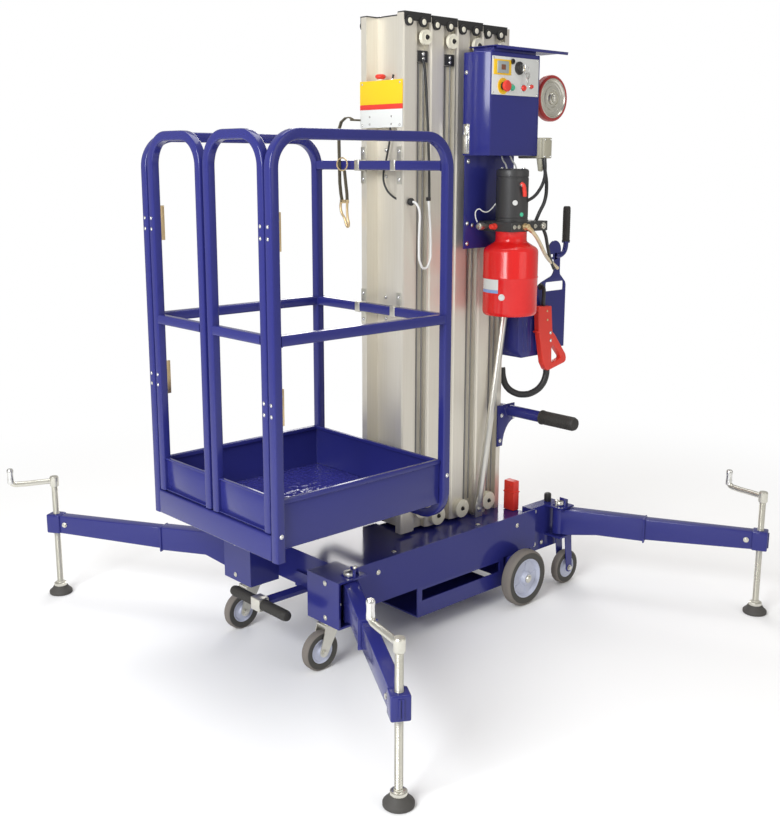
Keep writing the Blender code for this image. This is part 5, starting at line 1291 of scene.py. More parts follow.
@dataclass
class Station:
    """Control station in the mast's open front channel: printed plate, cream box, stop button and toggle."""

    half_width: float = 0.0995
    front_y: float = -0.0963
    rear_y: float = -0.0933
    box_x: float = 0.0695
    box_rear_y: float = -0.053
    top_z: float = 1.779
    stop_x: float = -0.026
    toggle_x: float = 0.03

    def build(self) -> None:
        """Make the plate's three bands, the box behind it and its controls."""
        bands = (
            ("yellow_band", YELLOW, 1.706, self.top_z), ("red_band", RED_STRIPE, 1.6905, 1.7058),
            ("pale_band", WHITE, 1.634, 1.6903)
        )
        for name, finish, low, high in bands:
            band = Bench.block(
                f"station_{name}", (-self.half_width, self.front_y, low), (self.half_width, self.rear_y, high), 0.0006
            )
            self._add(band, finish)
        box = Bench.block(
            "station_box", (-self.box_x, self.rear_y + 0.0002, 1.638),
            (self.box_x, self.box_rear_y, self.top_z - 0.004), 0.004, 3
        )
        self._add(box, CREAM)
        middle = (self.rear_y + self.box_rear_y) / 2
        self._stop(middle)
        self._toggle(middle)
        seats = [((x, self.front_y, z), (0, -1, 0)) for x in (-0.088, 0.088) for z in (1.77, 1.6425)]
        Fasteners.set("station_plate_screws", "platform", Fitting.DOME, 0.0034, seats)
        pairs = [((x, self.front_y, z), (0, -1, 0)) for x in (-0.052, 0.05) for z in (1.668, 1.645)]
        Fasteners.set("station_box_screws", "platform", Fitting.SOCKET, 0.003, pairs)

    @staticmethod
    def _add(piece: Item, finish: Finish) -> None:
        """Ride the platform in the place of the frame's station."""
        finish.fit(piece, "platform", "platform_station")

    def _stop(self, y: float) -> None:
        """Cream collar and red mushroom head."""
        base = self.top_z - 0.005
        collar = Bench.turned(
            "stop_collar", [(0, 0), (0.0125, 0), (0.0125, 0.006), (0.0085, 0.0075), (0.008, 0.014), (0, 0.014)], Axis.Z,
            (self.stop_x, y, base), 32
        )
        self._add(collar, CREAM)
        head = Bench.turned(
            "stop_mushroom",
            [
                (0, 0.011), (0.01, 0.011), (0.0145, 0.0135), (0.017, 0.0175), (0.017, 0.0205), (0.015, 0.024),
                (0.0105, 0.0262), (0, 0.027)
            ],
            Axis.Z, (self.stop_x, y, base), 40
        )
        self._add(head, RED_PLASTIC)

    def _toggle(self, y: float) -> None:
        """Threaded collar, nut and black lever."""
        base = self.top_z - 0.005
        nut = Bench.bar("nut", (self.toggle_x, y, base), (self.toggle_x, y, base + 0.004), 0.0085, 6, 0.0005)
        neck = Bench.bar("neck", (self.toggle_x, y, base), (self.toggle_x, y, base + 0.01), 0.0055, 20, 0.0006)
        collar = Bench.join("toggle_collar", [nut, neck])
        self._add(collar, BRIGHT)
        lever = Bench.bar(
            "toggle_lever", (self.toggle_x, y, base + 0.008), (self.toggle_x + 0.004, y, base + 0.0225), 0.0024, 16,
            0.001, 0.0038
        )
        self._add(lever, CAP_BLACK)


@dataclass
class StationLeads:
    """The black lead behind the rail and the white one that hangs beside the mast."""

    radius: float = 0.0034
    white_radius: float = 0.004

    def build(self) -> None:
        """Make both leads with the gland and the clip that hold them."""
        gland = Bench.turned(
            "lead_gland",
            [
                (0, 0), (0.0105, 0), (0.0105, 0.003), (0.012, 0.004), (0.012, 0.009), (0.0085, 0.013), (0.0065, 0.015),
                (0, 0.015)
            ],
            Axis.X, (0.0995, -0.062, 1.404), 24
        )
        clip = Bench.block("clip", (0.0965, 0.0125, 1.405), (0.109, 0.0245, 1.417), 0.002, 3)
        holder = Bench.join("lead_holders", [gland, clip])
        CAP_BLACK.fit(holder, "platform")
        black = [
            (0.007, -0.06, 1.64), (0.004, -0.062, 1.59), (-0.008, -0.066, 1.53), (-0.016, -0.07, 1.48),
            (-0.006, -0.068, 1.445), (0.018, -0.062, 1.42), (0.048, -0.058, 1.408), (0.0712, -0.056, 1.404)
        ]
        Harness.lay("black_station_lead", black, self.radius, CABLE, "platform", "limp")
        white = [
            (0.1145, -0.062, 1.404), (0.123, -0.06, 1.4015), (0.131, -0.054, 1.388), (0.131, -0.047, 1.366),
            (0.124, -0.041, 1.33), (0.117, -0.036, 1.29), (0.114, -0.033, 1.25), (0.113, -0.028, 1.213),
            (0.113, -0.0055, 1.19), (0.113, 0.0165, 1.213), (0.112, 0.021, 1.255), (0.1095, 0.021, 1.32),
            (0.106, 0.0195, 1.375), (0.1035, 0.0185, 1.405)
        ]
        Harness.lay("white_station_lead", white, self.white_radius, WHITE_CABLE, "platform", "limp")


@dataclass
class Lanyard:
    """Webbing strap that hangs from the upper rear bar, with its ring and snap hook."""

    y: float = -0.13

    def build(self) -> None:
        """Make the strap's two runs, the ring and the hook."""
        y = self.y
        front = [
            (-0.0965, y, 1.662), (-0.112, y, 1.668), (-0.13, y, 1.667), (-0.152, y, 1.655), (-0.164, y - 0.002, 1.632),
            (-0.165, y - 0.003, 1.59), (-0.164, y - 0.003, 1.54), (-0.163, y - 0.002, 1.5), (-0.162, y, 1.46),
            (-0.157, y, 1.425), (-0.15, y, 1.398)
        ]
        back = [(-0.14, y + 0.001, 1.5), (-0.134, y + 0.001, 1.46), (-0.128, y, 1.425), (-0.127, y, 1.398)]
        straps = [self._strap("front", front, 0.0062), self._strap("back", back, 0.006)]
        straps.append(Bench.block("tab", (-0.1045, y - 0.0062, 1.6565), (-0.0955, -0.0936, 1.6625), 0.0012))
        strap = Bench.join("lanyard_strap", straps)
        WEBBING.fit(strap, "platform")
        ring = Bench.line(
            "lanyard_ring",
            [
                (-0.139 + 0.026 * math.cos(a), y - 0.01, 1.52 + 0.0205 * math.sin(a))
                for a in [math.tau * k / 20 for k in range(21)]
            ],
            0.0024, 2, soft=False
        )
        hook_line = [
            (-0.157, y, 1.402), (-0.16, y, 1.38), (-0.153, y, 1.36), (-0.14, y, 1.345), (-0.131, y, 1.325),
            (-0.124, y, 1.318), (-0.119, y, 1.328), (-0.124, y, 1.345), (-0.127, y, 1.37), (-0.126, y, 1.402)
        ]
        hook = Bench.line("hook", hook_line, 0.0042, 3)
        bridge = Bench.block("bridge", (-0.16, y - 0.005, 1.394), (-0.121, y + 0.005, 1.406), 0.003, 3)
        metal = Bench.join("lanyard_hook", [ring, hook, bridge])
        BRASS.fit(metal, "platform")

    @staticmethod
    def _strap(name: str, route: Sequence[Point], half: float) -> Item:
        """A flat strap along a route, square to the mast's front."""
        places = [Vector((p[0], 0.0, p[2])) for p in route]
        thin = 0.0016
        near = []
        far = []
        for i, place in enumerate(places):
            along = (places[min(i + 1, len(places) - 1)] - places[max(i - 1, 0)]).normalized()
            across = Vector((along.z, 0.0, -along.x)) * thin
            near.append(place + across)
            far.append(place - across)
        depth = sum(p[1] for p in route) / len(route) - half
        outline = [tuple(p + Vector((0, depth, 0))) for p in near + far[::-1]]
        return Bench.plate(name, outline, (0, 2 * half, 0), 0.0006)


@dataclass
class MastDressing:
    """Guide rollers, rope sheaves, ropes and screws of the four mast sections."""

    side_x: float = 0.0995
    neck_x: float = 0.078
    front_y: float = -0.093
    pitch: float = 0.1195
    top_z: float = 1.976
    step: float = 0.004
    roller_drop: float = 0.024
    sheave_drop: float = 0.068
    sheave_offset: float = 0.092

    def build(self) -> None:
        """Dress the sections, from rows of number, body, foot sheave's offset and height, and anchor or not."""
        table = (
            (4, "platform", 0.085, 0.375, True), (3, "mast_3", 0.044, 0.333, True), (2, "mast_2", 0.044, 0.333, False),
            (1, "base", 0.062, 0.333, False)
        )
        for number, body, foot_offset, foot_z, has_anchor in table:
            front = self.front_y + (4 - number) * self.pitch
            top = self.top_z - (4 - number) * self.step
            self._rollers(number, body, front, top)
            self._sheaves(number, body, front, top, foot_offset, foot_z)
            self._ropes(number, body, front, top, foot_z, has_anchor)
            self._screws(number, body, front, top, has_anchor)
        self._channel_bolts()
        self._sheathed_cable()

    @staticmethod
    def _both_sides(places: Sequence[tuple[float, float, float]]) -> list[Matrix]:
        """Matrices that set a piece built up +Z on both sides of the mast, at (x, y, z) places."""
        spots = []
        for x, y, z in places:
            for _, sign in SIDES:
                spots.append(aimed((sign * x, y, z), (sign, 0, 0)))
        return spots

    @staticmethod
    def _piece(name: str, body: str, template: Item, spots: list[Matrix], finish: Finish) -> None:
        """Copies of a template on a body, in one finish."""
        piece = Bench.copies(name, template, spots)
        Bench.smooth(piece, 38.0)
        finish.fit(piece, body)

    def _rollers(self, number: int, body: str, front: float, top: float) -> None:
        """Black guide rollers with cream bushes at both sides of the head."""
        places = [(self.side_x, front + offset, top - self.roller_drop) for offset in (0.02, 0.081)]
        ring = Bench.turned(
            "ring",
            [
                (0.0085, 0.0004), (0.0153, 0.0004), (0.0153, 0.0086), (0.0143, 0.0096), (0.01, 0.0096), (0.009, 0.0084),
                (0.0085, 0.0084), (0.0085, 0.0004)
            ],
            Axis.Z, (0, 0, 0), 32
        )
        self._piece(f"guide_rollers_{number}", body, ring, self._both_sides(places), CAP_BLACK)
        bush = Bench.turned(
            "bush", [(0, 0.0081), (0.0088, 0.0081), (0.0088, 0.009), (0.007, 0.0101), (0.0032, 0.0103), (0, 0.0096)],
            Axis.Z, (0, 0, 0), 24
        )
        self._piece(f"roller_bushes_{number}", body, bush, self._both_sides(places), CREAM)

    def _sheaves(self, number: int, body: str, front: float, top: float, foot_offset: float, foot_z: float) -> None:
        """Cream rope sheaves near the top and at the foot, with their dark bolts."""
        upper = Bench.turned(
            "sheave",
            [
                (0, -0.0004), (0.0228, -0.0004), (0.0232, 0.0012), (0.0217, 0.004), (0.0217, 0.0072), (0.0232, 0.01),
                (0.0228, 0.0116), (0.019, 0.0118), (0.0178, 0.0113), (0.0085, 0.0113), (0.008, 0.0126), (0, 0.0126)
            ],
            Axis.Z, (0, 0, 0), 40
        )
        top_place = (0.098, front + self.sheave_offset, top - self.sheave_drop)
        self._piece(f"top_sheaves_{number}", body, upper, self._both_sides([top_place]), CREAM)
        lower = Bench.turned(
            "pulley",
            [
                (0, 0), (0.032, 0), (0.0326, 0.002), (0.0315, 0.006), (0.0315, 0.0125), (0.0326, 0.0165),
                (0.032, 0.0186), (0.0312, 0.019), (0.011, 0.019), (0.0104, 0.0182), (0, 0.0182)
            ],
            Axis.Z, (0, 0, 0), 48
        )
        foot_place = (0.0962, front + foot_offset, foot_z)
        self._piece(f"foot_sheaves_{number}", body, lower, self._both_sides([foot_place]), CREAM)
        seats = []
        for _, sign in SIDES:
            x, y, z = top_place
            seats.append(((sign * (x + 0.0126), y, z), (sign, 0, 0)))
            x, y, z = foot_place
            seats.append(((sign * (x + 0.0182), y, z), (sign, 0, 0)))
        Fasteners.set(f"sheave_bolts_{number}", body, Fitting.SOCKET, 0.0068, seats, CAP_BLACK)

    def _ropes(self, number: int, body: str, front: float, top: float, foot_z: float, has_anchor: bool) -> None:
        """Two steel ropes down each track, from the anchor or the sheave to the foot."""
        high = top - (0.141 if has_anchor else 0.088)
        ropes = []
        for _, sign in SIDES:
            for offset in (0.078, 0.1):
                x = sign * 0.086
                ropes.append(
                    Bench.bar("rope", (x, front + offset, foot_z + 0.02), (x, front + offset, high), 0.0029, 12)
                )
        rope = Bench.join(f"track_ropes_{number}", ropes)
        ROPE.fit(rope, body)

    def _screws(self, number: int, body: str, front: float, top: float, has_anchor: bool) -> None:
        """Screws on the anchors and on the cap."""
        seats: list[tuple[Point, Point]] = []
        if has_anchor:
            for _, sign in SIDES:
                for drop in (0.1175, 0.1325):
                    seats.append(((sign * 0.0955, front + 0.09, top - drop), (sign, 0, 0)))
        low = front + (0.06 if number == 4 else 0.018)
        for _, sign in SIDES:
            for y in (low, front + 0.1):
                seats.append(((sign * 0.07, y, top + self.step), (0, 0, 1)))
        Fasteners.set(f"mast_screws_{number}", body, Fitting.DOME, 0.0056, seats)
        if has_anchor:
            covers = []
            for _, sign in SIDES:
                low_x, high_x = sorted((sign * 0.0772, sign * 0.0959))
                covers.append(
                    Bench.block(
                        "anchor", (low_x, front + 0.0636, top - 0.1434), (high_x, front + 0.1104, top - 0.1066), 0.0022,
                        3
                    )
                )
            cover = Bench.join(f"rope_anchors_{number}", covers)
            CAP_BLACK.fit(cover, body)

    def _channel_bolts(self) -> None:
        """Pale bolt heads in the front channel and in the tracks."""
        front = [((sign * 0.03, -0.0451, z), (0, -1, 0)) for sign in (1, -1) for z in (1.565, 1.481, 1.087, 1.015)]
        Fasteners.set("channel_bolts", "platform", Fitting.DOME, 0.0062, front)
        third = [
            ((sign * self.neck_x, y, z), (sign, 0, 0)) for sign in (1, -1)
            for y, z in ((0.108, 1.53), (0.13, 1.505), (0.13, 0.52), (0.104, 0.487), (0.104, 0.448))
        ]
        Fasteners.set("track_bolts", "mast_3", Fitting.DOME, 0.0062, third)

    def _sheathed_cable(self) -> None:
        """Black cable from the platform's rope anchor down to the white lead."""
        route = [
            (0.096, -0.006, 1.842), (0.101, -0.004, 1.825), (0.103, 0.001, 1.78), (0.1045, 0.006, 1.7),
            (0.1055, 0.011, 1.62), (0.106, 0.016, 1.53), (0.106, 0.0185, 1.46), (0.106, 0.019, 1.412)
        ]
        cable = Bench.line("sheathed_cable", route, 0.0042, 3)
        CABLE.fit(cable, "platform")


@dataclass
class Braces:
    """The two aluminium tubes that stay the mast, with flattened ends and their bolts."""

    x: float = 0.122
    radius: float = 0.0125
    low: tuple[float, float] = (0.266, 0.352)
    high: tuple[float, float] = (0.388, 1.06)
    deck_z: float = 0.2883

    def build(self) -> None:
        """Make both braces."""
        seats = []
        for side, sign in SIDES:
            x = sign * self.x
            low = Vector((x, *self.low))
            high = Vector((x, *self.high))
            tube = Bench.bar("tube", low - Vector((0, 0, 0.01)), high, self.radius, 32, 0.002)
            blade = Bench.plate(
                "blade",
                [
                    (x - 0.003, self.low[0] - 0.019, self.deck_z), (x - 0.003, self.low[0] + 0.015, self.deck_z),
                    (x - 0.003, self.low[0] + 0.019, self.low[1] - 0.014),
                    (x - 0.003, self.low[0] + 0.0125, self.low[1] + 0.012),
                    (x - 0.003, self.low[0] - 0.0095, self.low[1] + 0.012),
                    (x - 0.003, self.low[0] - 0.019, self.low[1] - 0.018)
                ],
                (0.006, 0, 0), 0.0008
            )
            inner, outer = sorted((sign * 0.0968, x + sign * 0.003))
            lug = Bench.block(
                "lug", (inner, self.high[0] - 0.018, self.high[1] - 0.012),
                (outer, self.high[0] + 0.01, self.high[1] + 0.026), 0.003, 3
            )
            brace = Bench.join(f"mast_stay_{side}", [tube, blade, lug])
            BRUSHED.fit(brace, "base", f"mast_brace_{side}")
            seats.append(((x + sign * 0.003, self.low[0] - 0.002, self.low[1] - 0.036), (sign, 0, 0)))
            seats.append(((x + sign * 0.003, self.high[0] - 0.004, self.high[1] + 0.01), (sign, 0, 0)))
        Fasteners.set("stay_bolts", "base", Fitting.HEX, 0.0085, seats)


@dataclass
class Jacks:
    """Screw jacks: threaded screw, cranked handle, and a rubber foot in a zinc cup."""

    screw: float = 0.011
    elbow_z: float = 0.42
    reach: float = 0.145
    knob_top: float = 0.478

    def build(self) -> None:
        """Make the jacks, from rows of name, place and crank direction in degrees."""
        table = (
            ("front_right", (0.893, -0.846), 166.0), ("front_left", (-0.893, -0.846), 249.0),
            ("rear_right", (0.893, 0.846), 171.0), ("rear_left", (-0.893, 0.846), 101.0)
        )
        for name, (x, y), degrees in table:
            self._screw(name, x, y)
            self._crank(name, x, y, math.radians(degrees))
            self._foot(name, x, y)

    @staticmethod
    def _add(piece: Item, finish: Finish, name: str) -> None:
        """Ride the jack's body in the place of the frame's jack."""
        finish.fit(piece, f"jack_{name}", f"jack_{name}")

    def _screw(self, name: str, x: float, y: float) -> None:
        """The screw, with thread ridges from the cup to the elbow."""
        core = self.screw * 0.88
        pitch = 0.0042
        profile = [(0.0, 0.034), (core, 0.034)]
        z = 0.046
        while z < self.elbow_z - 0.02:
            profile += [
                (core, z), (self.screw, z + pitch * 0.32), (self.screw, z + pitch * 0.52), (core, z + pitch * 0.86)
            ]
            z += pitch
        profile += [(core, self.elbow_z - 0.012), (0.0, self.elbow_z - 0.012)]
        screw = Bench.turned(f"jack_screw_{name}", profile, Axis.Z, (x, y, 0), 20)
        self._add(screw, ZINC, name)

    def _crank(self, name: str, x: float, y: float, angle: float) -> None:
        """The elbow, the bent bar and the turning knob."""
        along = Vector((math.cos(angle), math.sin(angle), 0))
        foot = Vector((x, y, 0))
        lift = Vector((0, 0, self.elbow_z))
        tip = foot + along * self.reach
        elbow = Bench.turned(
            "elbow", [(0, -0.02), (0.0135, -0.02), (0.0155, -0.017), (0.0155, 0.013), (0.013, 0.0165), (0, 0.017)],
            Axis.Z, foot + lift, 32
        )
        top = tip + Vector((0, 0, self.elbow_z + 0.022))
        bar = Bench.line(
            "bar",
            [
                foot + lift - along * 0.002, foot + lift + along * 0.05, tip + lift - along * 0.03,
                tip + lift - along * 0.009 + Vector((0, 0, 0.0028)), tip + lift - along * 0.001 + Vector((0, 0, 0.013)),
                top
            ],
            0.0098, 4
        )
        crank = Bench.join(f"jack_crank_{name}", [elbow, bar])
        Bench.smooth(crank, 40.0)
        self._add(crank, ZINC, name)
        knob = Bench.turned(
            f"jack_knob_{name}",
            [
                (0, 0.004), (0.01, 0.004), (0.0115, 0.0065), (0.0115, 0.02), (0.0105, 0.026), (0.0105, 0.04),
                (0.0115, 0.046), (0.0113, 0.054), (0.0085, self.knob_top - self.elbow_z),
                (0, self.knob_top - self.elbow_z)
            ],
            Axis.Z, tip + lift, 28
        )
        self._add(knob, BRIGHT, name)

    def _foot(self, name: str, x: float, y: float) -> None:
        """The zinc cup on its dark rubber cone."""
        cup = Bench.turned(
            f"jack_cup_{name}",
            [
                (0, 0.026), (0.0215, 0.026), (0.0222, 0.029), (0.0218, 0.0385), (0.0195, 0.0405), (0.013, 0.0415),
                (0.0125, 0.046), (0, 0.046)
            ],
            Axis.Z, (x, y, 0), 32
        )
        self._add(cup, ZINC, name)
        cone = Bench.turned(
            f"jack_pad_{name}",
            [
                (0, 0.0), (0.0375, 0.0), (0.0398, 0.0022), (0.04, 0.0095), (0.0385, 0.012), (0.033, 0.0165),
                (0.027, 0.0235), (0.0235, 0.03), (0, 0.03)
            ],
            Axis.Z, (x, y, 0), 40
        )
        self._add(cone, FOOT_RUBBER, name)


@dataclass
class Arms:
    """Outrigger arms of folded sheet: tapered beam, step collar, pin barrel and the screw's clamp."""

    pin_front: tuple[float, float] = (0.27, -0.467)
    pin_rear: tuple[float, float] = (0.265, 0.548)
    jack: tuple[float, float] = (0.893, 0.846)
    inner_end: float = 0.31
    half: float = 0.024
    outer_half: float = 0.02

    def build(self) -> None:
        """Make the arms, from rows of name, x side, y side, pin and lowest point of the root."""
        table = (
            ("front_right", 1, -1, self.pin_front, 0.166), ("front_left", -1, -1, self.pin_front, 0.166),
            ("rear_right", 1, 1, self.pin_rear, 0.199), ("rear_left", -1, 1, self.pin_rear, 0.199)
        )
        for name, side_x, side_y, pin, root_low in table:
            foot = Vector((side_x * pin[0], pin[1], 0))
            jack = Vector((side_x * self.jack[0], side_y * self.jack[1], 0))
            self._arm(name, foot, jack, root_low)

    def _arm(self, name: str, foot: Vector, jack: Vector, root_low: float) -> None:
        """One arm, modelled along +X and turned to its place."""
        reach = (jack - foot).length
        top = 0.296
        low = 0.2135
        inner = Bench.plate(
            "inner",
            [
                (0.0, -self.half, top - 0.0005), (0.0, -self.half, root_low + 0.0005),
                (0.03, -self.half, root_low + 0.0005), (self.inner_end * 0.45, -self.half, low),
                (self.inner_end, -self.half, low), (self.inner_end, -self.half, top - 0.0005)
            ],
            (0, 2 * self.half, 0), 0.003, 3
        )
        outer = Bench.plate(
            "outer",
            [
                (self.inner_end - 0.02, -self.outer_half, top - 0.003),
                (self.inner_end - 0.02, -self.outer_half, low + 0.004), (reach - 0.02, -self.outer_half, 0.234),
                (reach - 0.02, -self.outer_half, 0.297)
            ],
            (0, 2 * self.outer_half, 0), 0.003, 3
        )
        collar = Bench.block(
            "collar", (self.inner_end - 0.006, -self.half - 0.004, low - 0.0045),
            (self.inner_end, self.half + 0.004, top), 0.0012
        )
        barrel = Bench.turned(
            "barrel",
            [
                (0.0118, root_low), (0.0248, root_low), (0.026, root_low + 0.0012), (0.026, top - 0.0012),
                (0.0248, top), (0.0118, top), (0.0118, root_low)
            ],
            Axis.Z, (0, 0, 0), 40
        )
        clamp = Bench.block("clamp", (reach - 0.0255, -0.0255, 0.2322), (reach + 0.0255, 0.0255, 0.2998), 0.0045, 3)
        Bench.cut(clamp, Bench.bar("screwhole", (reach, 0, 0.2), (reach, 0, 0.34), 0.0117, 24))
        pinhole = Bench.bar("pinhole", (0, 0, 0.1), (0, 0, 0.4), 0.0118, 24)
        Bench.cut(inner, pinhole)
        weld = Bench.line(
            "weld",
            [
                (self.inner_end + 0.0008, -0.0205, low + 0.005), (self.inner_end + 0.0008, -0.0205, top - 0.004),
                (self.inner_end + 0.0008, 0.0205, top - 0.004), (self.inner_end + 0.0008, 0.0205, low + 0.005)
            ],
            0.0016, 1, soft=False
        )
        ears = [
            Bench.block(
                "ear", (reach + 0.02, sign * 0.0045 - 0.003, 0.24), (reach + 0.0292, sign * 0.0045 + 0.003, 0.292),
                0.001
            )
            for sign in (1, -1)
        ]
        arm = Bench.join(f"outrigger_arm_{name}", [inner, outer, collar, barrel, clamp, weld, *ears])
        run = jack - foot
        arm.matrix_world = Matrix.Translation(foot) @ Matrix.Rotation(math.atan2(run.y, run.x), 4, "Z")
        Bench.settle(arm)
        Bench.smooth(arm, 35.0)
        body = f"outrigger_{name}"
        BLUE.fit(arm, body, body)
        heading = run.normalized()
        across = Vector((-heading.y, heading.x, 0))
        seats = [
            (
                tuple(foot + heading * (reach - 0.044) + across * (self.outer_half * s) + Vector((0, 0, 0.266))),
                tuple(across * s)
            )
            for s in (1, -1)
        ]
        Fasteners.set(f"arm_bolts_{name}", body, Fitting.HEX, 0.008, seats, ZINC)


@dataclass
class ControlBox:
    """Sheet housing with a bevelled corner, its latch, the junction box and the rain hood."""

    face_x: float = 0.1313
    outer_x: float = 0.235
    front_y: float = 0.142
    rear_y: float = 0.398
    low_z: float = 1.548
    top_z: float = 1.87
    corner: tuple[float, float] = (0.042, 0.018)

    def build(self) -> None:
        """Make housing, junction box, hood and latch."""
        self._housing()
        self._junction()
        self._hood()
        self._latch()

    def _housing(self) -> None:
        """The housing, with a shut line round its lid."""
        wide, deep = self.corner
        low = self.low_z
        outline = [
            (self.face_x, self.front_y, low), (self.outer_x - wide, self.front_y, low),
            (self.outer_x, self.front_y + deep, low), (self.outer_x, self.rear_y, low), (self.face_x, self.rear_y, low)
        ]
        housing = Bench.plate("control_housing", outline, (0, 0, self.top_z - low), 0.0035, 3)
        seam = 0.0012
        grooves = [
            Bench.block(
                "seam", (self.face_x + 0.006, self.front_y - 0.01, low - 0.01),
                (self.face_x + 0.006 + seam, self.front_y + 0.0015, self.top_z + 0.01)
            ),
            Bench.block(
                "seam", (self.outer_x - 0.0015, self.rear_y - 0.01, low - 0.01),
                (self.outer_x + 0.01, self.rear_y - 0.01 + seam, self.top_z + 0.01)
            )
        ]
        Bench.cut(housing, *grooves)
        Bench.smooth(housing, 35.0)
        BLUE.fit(housing, "base", "control_box")

    def _junction(self) -> None:
        """Olive-grey junction box behind the housing, with its lid, screws and tapered cable boot."""
        low = (0.15, 0.3965, 1.54)
        high = (0.262, 0.44, 1.608)
        shell = Bench.block("shell", low, (high[0] - 0.012, high[1], high[2]), 0.004, 3)
        lid = Bench.block("lid", (high[0] - 0.0112, low[1] + 0.002, low[2] + 0.0005), high, 0.0035, 3)
        band = Bench.block(
            "band", (high[0] - 0.013, low[1] + 0.003, low[2] + 0.002),
            (high[0] - 0.01, high[1] - 0.002, high[2] - 0.002)
        )
        box = Bench.join("junction_box", [shell, lid, band])
        JUNCTION.fit(box, "base", "control_box")
        seats = [((high[0], y, z), (1, 0, 0)) for y in (0.404, 0.4335) for z in (1.5465, 1.6015)]
        Fasteners.set("junction_screws", "base", Fitting.DOME, 0.0032, seats)
        boot = Bench.bar("junction_boot", (0.236, 0.419, 1.5402), (0.236, 0.413, 1.498), 0.0175, 28, 0.002, 0.0075)
        JUNCTION.fit(boot, "base")

    def _hood(self) -> None:
        """The flat rain hood with its folded edge, on its foot."""
        hood = Bench.block("hood", (0.126, 0.172, 1.886), (0.245, 0.532, 1.889), 0.0011, 2)
        fold = Bench.block("fold", (0.2425, 0.174, 1.8795), (0.245, 0.53, 1.887), 0.0008, 2)
        foot = Bench.block("foot", (0.136, 0.182, self.top_z + 0.0003), (0.225, 0.388, 1.887), 0.0015, 2)
        piece = Bench.join("rain_hood", [hood, fold, foot])
        BLUE.fit(piece, "base", "control_hood")

    def _latch(self) -> None:
        """The zinc toggle latch low on the front, and the bolt above it."""
        y = self.front_y
        parts = [
            Bench.block("base", (0.1375, y - 0.0022, 1.5535), (0.1635, y, 1.648), 0.0008),
            Bench.block("lever", (0.141, y - 0.0095, 1.556), (0.16, y - 0.002, 1.611), 0.0022, 3),
            Bench.block("hook", (0.144, y - 0.0075, 1.6145), (0.157, y - 0.002, 1.642), 0.0018, 3),
            Bench.bar("rod", (0.146, y - 0.0065, 1.6), (0.146, y - 0.0065, 1.625), 0.0016, 12),
            Bench.bar("rod", (0.155, y - 0.0065, 1.6), (0.155, y - 0.0065, 1.625), 0.0016, 12),
            Bench.bar("pivot", (0.14, y - 0.006, 1.612), (0.161, y - 0.006, 1.612), 0.0026, 16, 0.0004)
        ]
        latch = Bench.join("toggle_latch", parts)
        Bench.smooth(latch, 40.0)
        BRIGHT.fit(latch, "base")
        Fasteners.set("housing_bolt", "base", Fitting.DOME, 0.0058, [((0.1455, y, 1.808), (0, -1, 0))])


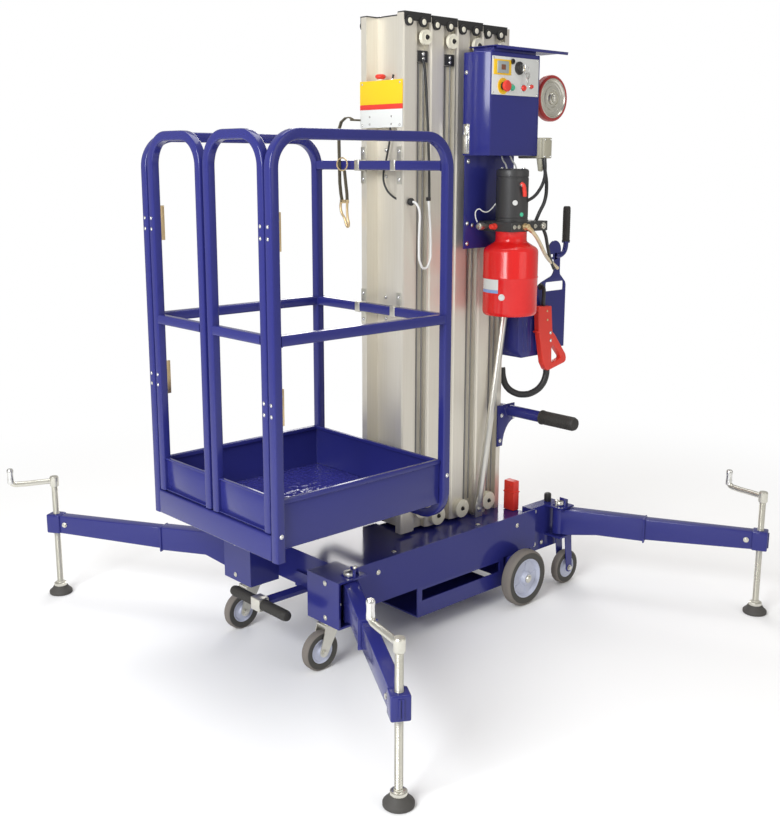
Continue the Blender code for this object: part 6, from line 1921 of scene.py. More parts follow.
@dataclass
class Panel:
    """The white control panel: gauge, key switch with its keys, stop button and push buttons."""

    face_x: float = 0.2353
    top_x: float = 0.2375
    low: tuple[float, float] = (0.162, 1.738)
    high: tuple[float, float] = (0.389, 1.856)
    origin: tuple[float, float] = (0.142, 1.87)

    def build(self) -> None:
        """Make the plate and everything on it."""
        plate = Bench.block(
            "panel_plate", (self.face_x, self.low[0], self.low[1]), (self.top_x, self.high[0], self.high[1]), 0.0009
        )
        self._add(plate, WHITE)
        self._gauge()
        self._buttons()
        self._key_switch()
        corners = [
            ((self.top_x, y, z), (1, 0, 0)) for y in (self.low[0] + 0.006, self.high[0] - 0.006)
            for z in (self.low[1] + 0.006, self.high[1] - 0.006)
        ]
        Fasteners.set("panel_screws", "base", Fitting.DOME, 0.003, corners)

    @staticmethod
    def _add(piece: Item, finish: Finish) -> None:
        """Ride the base in the place of the frame's panel."""
        finish.fit(piece, "base", "control_panel")

    def _at(self, along: float, drop: float) -> Vector:
        """A point on the panel's face, from the box's front and top."""
        return Vector((self.top_x, self.origin[0] + along, self.origin[1] - drop))

    def _turned(
        self, name: str, along: float, drop: float, profile: Sequence[tuple[float, float]], finish: Finish
    ) -> None:
        """A round piece on the panel."""
        piece = Bench.turned(name, profile, Axis.X, self._at(along, drop) - Vector((0.0003, 0, 0)), 40)
        self._add(piece, finish)

    def _gauge(self) -> None:
        """Yellow bezel, grey glass and brown display of the battery gauge."""
        middle = self._at(0.0675, 0.047)
        for name, half, rise, edge, finish in (
            ("gauge_bezel", (0.041, 0.0235), 0.0018, 0.0008, YELLOW),
            ("gauge_body", (0.0265, 0.0185), 0.0052, 0.0016, SCREEN),
            ("gauge_display", (0.01, 0.008), 0.006, 0.0004, LCD)
        ):
            piece = Bench.block(
                name, (self.top_x - 0.0003, middle.y - half[0], middle.z - half[1]),
                (self.top_x + rise, middle.y + half[0], middle.z + half[1]), edge, 3
            )
            self._add(piece, finish)
        socket = Bench.turned(
            "panel_socket",
            [(0, 0), (0.0085, 0), (0.0085, 0.005), (0.0065, 0.0062), (0.0045, 0.0062), (0.0045, 0.003), (0, 0.003)],
            Axis.X, (self.top_x - 0.0003, 0.257, 1.843), 28
        )
        self._add(socket, CAP_BLACK)

    def _buttons(self) -> None:
        """Mushroom stop button on its yellow ring, and three push buttons with pale rings."""
        self._turned(
            "stop_ring", 0.072, 0.105, [(0, 0), (0.0255, 0), (0.0255, 0.0016), (0.025, 0.0021), (0, 0.0021)], YELLOW
        )
        self._turned(
            "stop_neck", 0.072, 0.105, [(0, 0.002), (0.0125, 0.002), (0.0125, 0.009), (0.0085, 0.0105), (0, 0.0105)],
            CAP_BLACK
        )
        self._turned(
            "stop_head", 0.072, 0.105,
            [
                (0, 0.0095), (0.0105, 0.0095), (0.016, 0.0125), (0.018, 0.0165), (0.0178, 0.02), (0.015, 0.0232),
                (0.01, 0.0242), (0, 0.0245)
            ],
            RED_PLASTIC
        )
        for name, along, drop, radius, finish in (
            ("green", 0.113, 0.108, 0.0105, GREEN), ("red", 0.169, 0.107, 0.0105, RED_PLASTIC),
            ("small", 0.207, 0.101, 0.007, RED_PLASTIC)
        ):
            self._turned(
                f"{name}_button_ring", along, drop,
                [
                    (radius * 0.86, 0), (radius * 1.22, 0), (radius * 1.22, 0.0028), (radius * 1.12, 0.004),
                    (radius * 0.92, 0.004), (radius * 0.86, 0.003), (radius * 0.86, 0)
                ],
                BRIGHT
            )
            self._turned(
                f"{name}_button_cap", along, drop,
                [
                    (0, 0.0002), (radius * 0.84, 0.0002), (radius * 0.84, 0.008), (radius * 0.72, 0.0098),
                    (radius * 0.4, 0.0092), (0, 0.009)
                ],
                finish
            )

    def _key_switch(self) -> None:
        """Black key switch, its key, and the spare key on a ring."""
        self._turned(
            "key_collar", 0.148, 0.046,
            [
                (0, 0), (0.0205, 0), (0.0205, 0.0045), (0.0185, 0.0065), (0.015, 0.007), (0.014, 0.0105),
                (0.012, 0.012), (0.0052, 0.012), (0.0048, 0.0095), (0, 0.0095)
            ],
            CAP_BLACK
        )
        centre = self._at(0.148, 0.046)
        bow = Bench.block(
            "bow", (centre.x + 0.009, centre.y - 0.0022, centre.z - 0.011),
            (centre.x + 0.0285, centre.y - 0.0002, centre.z + 0.011), 0.0009
        )
        hoop = Bench.line(
            "hoop",
            [
                (centre.x + 0.023, centre.y + 0.0105 + 0.0125 * math.cos(a), centre.z - 0.007 + 0.0125 * math.sin(a))
                for a in [math.tau * k / 20 for k in range(21)]
            ],
            0.0009, 2, soft=False
        )
        blade = Bench.block(
            "blade", (centre.x + 0.022, centre.y + 0.014, centre.z - 0.056),
            (centre.x + 0.024, centre.y + 0.021, centre.z - 0.03), 0.0006
        )
        spare = Bench.turned(
            "spare", [(0.0042, -0.001), (0.0105, -0.001), (0.0105, 0.001), (0.0042, 0.001), (0.0042, -0.001)], Axis.X,
            (centre.x + 0.023, centre.y + 0.0175, centre.z - 0.0235), 24
        )
        keys = Bench.join("panel_keys", [bow, hoop, blade, spare])
        self._add(keys, BRIGHT)


@dataclass
class PumpUnit:
    """Mount plate, motor, valve block with its fittings, oil tank, hoses and wiring."""

    x: float = 0.226
    y: float = 0.285
    motor: float = 0.0535
    tank: float = 0.0915
    block_low: tuple[float, float, float] = (0.1313, 0.227, 1.3038)
    block_high: tuple[float, float, float] = (0.278, 0.41, 1.336)

    def build(self) -> None:
        """Make the unit from the plate outwards."""
        self._plate()
        self._motor()
        self._valve_block()
        self._tank()
        self._lines()

    def _plate(self) -> None:
        """The blue plate on its standoff, with its bolts."""
        plate = Bench.block("plate", (0.126, 0.158, 1.245), (0.131, 0.4, 1.87), 0.0014, 2)
        standoff = Bench.block("standoff", (0.0998, 0.2955, 1.265), (0.127, 0.395, 1.85), 0.002, 2)
        BLUE.fit(Bench.join("pump_plate", [plate, standoff]), "base", "mount_plate")
        seats = [
            ((0.131, y, z), (1, 0, 0))
            for y, z in ((0.172, 1.329), (0.196, 1.322), (0.172, 1.262), (0.385, 1.262), (0.172, 1.53), (0.385, 1.5))
        ]
        Fasteners.set("plate_bolts", "base", Fitting.DOME, 0.0064, seats)

    def _motor(self) -> None:
        """Black motor with a rounded cap, its through bolts, terminals and blank round marks."""
        r = self.motor
        low, top = 1.3363, 1.507
        body = Bench.turned(
            "motor_can",
            [
                (0, low), (r, low), (r, low + 0.01), (r - 0.001, low + 0.011), (r - 0.001, low + 0.0125),
                (r, low + 0.0135), (r, top - 0.03), (r - 0.0016, top - 0.029), (r - 0.0016, top - 0.026),
                (r, top - 0.025), (r, top - 0.008), (r - 0.0022, top - 0.0032), (r - 0.007, top - 0.0006),
                (r - 0.012, top), (0, top)
            ],
            Axis.Z, (self.x, self.y, 0), 72
        )
        MOTOR_BLACK.fit(body, "base", "pump_motor")
        seats = [((self.x + 0.036 * math.cos(a), self.y + 0.036 * math.sin(a), top), (0, 0, 1)) for a in (0.6, 3.74)]
        Fasteners.set("motor_bolts", "base", Fitting.HEX, 0.005, seats)
        facing = math.radians(-42.0)
        for name, turn, z, radius, finish in (
            ("white_mark", 4.0, 1.398, 0.0085, WHITE), ("green_mark", 30.0, 1.36, 0.007, GREEN)
        ):
            angle = facing + math.radians(turn)
            out = Vector((math.cos(angle), math.sin(angle), 0))
            place = Vector((self.x, self.y, z)) + out * (r - 0.0003)
            mark = Bench.turned(
                f"motor_{name}", [(0, 0), (radius, 0), (radius, 0.0009), (radius - 0.0006, 0.0014), (0, 0.0014)],
                Axis.Z, (0, 0, 0), 28
            )
            finish.fit(Bench.aim(mark, place, out), "base")
        angle = facing + math.radians(22.0)
        out = Vector((math.cos(angle), math.sin(angle), 0))
        side = Vector((-out.y, out.x, 0))
        post = Vector((self.x, self.y, 1.455)) + out * (r - 0.001)
        stud = Bench.bar("stud", post, post + out * 0.014, 0.005, 20, 0.0006)
        BRIGHT.fit(stud, "base")
        boot = Bench.line(
            "terminal_boot",
            [
                post + out * 0.006 + Vector((0, 0, 0.004)), post + out * 0.012 + side * 0.004,
                post + out * 0.011 + side * 0.01 + Vector((0, 0, -0.018)),
                post + out * 0.009 + side * 0.013 + Vector((0, 0, -0.036))
            ],
            0.0068, 4
        )
        RED_PLASTIC.fit(boot, "base")

    def _valve_block(self) -> None:
        """Black valve block, its screws, the pale release valve, the red cap and the brass fitting."""
        block = Bench.block("valve_block", self.block_low, self.block_high, 0.0022, 3)
        MOTOR_BLACK.fit(block, "base", "pump_manifold")
        z = 1.32
        outer = self.block_high[0]
        front = self.block_low[1]
        knob = Bench.turned(
            "valve_knob",
            [
                (0, -0.004), (0.008, -0.004), (0.008, 0.014), (0.0118, 0.0155), (0.0124, 0.02), (0.0124, 0.032),
                (0.0118, 0.036), (0.0065, 0.0375), (0.006, 0.044), (0, 0.0445)
            ],
            Axis.Z, (0, 0, 0), 36
        )
        ZINC.fit(Bench.aim(knob, (0.166, front, z), (0, -1, 0)), "base", "pump_manifold")
        stem = Bench.turned(
            "valve_cap",
            [
                (0, -0.004), (0.0105, -0.004), (0.0105, 0.006), (0.0085, 0.008), (0.0085, 0.02), (0.007, 0.0225),
                (0, 0.0225)
            ],
            Axis.Z, (0, 0, 0), 32
        )
        RED_PLASTIC.fit(Bench.aim(stem, (0.206, front, z), (0, -1, 0)), "base", "pump_manifold")
        fitting_parts = [
            Bench.bar("nut", (outer - 0.002, self.y + 0.004, z), (outer + 0.008, self.y + 0.004, z), 0.0125, 6, 0.001),
            Bench.bar("collar", (outer, self.y + 0.004, z), (outer + 0.02, self.y + 0.004, z), 0.0098, 28, 0.0015),
            Bench.bar("barb", (0.292, self.y + 0.004, z), (0.292, self.y + 0.026, z - 0.014), 0.0082, 24, 0.001)
        ]
        fitting = Bench.join("hose_fitting", fitting_parts)
        BRASS.fit(fitting, "base", "pump_manifold")
        plug = Bench.join(
            "side_plug",
            [
                Bench.bar("plug", (outer - 0.002, 0.384, z), (outer + 0.006, 0.384, z), 0.0115, 6, 0.0008),
                Bench.bar("stub", (outer, 0.384, z), (outer + 0.01, 0.384, z), 0.0065, 24, 0.0008)
            ]
        )
        ZINC.fit(plug, "base", "pump_manifold")
        seats = [((outer, y, 1.32), (1, 0, 0)) for y in (0.24, 0.262, 0.345)]
        Fasteners.set("block_screws", "base", Fitting.SOCKET, 0.0062, seats, ZINC)

    def _tank(self) -> None:
        """Red oil tank with its rolled seam, a blank label and a blank round plug."""
        r = self.tank
        tank = Bench.turned(
            "oil_reservoir",
            [
                (0, 1.025), (r - 0.014, 1.025), (r - 0.006, 1.0268), (r - 0.0015, 1.032), (r, 1.04), (r, 1.1495),
                (r + 0.0008, 1.151), (r + 0.0014, 1.153), (r + 0.0008, 1.155), (r, 1.1565), (r, 1.236),
                (r - 0.0022, 1.244), (r - 0.008, 1.251), (r - 0.02, 1.258), (0.06, 1.2655), (0.0548, 1.2685),
                (0.0525, 1.273), (0.052, 1.279), (0.052, 1.3), (0.0528, 1.3012), (0.0528, 1.3034), (0, 1.3034)
            ],
            Axis.Z, (self.x, self.y, 0), 96
        )
        RED.fit(tank, "base", "oil_tank")
        start = math.radians(-123.0)
        sweep = math.radians(49.0)
        count = 12
        turns = [start + sweep * k / count for k in range(count + 1)]
        for name, low, high, finish in (("upper", 1.1145, 1.149, WHITE), ("lower", 1.104, 1.114, LABEL_BLUE)):
            outline = [
                (self.x + reach * math.cos(a), self.y + reach * math.sin(a), low)
                for reach, angles in ((r + 0.0002, turns), (r + 0.0008, turns[::-1])) for a in angles
            ]
            finish.fit(Bench.plate(f"tank_label_{name}", outline, (0, 0, high - low)), "base")
        angle = math.radians(-66.0)
        out = Vector((math.cos(angle), math.sin(angle), 0))
        plug = Bench.turned(
            "tank_plug",
            [(0, 0), (0.0108, 0), (0.0108, 0.0022), (0.0095, 0.0032), (0.0062, 0.0032), (0.0055, 0.0022), (0, 0.0022)],
            Axis.Z, (0, 0, 0), 32
        )
        WHITE.fit(Bench.aim(plug, Vector((self.x, self.y, 1.092)) + out * (r - 0.0006), out), "base")

    def _lines(self) -> None:
        """The amber hose and its dark return line, the motor's cables and the thin wires."""
        table = (
            (
                "pump_hose", 0.0066, HOSE, "stiff", "pump_manifold",
                (
                    (0.292, 0.303, 1.312), (0.291, 0.33, 1.292), (0.275, 0.375, 1.262), (0.25, 0.425, 1.233),
                    (0.222, 0.478, 1.208), (0.199, 0.53, 1.186), (0.185, 0.575, 1.166), (0.1826, 0.59, 1.158)
                )
            ),
            (
                "return_line", 0.0058, CABLE, "stiff", None,
                (
                    (0.268, 0.402, 1.3045), (0.262, 0.42, 1.286), (0.248, 0.447, 1.255), (0.228, 0.482, 1.222),
                    (0.206, 0.52, 1.194), (0.19, 0.552, 1.172), (0.1822, 0.57, 1.158)
                )
            ),
            (
                "motor_cable_front", 0.0055, CABLE, "medium", None,
                (
                    (0.262, 0.404, 1.5405), (0.268, 0.4, 1.51), (0.281, 0.38, 1.472), (0.287, 0.352, 1.44),
                    (0.283, 0.328, 1.417), (0.2735, 0.3075, 1.404)
                )
            ),
            (
                "motor_cable_rear", 0.006, CABLE, "medium", None,
                (
                    (0.248, 0.412, 1.5405), (0.256, 0.414, 1.5), (0.272, 0.405, 1.45), (0.276, 0.392, 1.4),
                    (0.266, 0.378, 1.362), (0.258, 0.372, 1.3365)
                )
            ),
            (
                "valve_wire", 0.002, WHITE_CABLE, "limp", None,
                (
                    (0.184, 0.253, 1.394), (0.176, 0.24, 1.376), (0.168, 0.226, 1.366), (0.161, 0.213, 1.369),
                    (0.155, 0.203, 1.376), (0.149, 0.195, 1.37), (0.15, 0.191, 1.352), (0.158, 0.192, 1.333)
                )
            )
        )
        for name, radius, finish, stiffness, stands_for, route in table:
            Harness.lay(name, route, radius, finish, "base", stiffness, stands_for)
        for side, route in (
            ("left", ((0.196, 0.262, 1.5482), (0.198, 0.267, 1.534), (0.204, 0.274, 1.52), (0.207, 0.277, 1.5065))),
            ("right", ((0.214, 0.284, 1.5482), (0.217, 0.291, 1.533), (0.223, 0.299, 1.52), (0.226, 0.303, 1.5065)))
        ):
            GREY_CABLE.fit(Bench.line(f"grey_wire_{side}", route, 0.0026, 3), "base")


@dataclass
class RearEquipment:
    """Battery box, handle plate with its grip, charging plug, push bar and the deck plug."""

    plate_x: float = 0.1703
    plate_thick: float = 0.005
    plug_x: float = 0.1756
    plug_thick: float = 0.024
    front_y: float = 0.49
    rear_y: float = 0.65
    plug_top: float = 1.032
    hook: tuple[float, float] = (0.582, 1.222)
    push_y: float = 0.44
    push_z: float = 0.648

    def build(self) -> None:
        """Make each piece in turn."""
        self._battery_box()
        self._handle_plate()
        self._plug()
        self._push_bar()
        self._deck_plug()

    def _battery_box(self) -> None:
        """Folded box with a chamfered foot, pressed ribs on its sides and a lid seam."""
        wall = 0.4003
        outline = [
            (-0.17, wall, 1.01), (-0.17, wall, 0.88), (-0.17, 0.421, 0.85), (-0.17, 0.54, 0.85), (-0.17, 0.54, 1.01)
        ]
        box = Bench.plate("battery_case", outline, (0.34, 0, 0), 0.004, 3)
        seam = Bench.block("seam", (-0.18, wall - 0.01, 0.995), (0.18, 0.56, 0.9962))
        rim = Bench.block("rim", (-0.1688, wall + 0.001, 0.99), (0.1688, 0.5388, 1.001))
        Bench.cut(box, seam)
        ribs = []
        for _, sign in SIDES:
            x = sign * 0.1685
            for y in (0.424, 0.446, 0.468):
                ribs.append(Bench.bar("rib", (x, y, 0.868), (x, y, 0.985), 0.0042, 16, 0.0016))
        piece = Bench.join("battery_case", [box, rim, *ribs])
        Bench.smooth(piece, 38.0)
        BLUE.fit(piece, "base", "battery_box")

    def _handle_plate(self) -> None:
        """Shouldered plate with a hand slot, a hooked head, a bent stem and a ribbed black grip."""
        x = self.plate_x
        front, rear = self.front_y, self.rear_y
        hook_y, hook_z = self.hook
        outline = [
            (front, 0.87), (rear, 0.87), (rear, 1.096), (rear - 0.004, 1.106), (rear - 0.014, 1.116), (0.624, 1.127),
            (0.616, 1.134), (0.614, 1.144), (0.614, hook_z - 0.01), (0.581, hook_z - 0.01), (0.581, 1.15),
            (0.578, 1.141), (0.568, 1.131), (0.53, 1.118), (0.512, 1.112), (0.498, 1.104), (front + 0.001, 1.094),
            (front, 1.084)
        ]
        plate = Bench.plate("plate", [(x, y, z) for y, z in outline], (self.plate_thick, 0, 0))
        slot = Bench.block("slot", (x - 0.01, rear - 0.114, 1.078), (x + 0.02, rear - 0.014, 1.11), 0.006, 4)
        head = Bench.bar("head", (x, hook_y, hook_z), (x + self.plate_thick, hook_y, hook_z), 0.034, 48)
        crescent = Bench.block(
            "crescent", (x - 0.01, hook_y - 0.05, hook_z - 0.024), (x + 0.02, 0.577, hook_z - 0.014), 0.004, 3
        )
        Bench.cut(plate, slot)
        Bench.cut(head, crescent)
        Bench.bevel(plate, 0.0009, 2, 50.0)
        Bench.bevel(head, 0.0009, 2, 50.0)
        middle = x + self.plate_thick / 2
        grip_y = rear - 0.005
        stem = Bench.line(
            "stem",
            [
                (middle, hook_y + 0.006, hook_z - 0.018), (middle, 0.604, hook_z - 0.021),
                (middle, 0.626, hook_z - 0.015), (middle, 0.64, hook_z - 0.002), (middle, grip_y, hook_z + 0.016),
                (middle, grip_y, 1.36)
            ],
            0.0094, 5
        )
        collar = Bench.bar("collar", (middle, grip_y, 1.2455), (middle, grip_y, 1.25), 0.0145, 32, 0.001)
        BLUE.fit(Bench.join("carry_plate", [plate, head, stem, collar]), "base", "handle_plate")
        grip = self.grip("carry_grip", (middle, grip_y, 1.2502), (0, 0, 1), 0.1246, 0.0146)
        GRIP_BLACK.fit(grip, "base", "handle_plate")

    @staticmethod
    def grip(name: str, start: Point, along: Point, length: float, radius: float) -> Item:
        """A rubber grip with a flange, shallow rings and a rounded end."""
        profile = [(0.0, 0.0), (radius, 0.0), (radius, 0.004), (radius * 0.9, 0.006)]
        z = 0.01
        while z < length - 0.014:
            profile += [
                (radius * 0.9, z), (radius * 0.94, z + 0.0012), (radius * 0.94, z + 0.0042), (radius * 0.9, z + 0.0054)
            ]
            z += 0.0072
        profile += [
            (radius * 0.9, length - 0.008), (radius * 0.8, length - 0.002), (radius * 0.62, length), (0.0, length)
        ]
        grip = Bench.turned(name, profile, Axis.Z, (0, 0, 0), 36)
        return Bench.aim(grip, start, along)

    def _plug(self) -> None:
        """Red charging plug with its pull loop, rivets, cable, grommet and sleeve."""
        x = self.plug_x
        y, z = self.front_y, self.plug_top
        outline = [
            (y - 0.018, z), (y + 0.055, z - 0.004), (y + 0.064, z - 0.096), (y + 0.08, z - 0.11),
            (y + 0.143, z - 0.186), (y + 0.1475, z - 0.2), (y + 0.146, z - 0.212), (y + 0.138, z - 0.218),
            (y + 0.053, z - 0.236), (y + 0.042, z - 0.236), (y + 0.034, z - 0.232), (y + 0.016, z - 0.206),
            (y + 0.002, z - 0.143), (y - 0.011, z - 0.091)
        ]
        body = Bench.plate("plug", [(x + 0.0003, py, pz) for py, pz in outline], (self.plug_thick - 0.0006, 0, 0))
        loop = Bench.plate(
            "loop",
            [
                (x - 0.01, y + py, z + pz)
                for py, pz in (
                    (0.068, -0.147), (0.076, -0.15), (0.114, -0.19), (0.1175, -0.196), (0.112, -0.201), (0.07, -0.211),
                    (0.064, -0.208), (0.062, -0.156)
                )
            ],
            (self.plug_thick + 0.02, 0, 0)
        )
        Bench.cut(body, loop)
        Bench.bevel(body, 0.0032, 3, 50.0)
        cap = Bench.block(
            "cap", (x + 0.0015, y - 0.02, z - 0.094), (x + self.plug_thick - 0.0005, y + 0.064, z - 0.088), 0.002
        )
        RED_PLASTIC.fit(Bench.join("charging_plug", [body, cap]), "base", "battery_plug")
        outer = x + self.plug_thick - 0.0003
        pale = [((outer, y + py, z + pz), (1, 0, 0)) for py, pz in ((0.052, -0.1), (0.054, -0.128))]
        Fasteners.set("plug_screws", "base", Fitting.DOME, 0.0052, pale)
        rivets = [((outer, y + py, z + pz), (1, 0, 0)) for py, pz in ((0.03, -0.02), (0.033, -0.052))]
        Fasteners.set("plug_rivets", "base", Fitting.DOME, 0.0034, rivets, BRASS)
        middle = x + self.plug_thick / 2
        grommet = Bench.turned(
            "plug_grommet",
            [(0, -0.0002), (0.012, -0.0002), (0.012, 0.0022), (0.0098, 0.004), (0.0092, 0.01), (0, 0.01)], Axis.X,
            (x, y + 0.016, z + 0.066), 28
        )
        GRIP_BLACK.fit(grommet, "base", "battery_plug")
        cable = Bench.line(
            "plug_cable",
            [
                (x + 0.0085, y + 0.016, z + 0.0665), (middle + 0.004, y + 0.0155, z + 0.06),
                (middle + 0.006, y + 0.015, z + 0.045), (middle + 0.004, y + 0.017, z + 0.026),
                (middle, y + 0.021, z + 0.008), (middle, y + 0.023, z - 0.003)
            ],
            0.0069, 4
        )
        CABLE.fit(cable, "base", "battery_plug")
        Harness.lay(
            "plug_sleeve",
            [
                (middle, y + 0.05, z - 0.229), (middle - 0.001, y + 0.049, z - 0.256),
                (middle - 0.006, y + 0.034, z - 0.29), (0.168, y + 0.006, z - 0.314), (0.148, y - 0.028, z - 0.322),
                (0.126, y - 0.054, z - 0.314), (0.106, y - 0.07, z - 0.294), (0.093, y - 0.0755, z - 0.264),
                (0.0865, y - 0.076, z - 0.226)
            ],
            0.0119, CABLE, "base", "medium", "battery_plug"
        )

    def _push_bar(self) -> None:
        """Round push bar with gusset plates, their bolts and two black grips."""
        bar = Bench.bar("bar", (-0.256, self.push_y, self.push_z), (0.256, self.push_y, self.push_z), 0.0199, 48, 0.001)
        near = 0.38
        low, top = 0.52, 0.672
        outline = [
            (near, top), (near, low), (near + 0.028, low), (near + 0.031, low + 0.022), (near + 0.037, low + 0.044),
            (near + 0.048, low + 0.064), (near + 0.06, low + 0.078), (near + 0.074, low + 0.088),
            (near + 0.091, low + 0.092), (near + 0.0915, top)
        ]
        parts = [bar]
        seats = []
        for _, sign in SIDES:
            start = sign * 0.0968
            parts.append(Bench.plate("gusset", [(start, y, z) for y, z in outline], (sign * 0.0048, 0, 0), 0.001))
            collar = Bench.turned(
                "collar", [(0.0198, 0), (0.024, 0), (0.0232, 0.003), (0.0205, 0.005), (0.0198, 0.005), (0.0198, 0)],
                Axis.Z, (0, 0, 0), 40
            )
            parts.append(Bench.aim(collar, (start + sign * 0.0048, self.push_y, self.push_z), (sign, 0, 0)))
            for y, z in ((0.401, 0.634), (0.466, 0.64), (0.467, 0.618), (0.394, 0.541)):
                seats.append(((start + sign * 0.0048, y, z), (sign, 0, 0)))
        BLUE.fit(Bench.join("push_handle", parts), "base", "push_bar")
        for side, sign in SIDES:
            grip = self.grip(
                f"push_grip_{side}", (sign * 0.2552, self.push_y, self.push_z), (sign, 0, 0), 0.1476, 0.0258
            )
            GRIP_BLACK.fit(grip, "base", "push_bar")
        Fasteners.set("gusset_bolts", "base", Fitting.DOME, 0.0064, seats)

    def _deck_plug(self) -> None:
        """Red battery connector that stands behind the mast, over the frame's own block."""
        x, y = 0.145, 0.415
        low = Bench.block("lower", (x - 0.024, y - 0.015, 0.2892), (x + 0.024, y + 0.015, 0.356), 0.0026, 3)
        upper = Bench.block("upper", (x - 0.0236, y - 0.0146, 0.35), (x + 0.0236, y + 0.0146, 0.3985), 0.0026, 3)
        lip = Bench.block("lip", (x - 0.0258, y - 0.0166, 0.354), (x + 0.0258, y + 0.0166, 0.36), 0.002, 2)
        eye = Bench.bar("eye", (x + 0.005, y - 0.0175, 0.383), (x + 0.005, y - 0.014, 0.383), 0.0062, 24, 0.0012)
        RED_PLASTIC.fit(Bench.join("deck_connector", [low, upper, lip, eye]), "base")


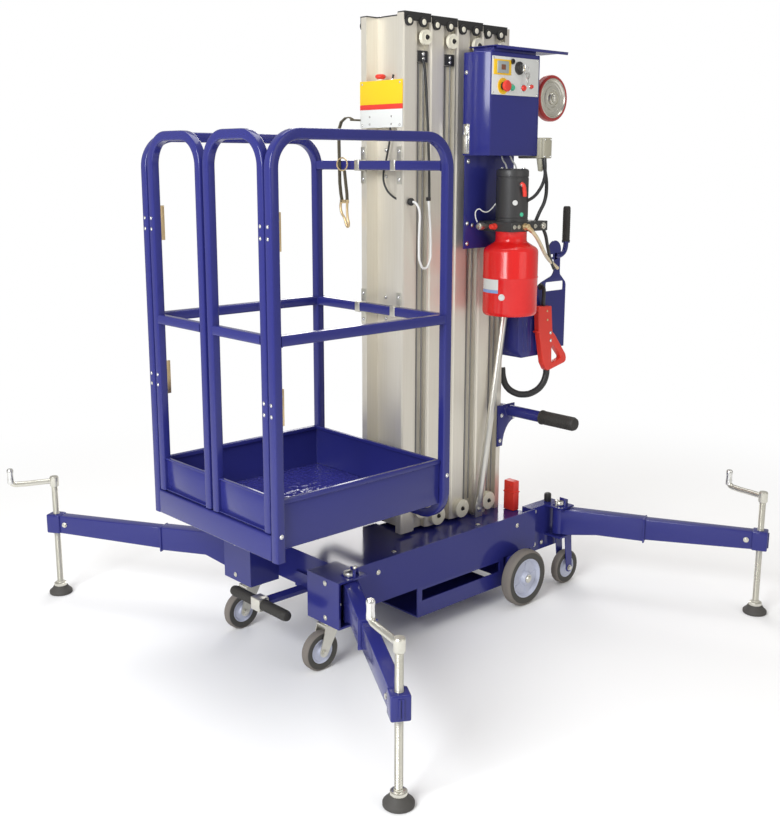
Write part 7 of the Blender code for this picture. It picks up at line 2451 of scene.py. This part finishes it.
@dataclass
class Base:
    """Zinc pins, lock pins, caster races, deck screws and the T-bar's grips."""

    pin_front: tuple[float, float] = (0.27, -0.467)
    pin_rear: tuple[float, float] = (0.265, 0.548)

    def build(self) -> None:
        """Make the base's metal and rubber pieces."""
        self._pins()
        self._casters()
        self._screws()
        self._tow_bar()

    def _pins(self) -> None:
        """Zinc heads over the outrigger pins, with the sprung lock pins beside them."""
        heads = []
        locks = []
        for place, out in ((self.pin_front, -1), (self.pin_rear, 1)):
            for _, sign in SIDES:
                x, y = sign * place[0], place[1]
                heads.append(
                    Bench.turned(
                        "head",
                        [
                            (0, 0.3052), (0.015, 0.3052), (0.0182, 0.3062), (0.0186, 0.3085), (0.0186, 0.315),
                            (0.0172, 0.3172), (0.007, 0.3178), (0.0062, 0.317), (0, 0.317)
                        ],
                        Axis.Z, (x, y, 0), 40
                    )
                )
                lock_y = y - out * 0.0215
                locks.append(
                    Bench.turned(
                        "lock",
                        [
                            (0, 0.3052), (0.0054, 0.3052), (0.0054, 0.3215), (0.0068, 0.3225), (0.0068, 0.3265),
                            (0.005, 0.3292), (0, 0.3296)
                        ],
                        Axis.Z, (x, lock_y, 0), 24
                    )
                )
        caps = []
        for _, sign in SIDES:
            caps.append(
                Bench.turned(
                    "cap",
                    [
                        (0, 0.3055), (0.0118, 0.3055), (0.013, 0.308), (0.0132, 0.33), (0.012, 0.3348), (0.008, 0.3368),
                        (0, 0.3372)
                    ],
                    Axis.Z, (sign * 0.2065, 0.548, 0), 28
                )
            )
        cap = Bench.join("rear_lock_knobs", caps)
        CAP_BLACK.fit(cap, "base")
        piece = Bench.join("outrigger_pin_heads", heads + locks)
        Bench.smooth(piece, 40.0)
        ZINC.fit(piece, "base")

    def _casters(self) -> None:
        """The races under the front plates and the axle nuts of the casters."""
        races = []
        for side, sign in SIDES:
            x, y = sign * 0.2075, -0.495
            races.append(
                Bench.turned(
                    "race",
                    [
                        (0.02, 0.1425), (0.0262, 0.1425), (0.0285, 0.144), (0.029, 0.1465), (0.0272, 0.149),
                        (0.0262, 0.15), (0.0285, 0.1515), (0.029, 0.1535), (0.0272, 0.1556), (0.02, 0.156),
                        (0.02, 0.1425)
                    ],
                    Axis.Z, (x, y, 0), 40
                )
            )
            centre = middle_of(f"caster_wheel_{side}")
            seats = [((centre.x + out * 0.0236, centre.y, centre.z), (out, 0, 0)) for out in (1, -1)]
            Fasteners.set(f"caster_axle_nuts_{side}", f"caster_{side}", Fitting.HEX, 0.0088, seats, ZINC)
        piece = Bench.join("caster_races", races)
        Bench.smooth(piece, 40.0)
        ZINC.fit(piece, "base")

    @staticmethod
    def _screws() -> None:
        """Bolts on the front brackets, the deck, the chassis sides and the load wheels' bracket."""
        seats: list[tuple[Point, Point]] = []
        for _, sign in SIDES:
            for x, z in ((0.236, 0.288), (0.236, 0.178)):
                seats.append(((sign * x, -0.535, z), (0, -1, 0)))
            for y in (-0.33, 0.33):
                seats.append(((sign * 0.248, y, 0.272), (sign, 0, 0)))
            for y, z in ((0.452, 0.29), (0.452, 0.165), (0.492, 0.165)):
                seats.append(((sign * 0.228, y, z), (sign, 0, 0)))
            for y in (-0.2, 0.2):
                seats.append(((sign * 0.18, y, 0.288), (0, 0, 1)))
        Fasteners.set("chassis_bolts", "base", Fitting.DOME, 0.007, seats, ZINC)

    @staticmethod
    def _tow_bar() -> None:
        """A zinc clamp, and ribbed rubber grips over the T-bar's arms."""
        clamp = Bench.block("tow_clamp", (-0.0228, -0.6262, 0.1512), (0.0228, -0.5878, 0.1928), 0.0026, 3)
        ZINC.fit(clamp, "base")
        for side, sign in SIDES:
            grip = RearEquipment.grip(f"tow_grip_{side}", (sign * 0.023, -0.607, 0.172), (sign, 0, 0), 0.121, 0.0186)
            GRIP_BLACK.fit(grip, "base")


class Painted:
    """CAD nodes whose shape is final and that only get a finish."""

    STEMS = (
        (DECK_BLUE, ("base_frame",)),
        (
            BLUE,
            (
                "fork_channel", "corner_bracket", "rear_axle", "outrigger", "mid_rail", "rear_bar", "platform_tray",
                "platform_sill", "mount_plate", "control_box", "control_hood", "load_wheel_bracket", "battery_box",
                "handle_plate", "push_bar", "tow_bar", "cage_side", "gate"
            )
        ),
        (ALUMINIUM, ("mast_section", "mast_brace")), (CAP_BLACK, ("mast_head",)), (ZINC, ("jack", "caster_fork")),
        (RED, ("oil_tank",)), (MOTOR_BLACK, ("pump_motor", "pump_manifold")), (RED_PLASTIC, ("battery_plug",)),
        (WHITE, ("control_panel",)), (YELLOW, ("platform_station",))
    )

    @classmethod
    def build(cls, nodes: dict[str, Item]) -> None:
        """Give each finish to the nodes whose names start with its stems."""
        for finish, stems in cls.STEMS:
            finish.dress(*(item for name, item in nodes.items() if name.startswith(stems)))


def main() -> None:
    """Dress the frame and build each sub-assembly in order."""
    logging.basicConfig(level=logging.INFO, format="%(name)s: %(message)s")
    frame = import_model()
    bpy.context.scene.view_settings.view_transform = "Standard"
    Studio().build()
    Painted.build(frame["nodes"])
    steps = (
        Wheels(), Platform(), Gates(), Station(), StationLeads(), Lanyard(), MastDressing(), Braces(), Jacks(), Arms(),
        ControlBox(), Panel(), PumpUnit(), RearEquipment(), Base()
    )
    for step in steps:
        step.build()
        LOG.info("built %s", type(step).__name__.lower())


if __name__ == "__main__":
    main()
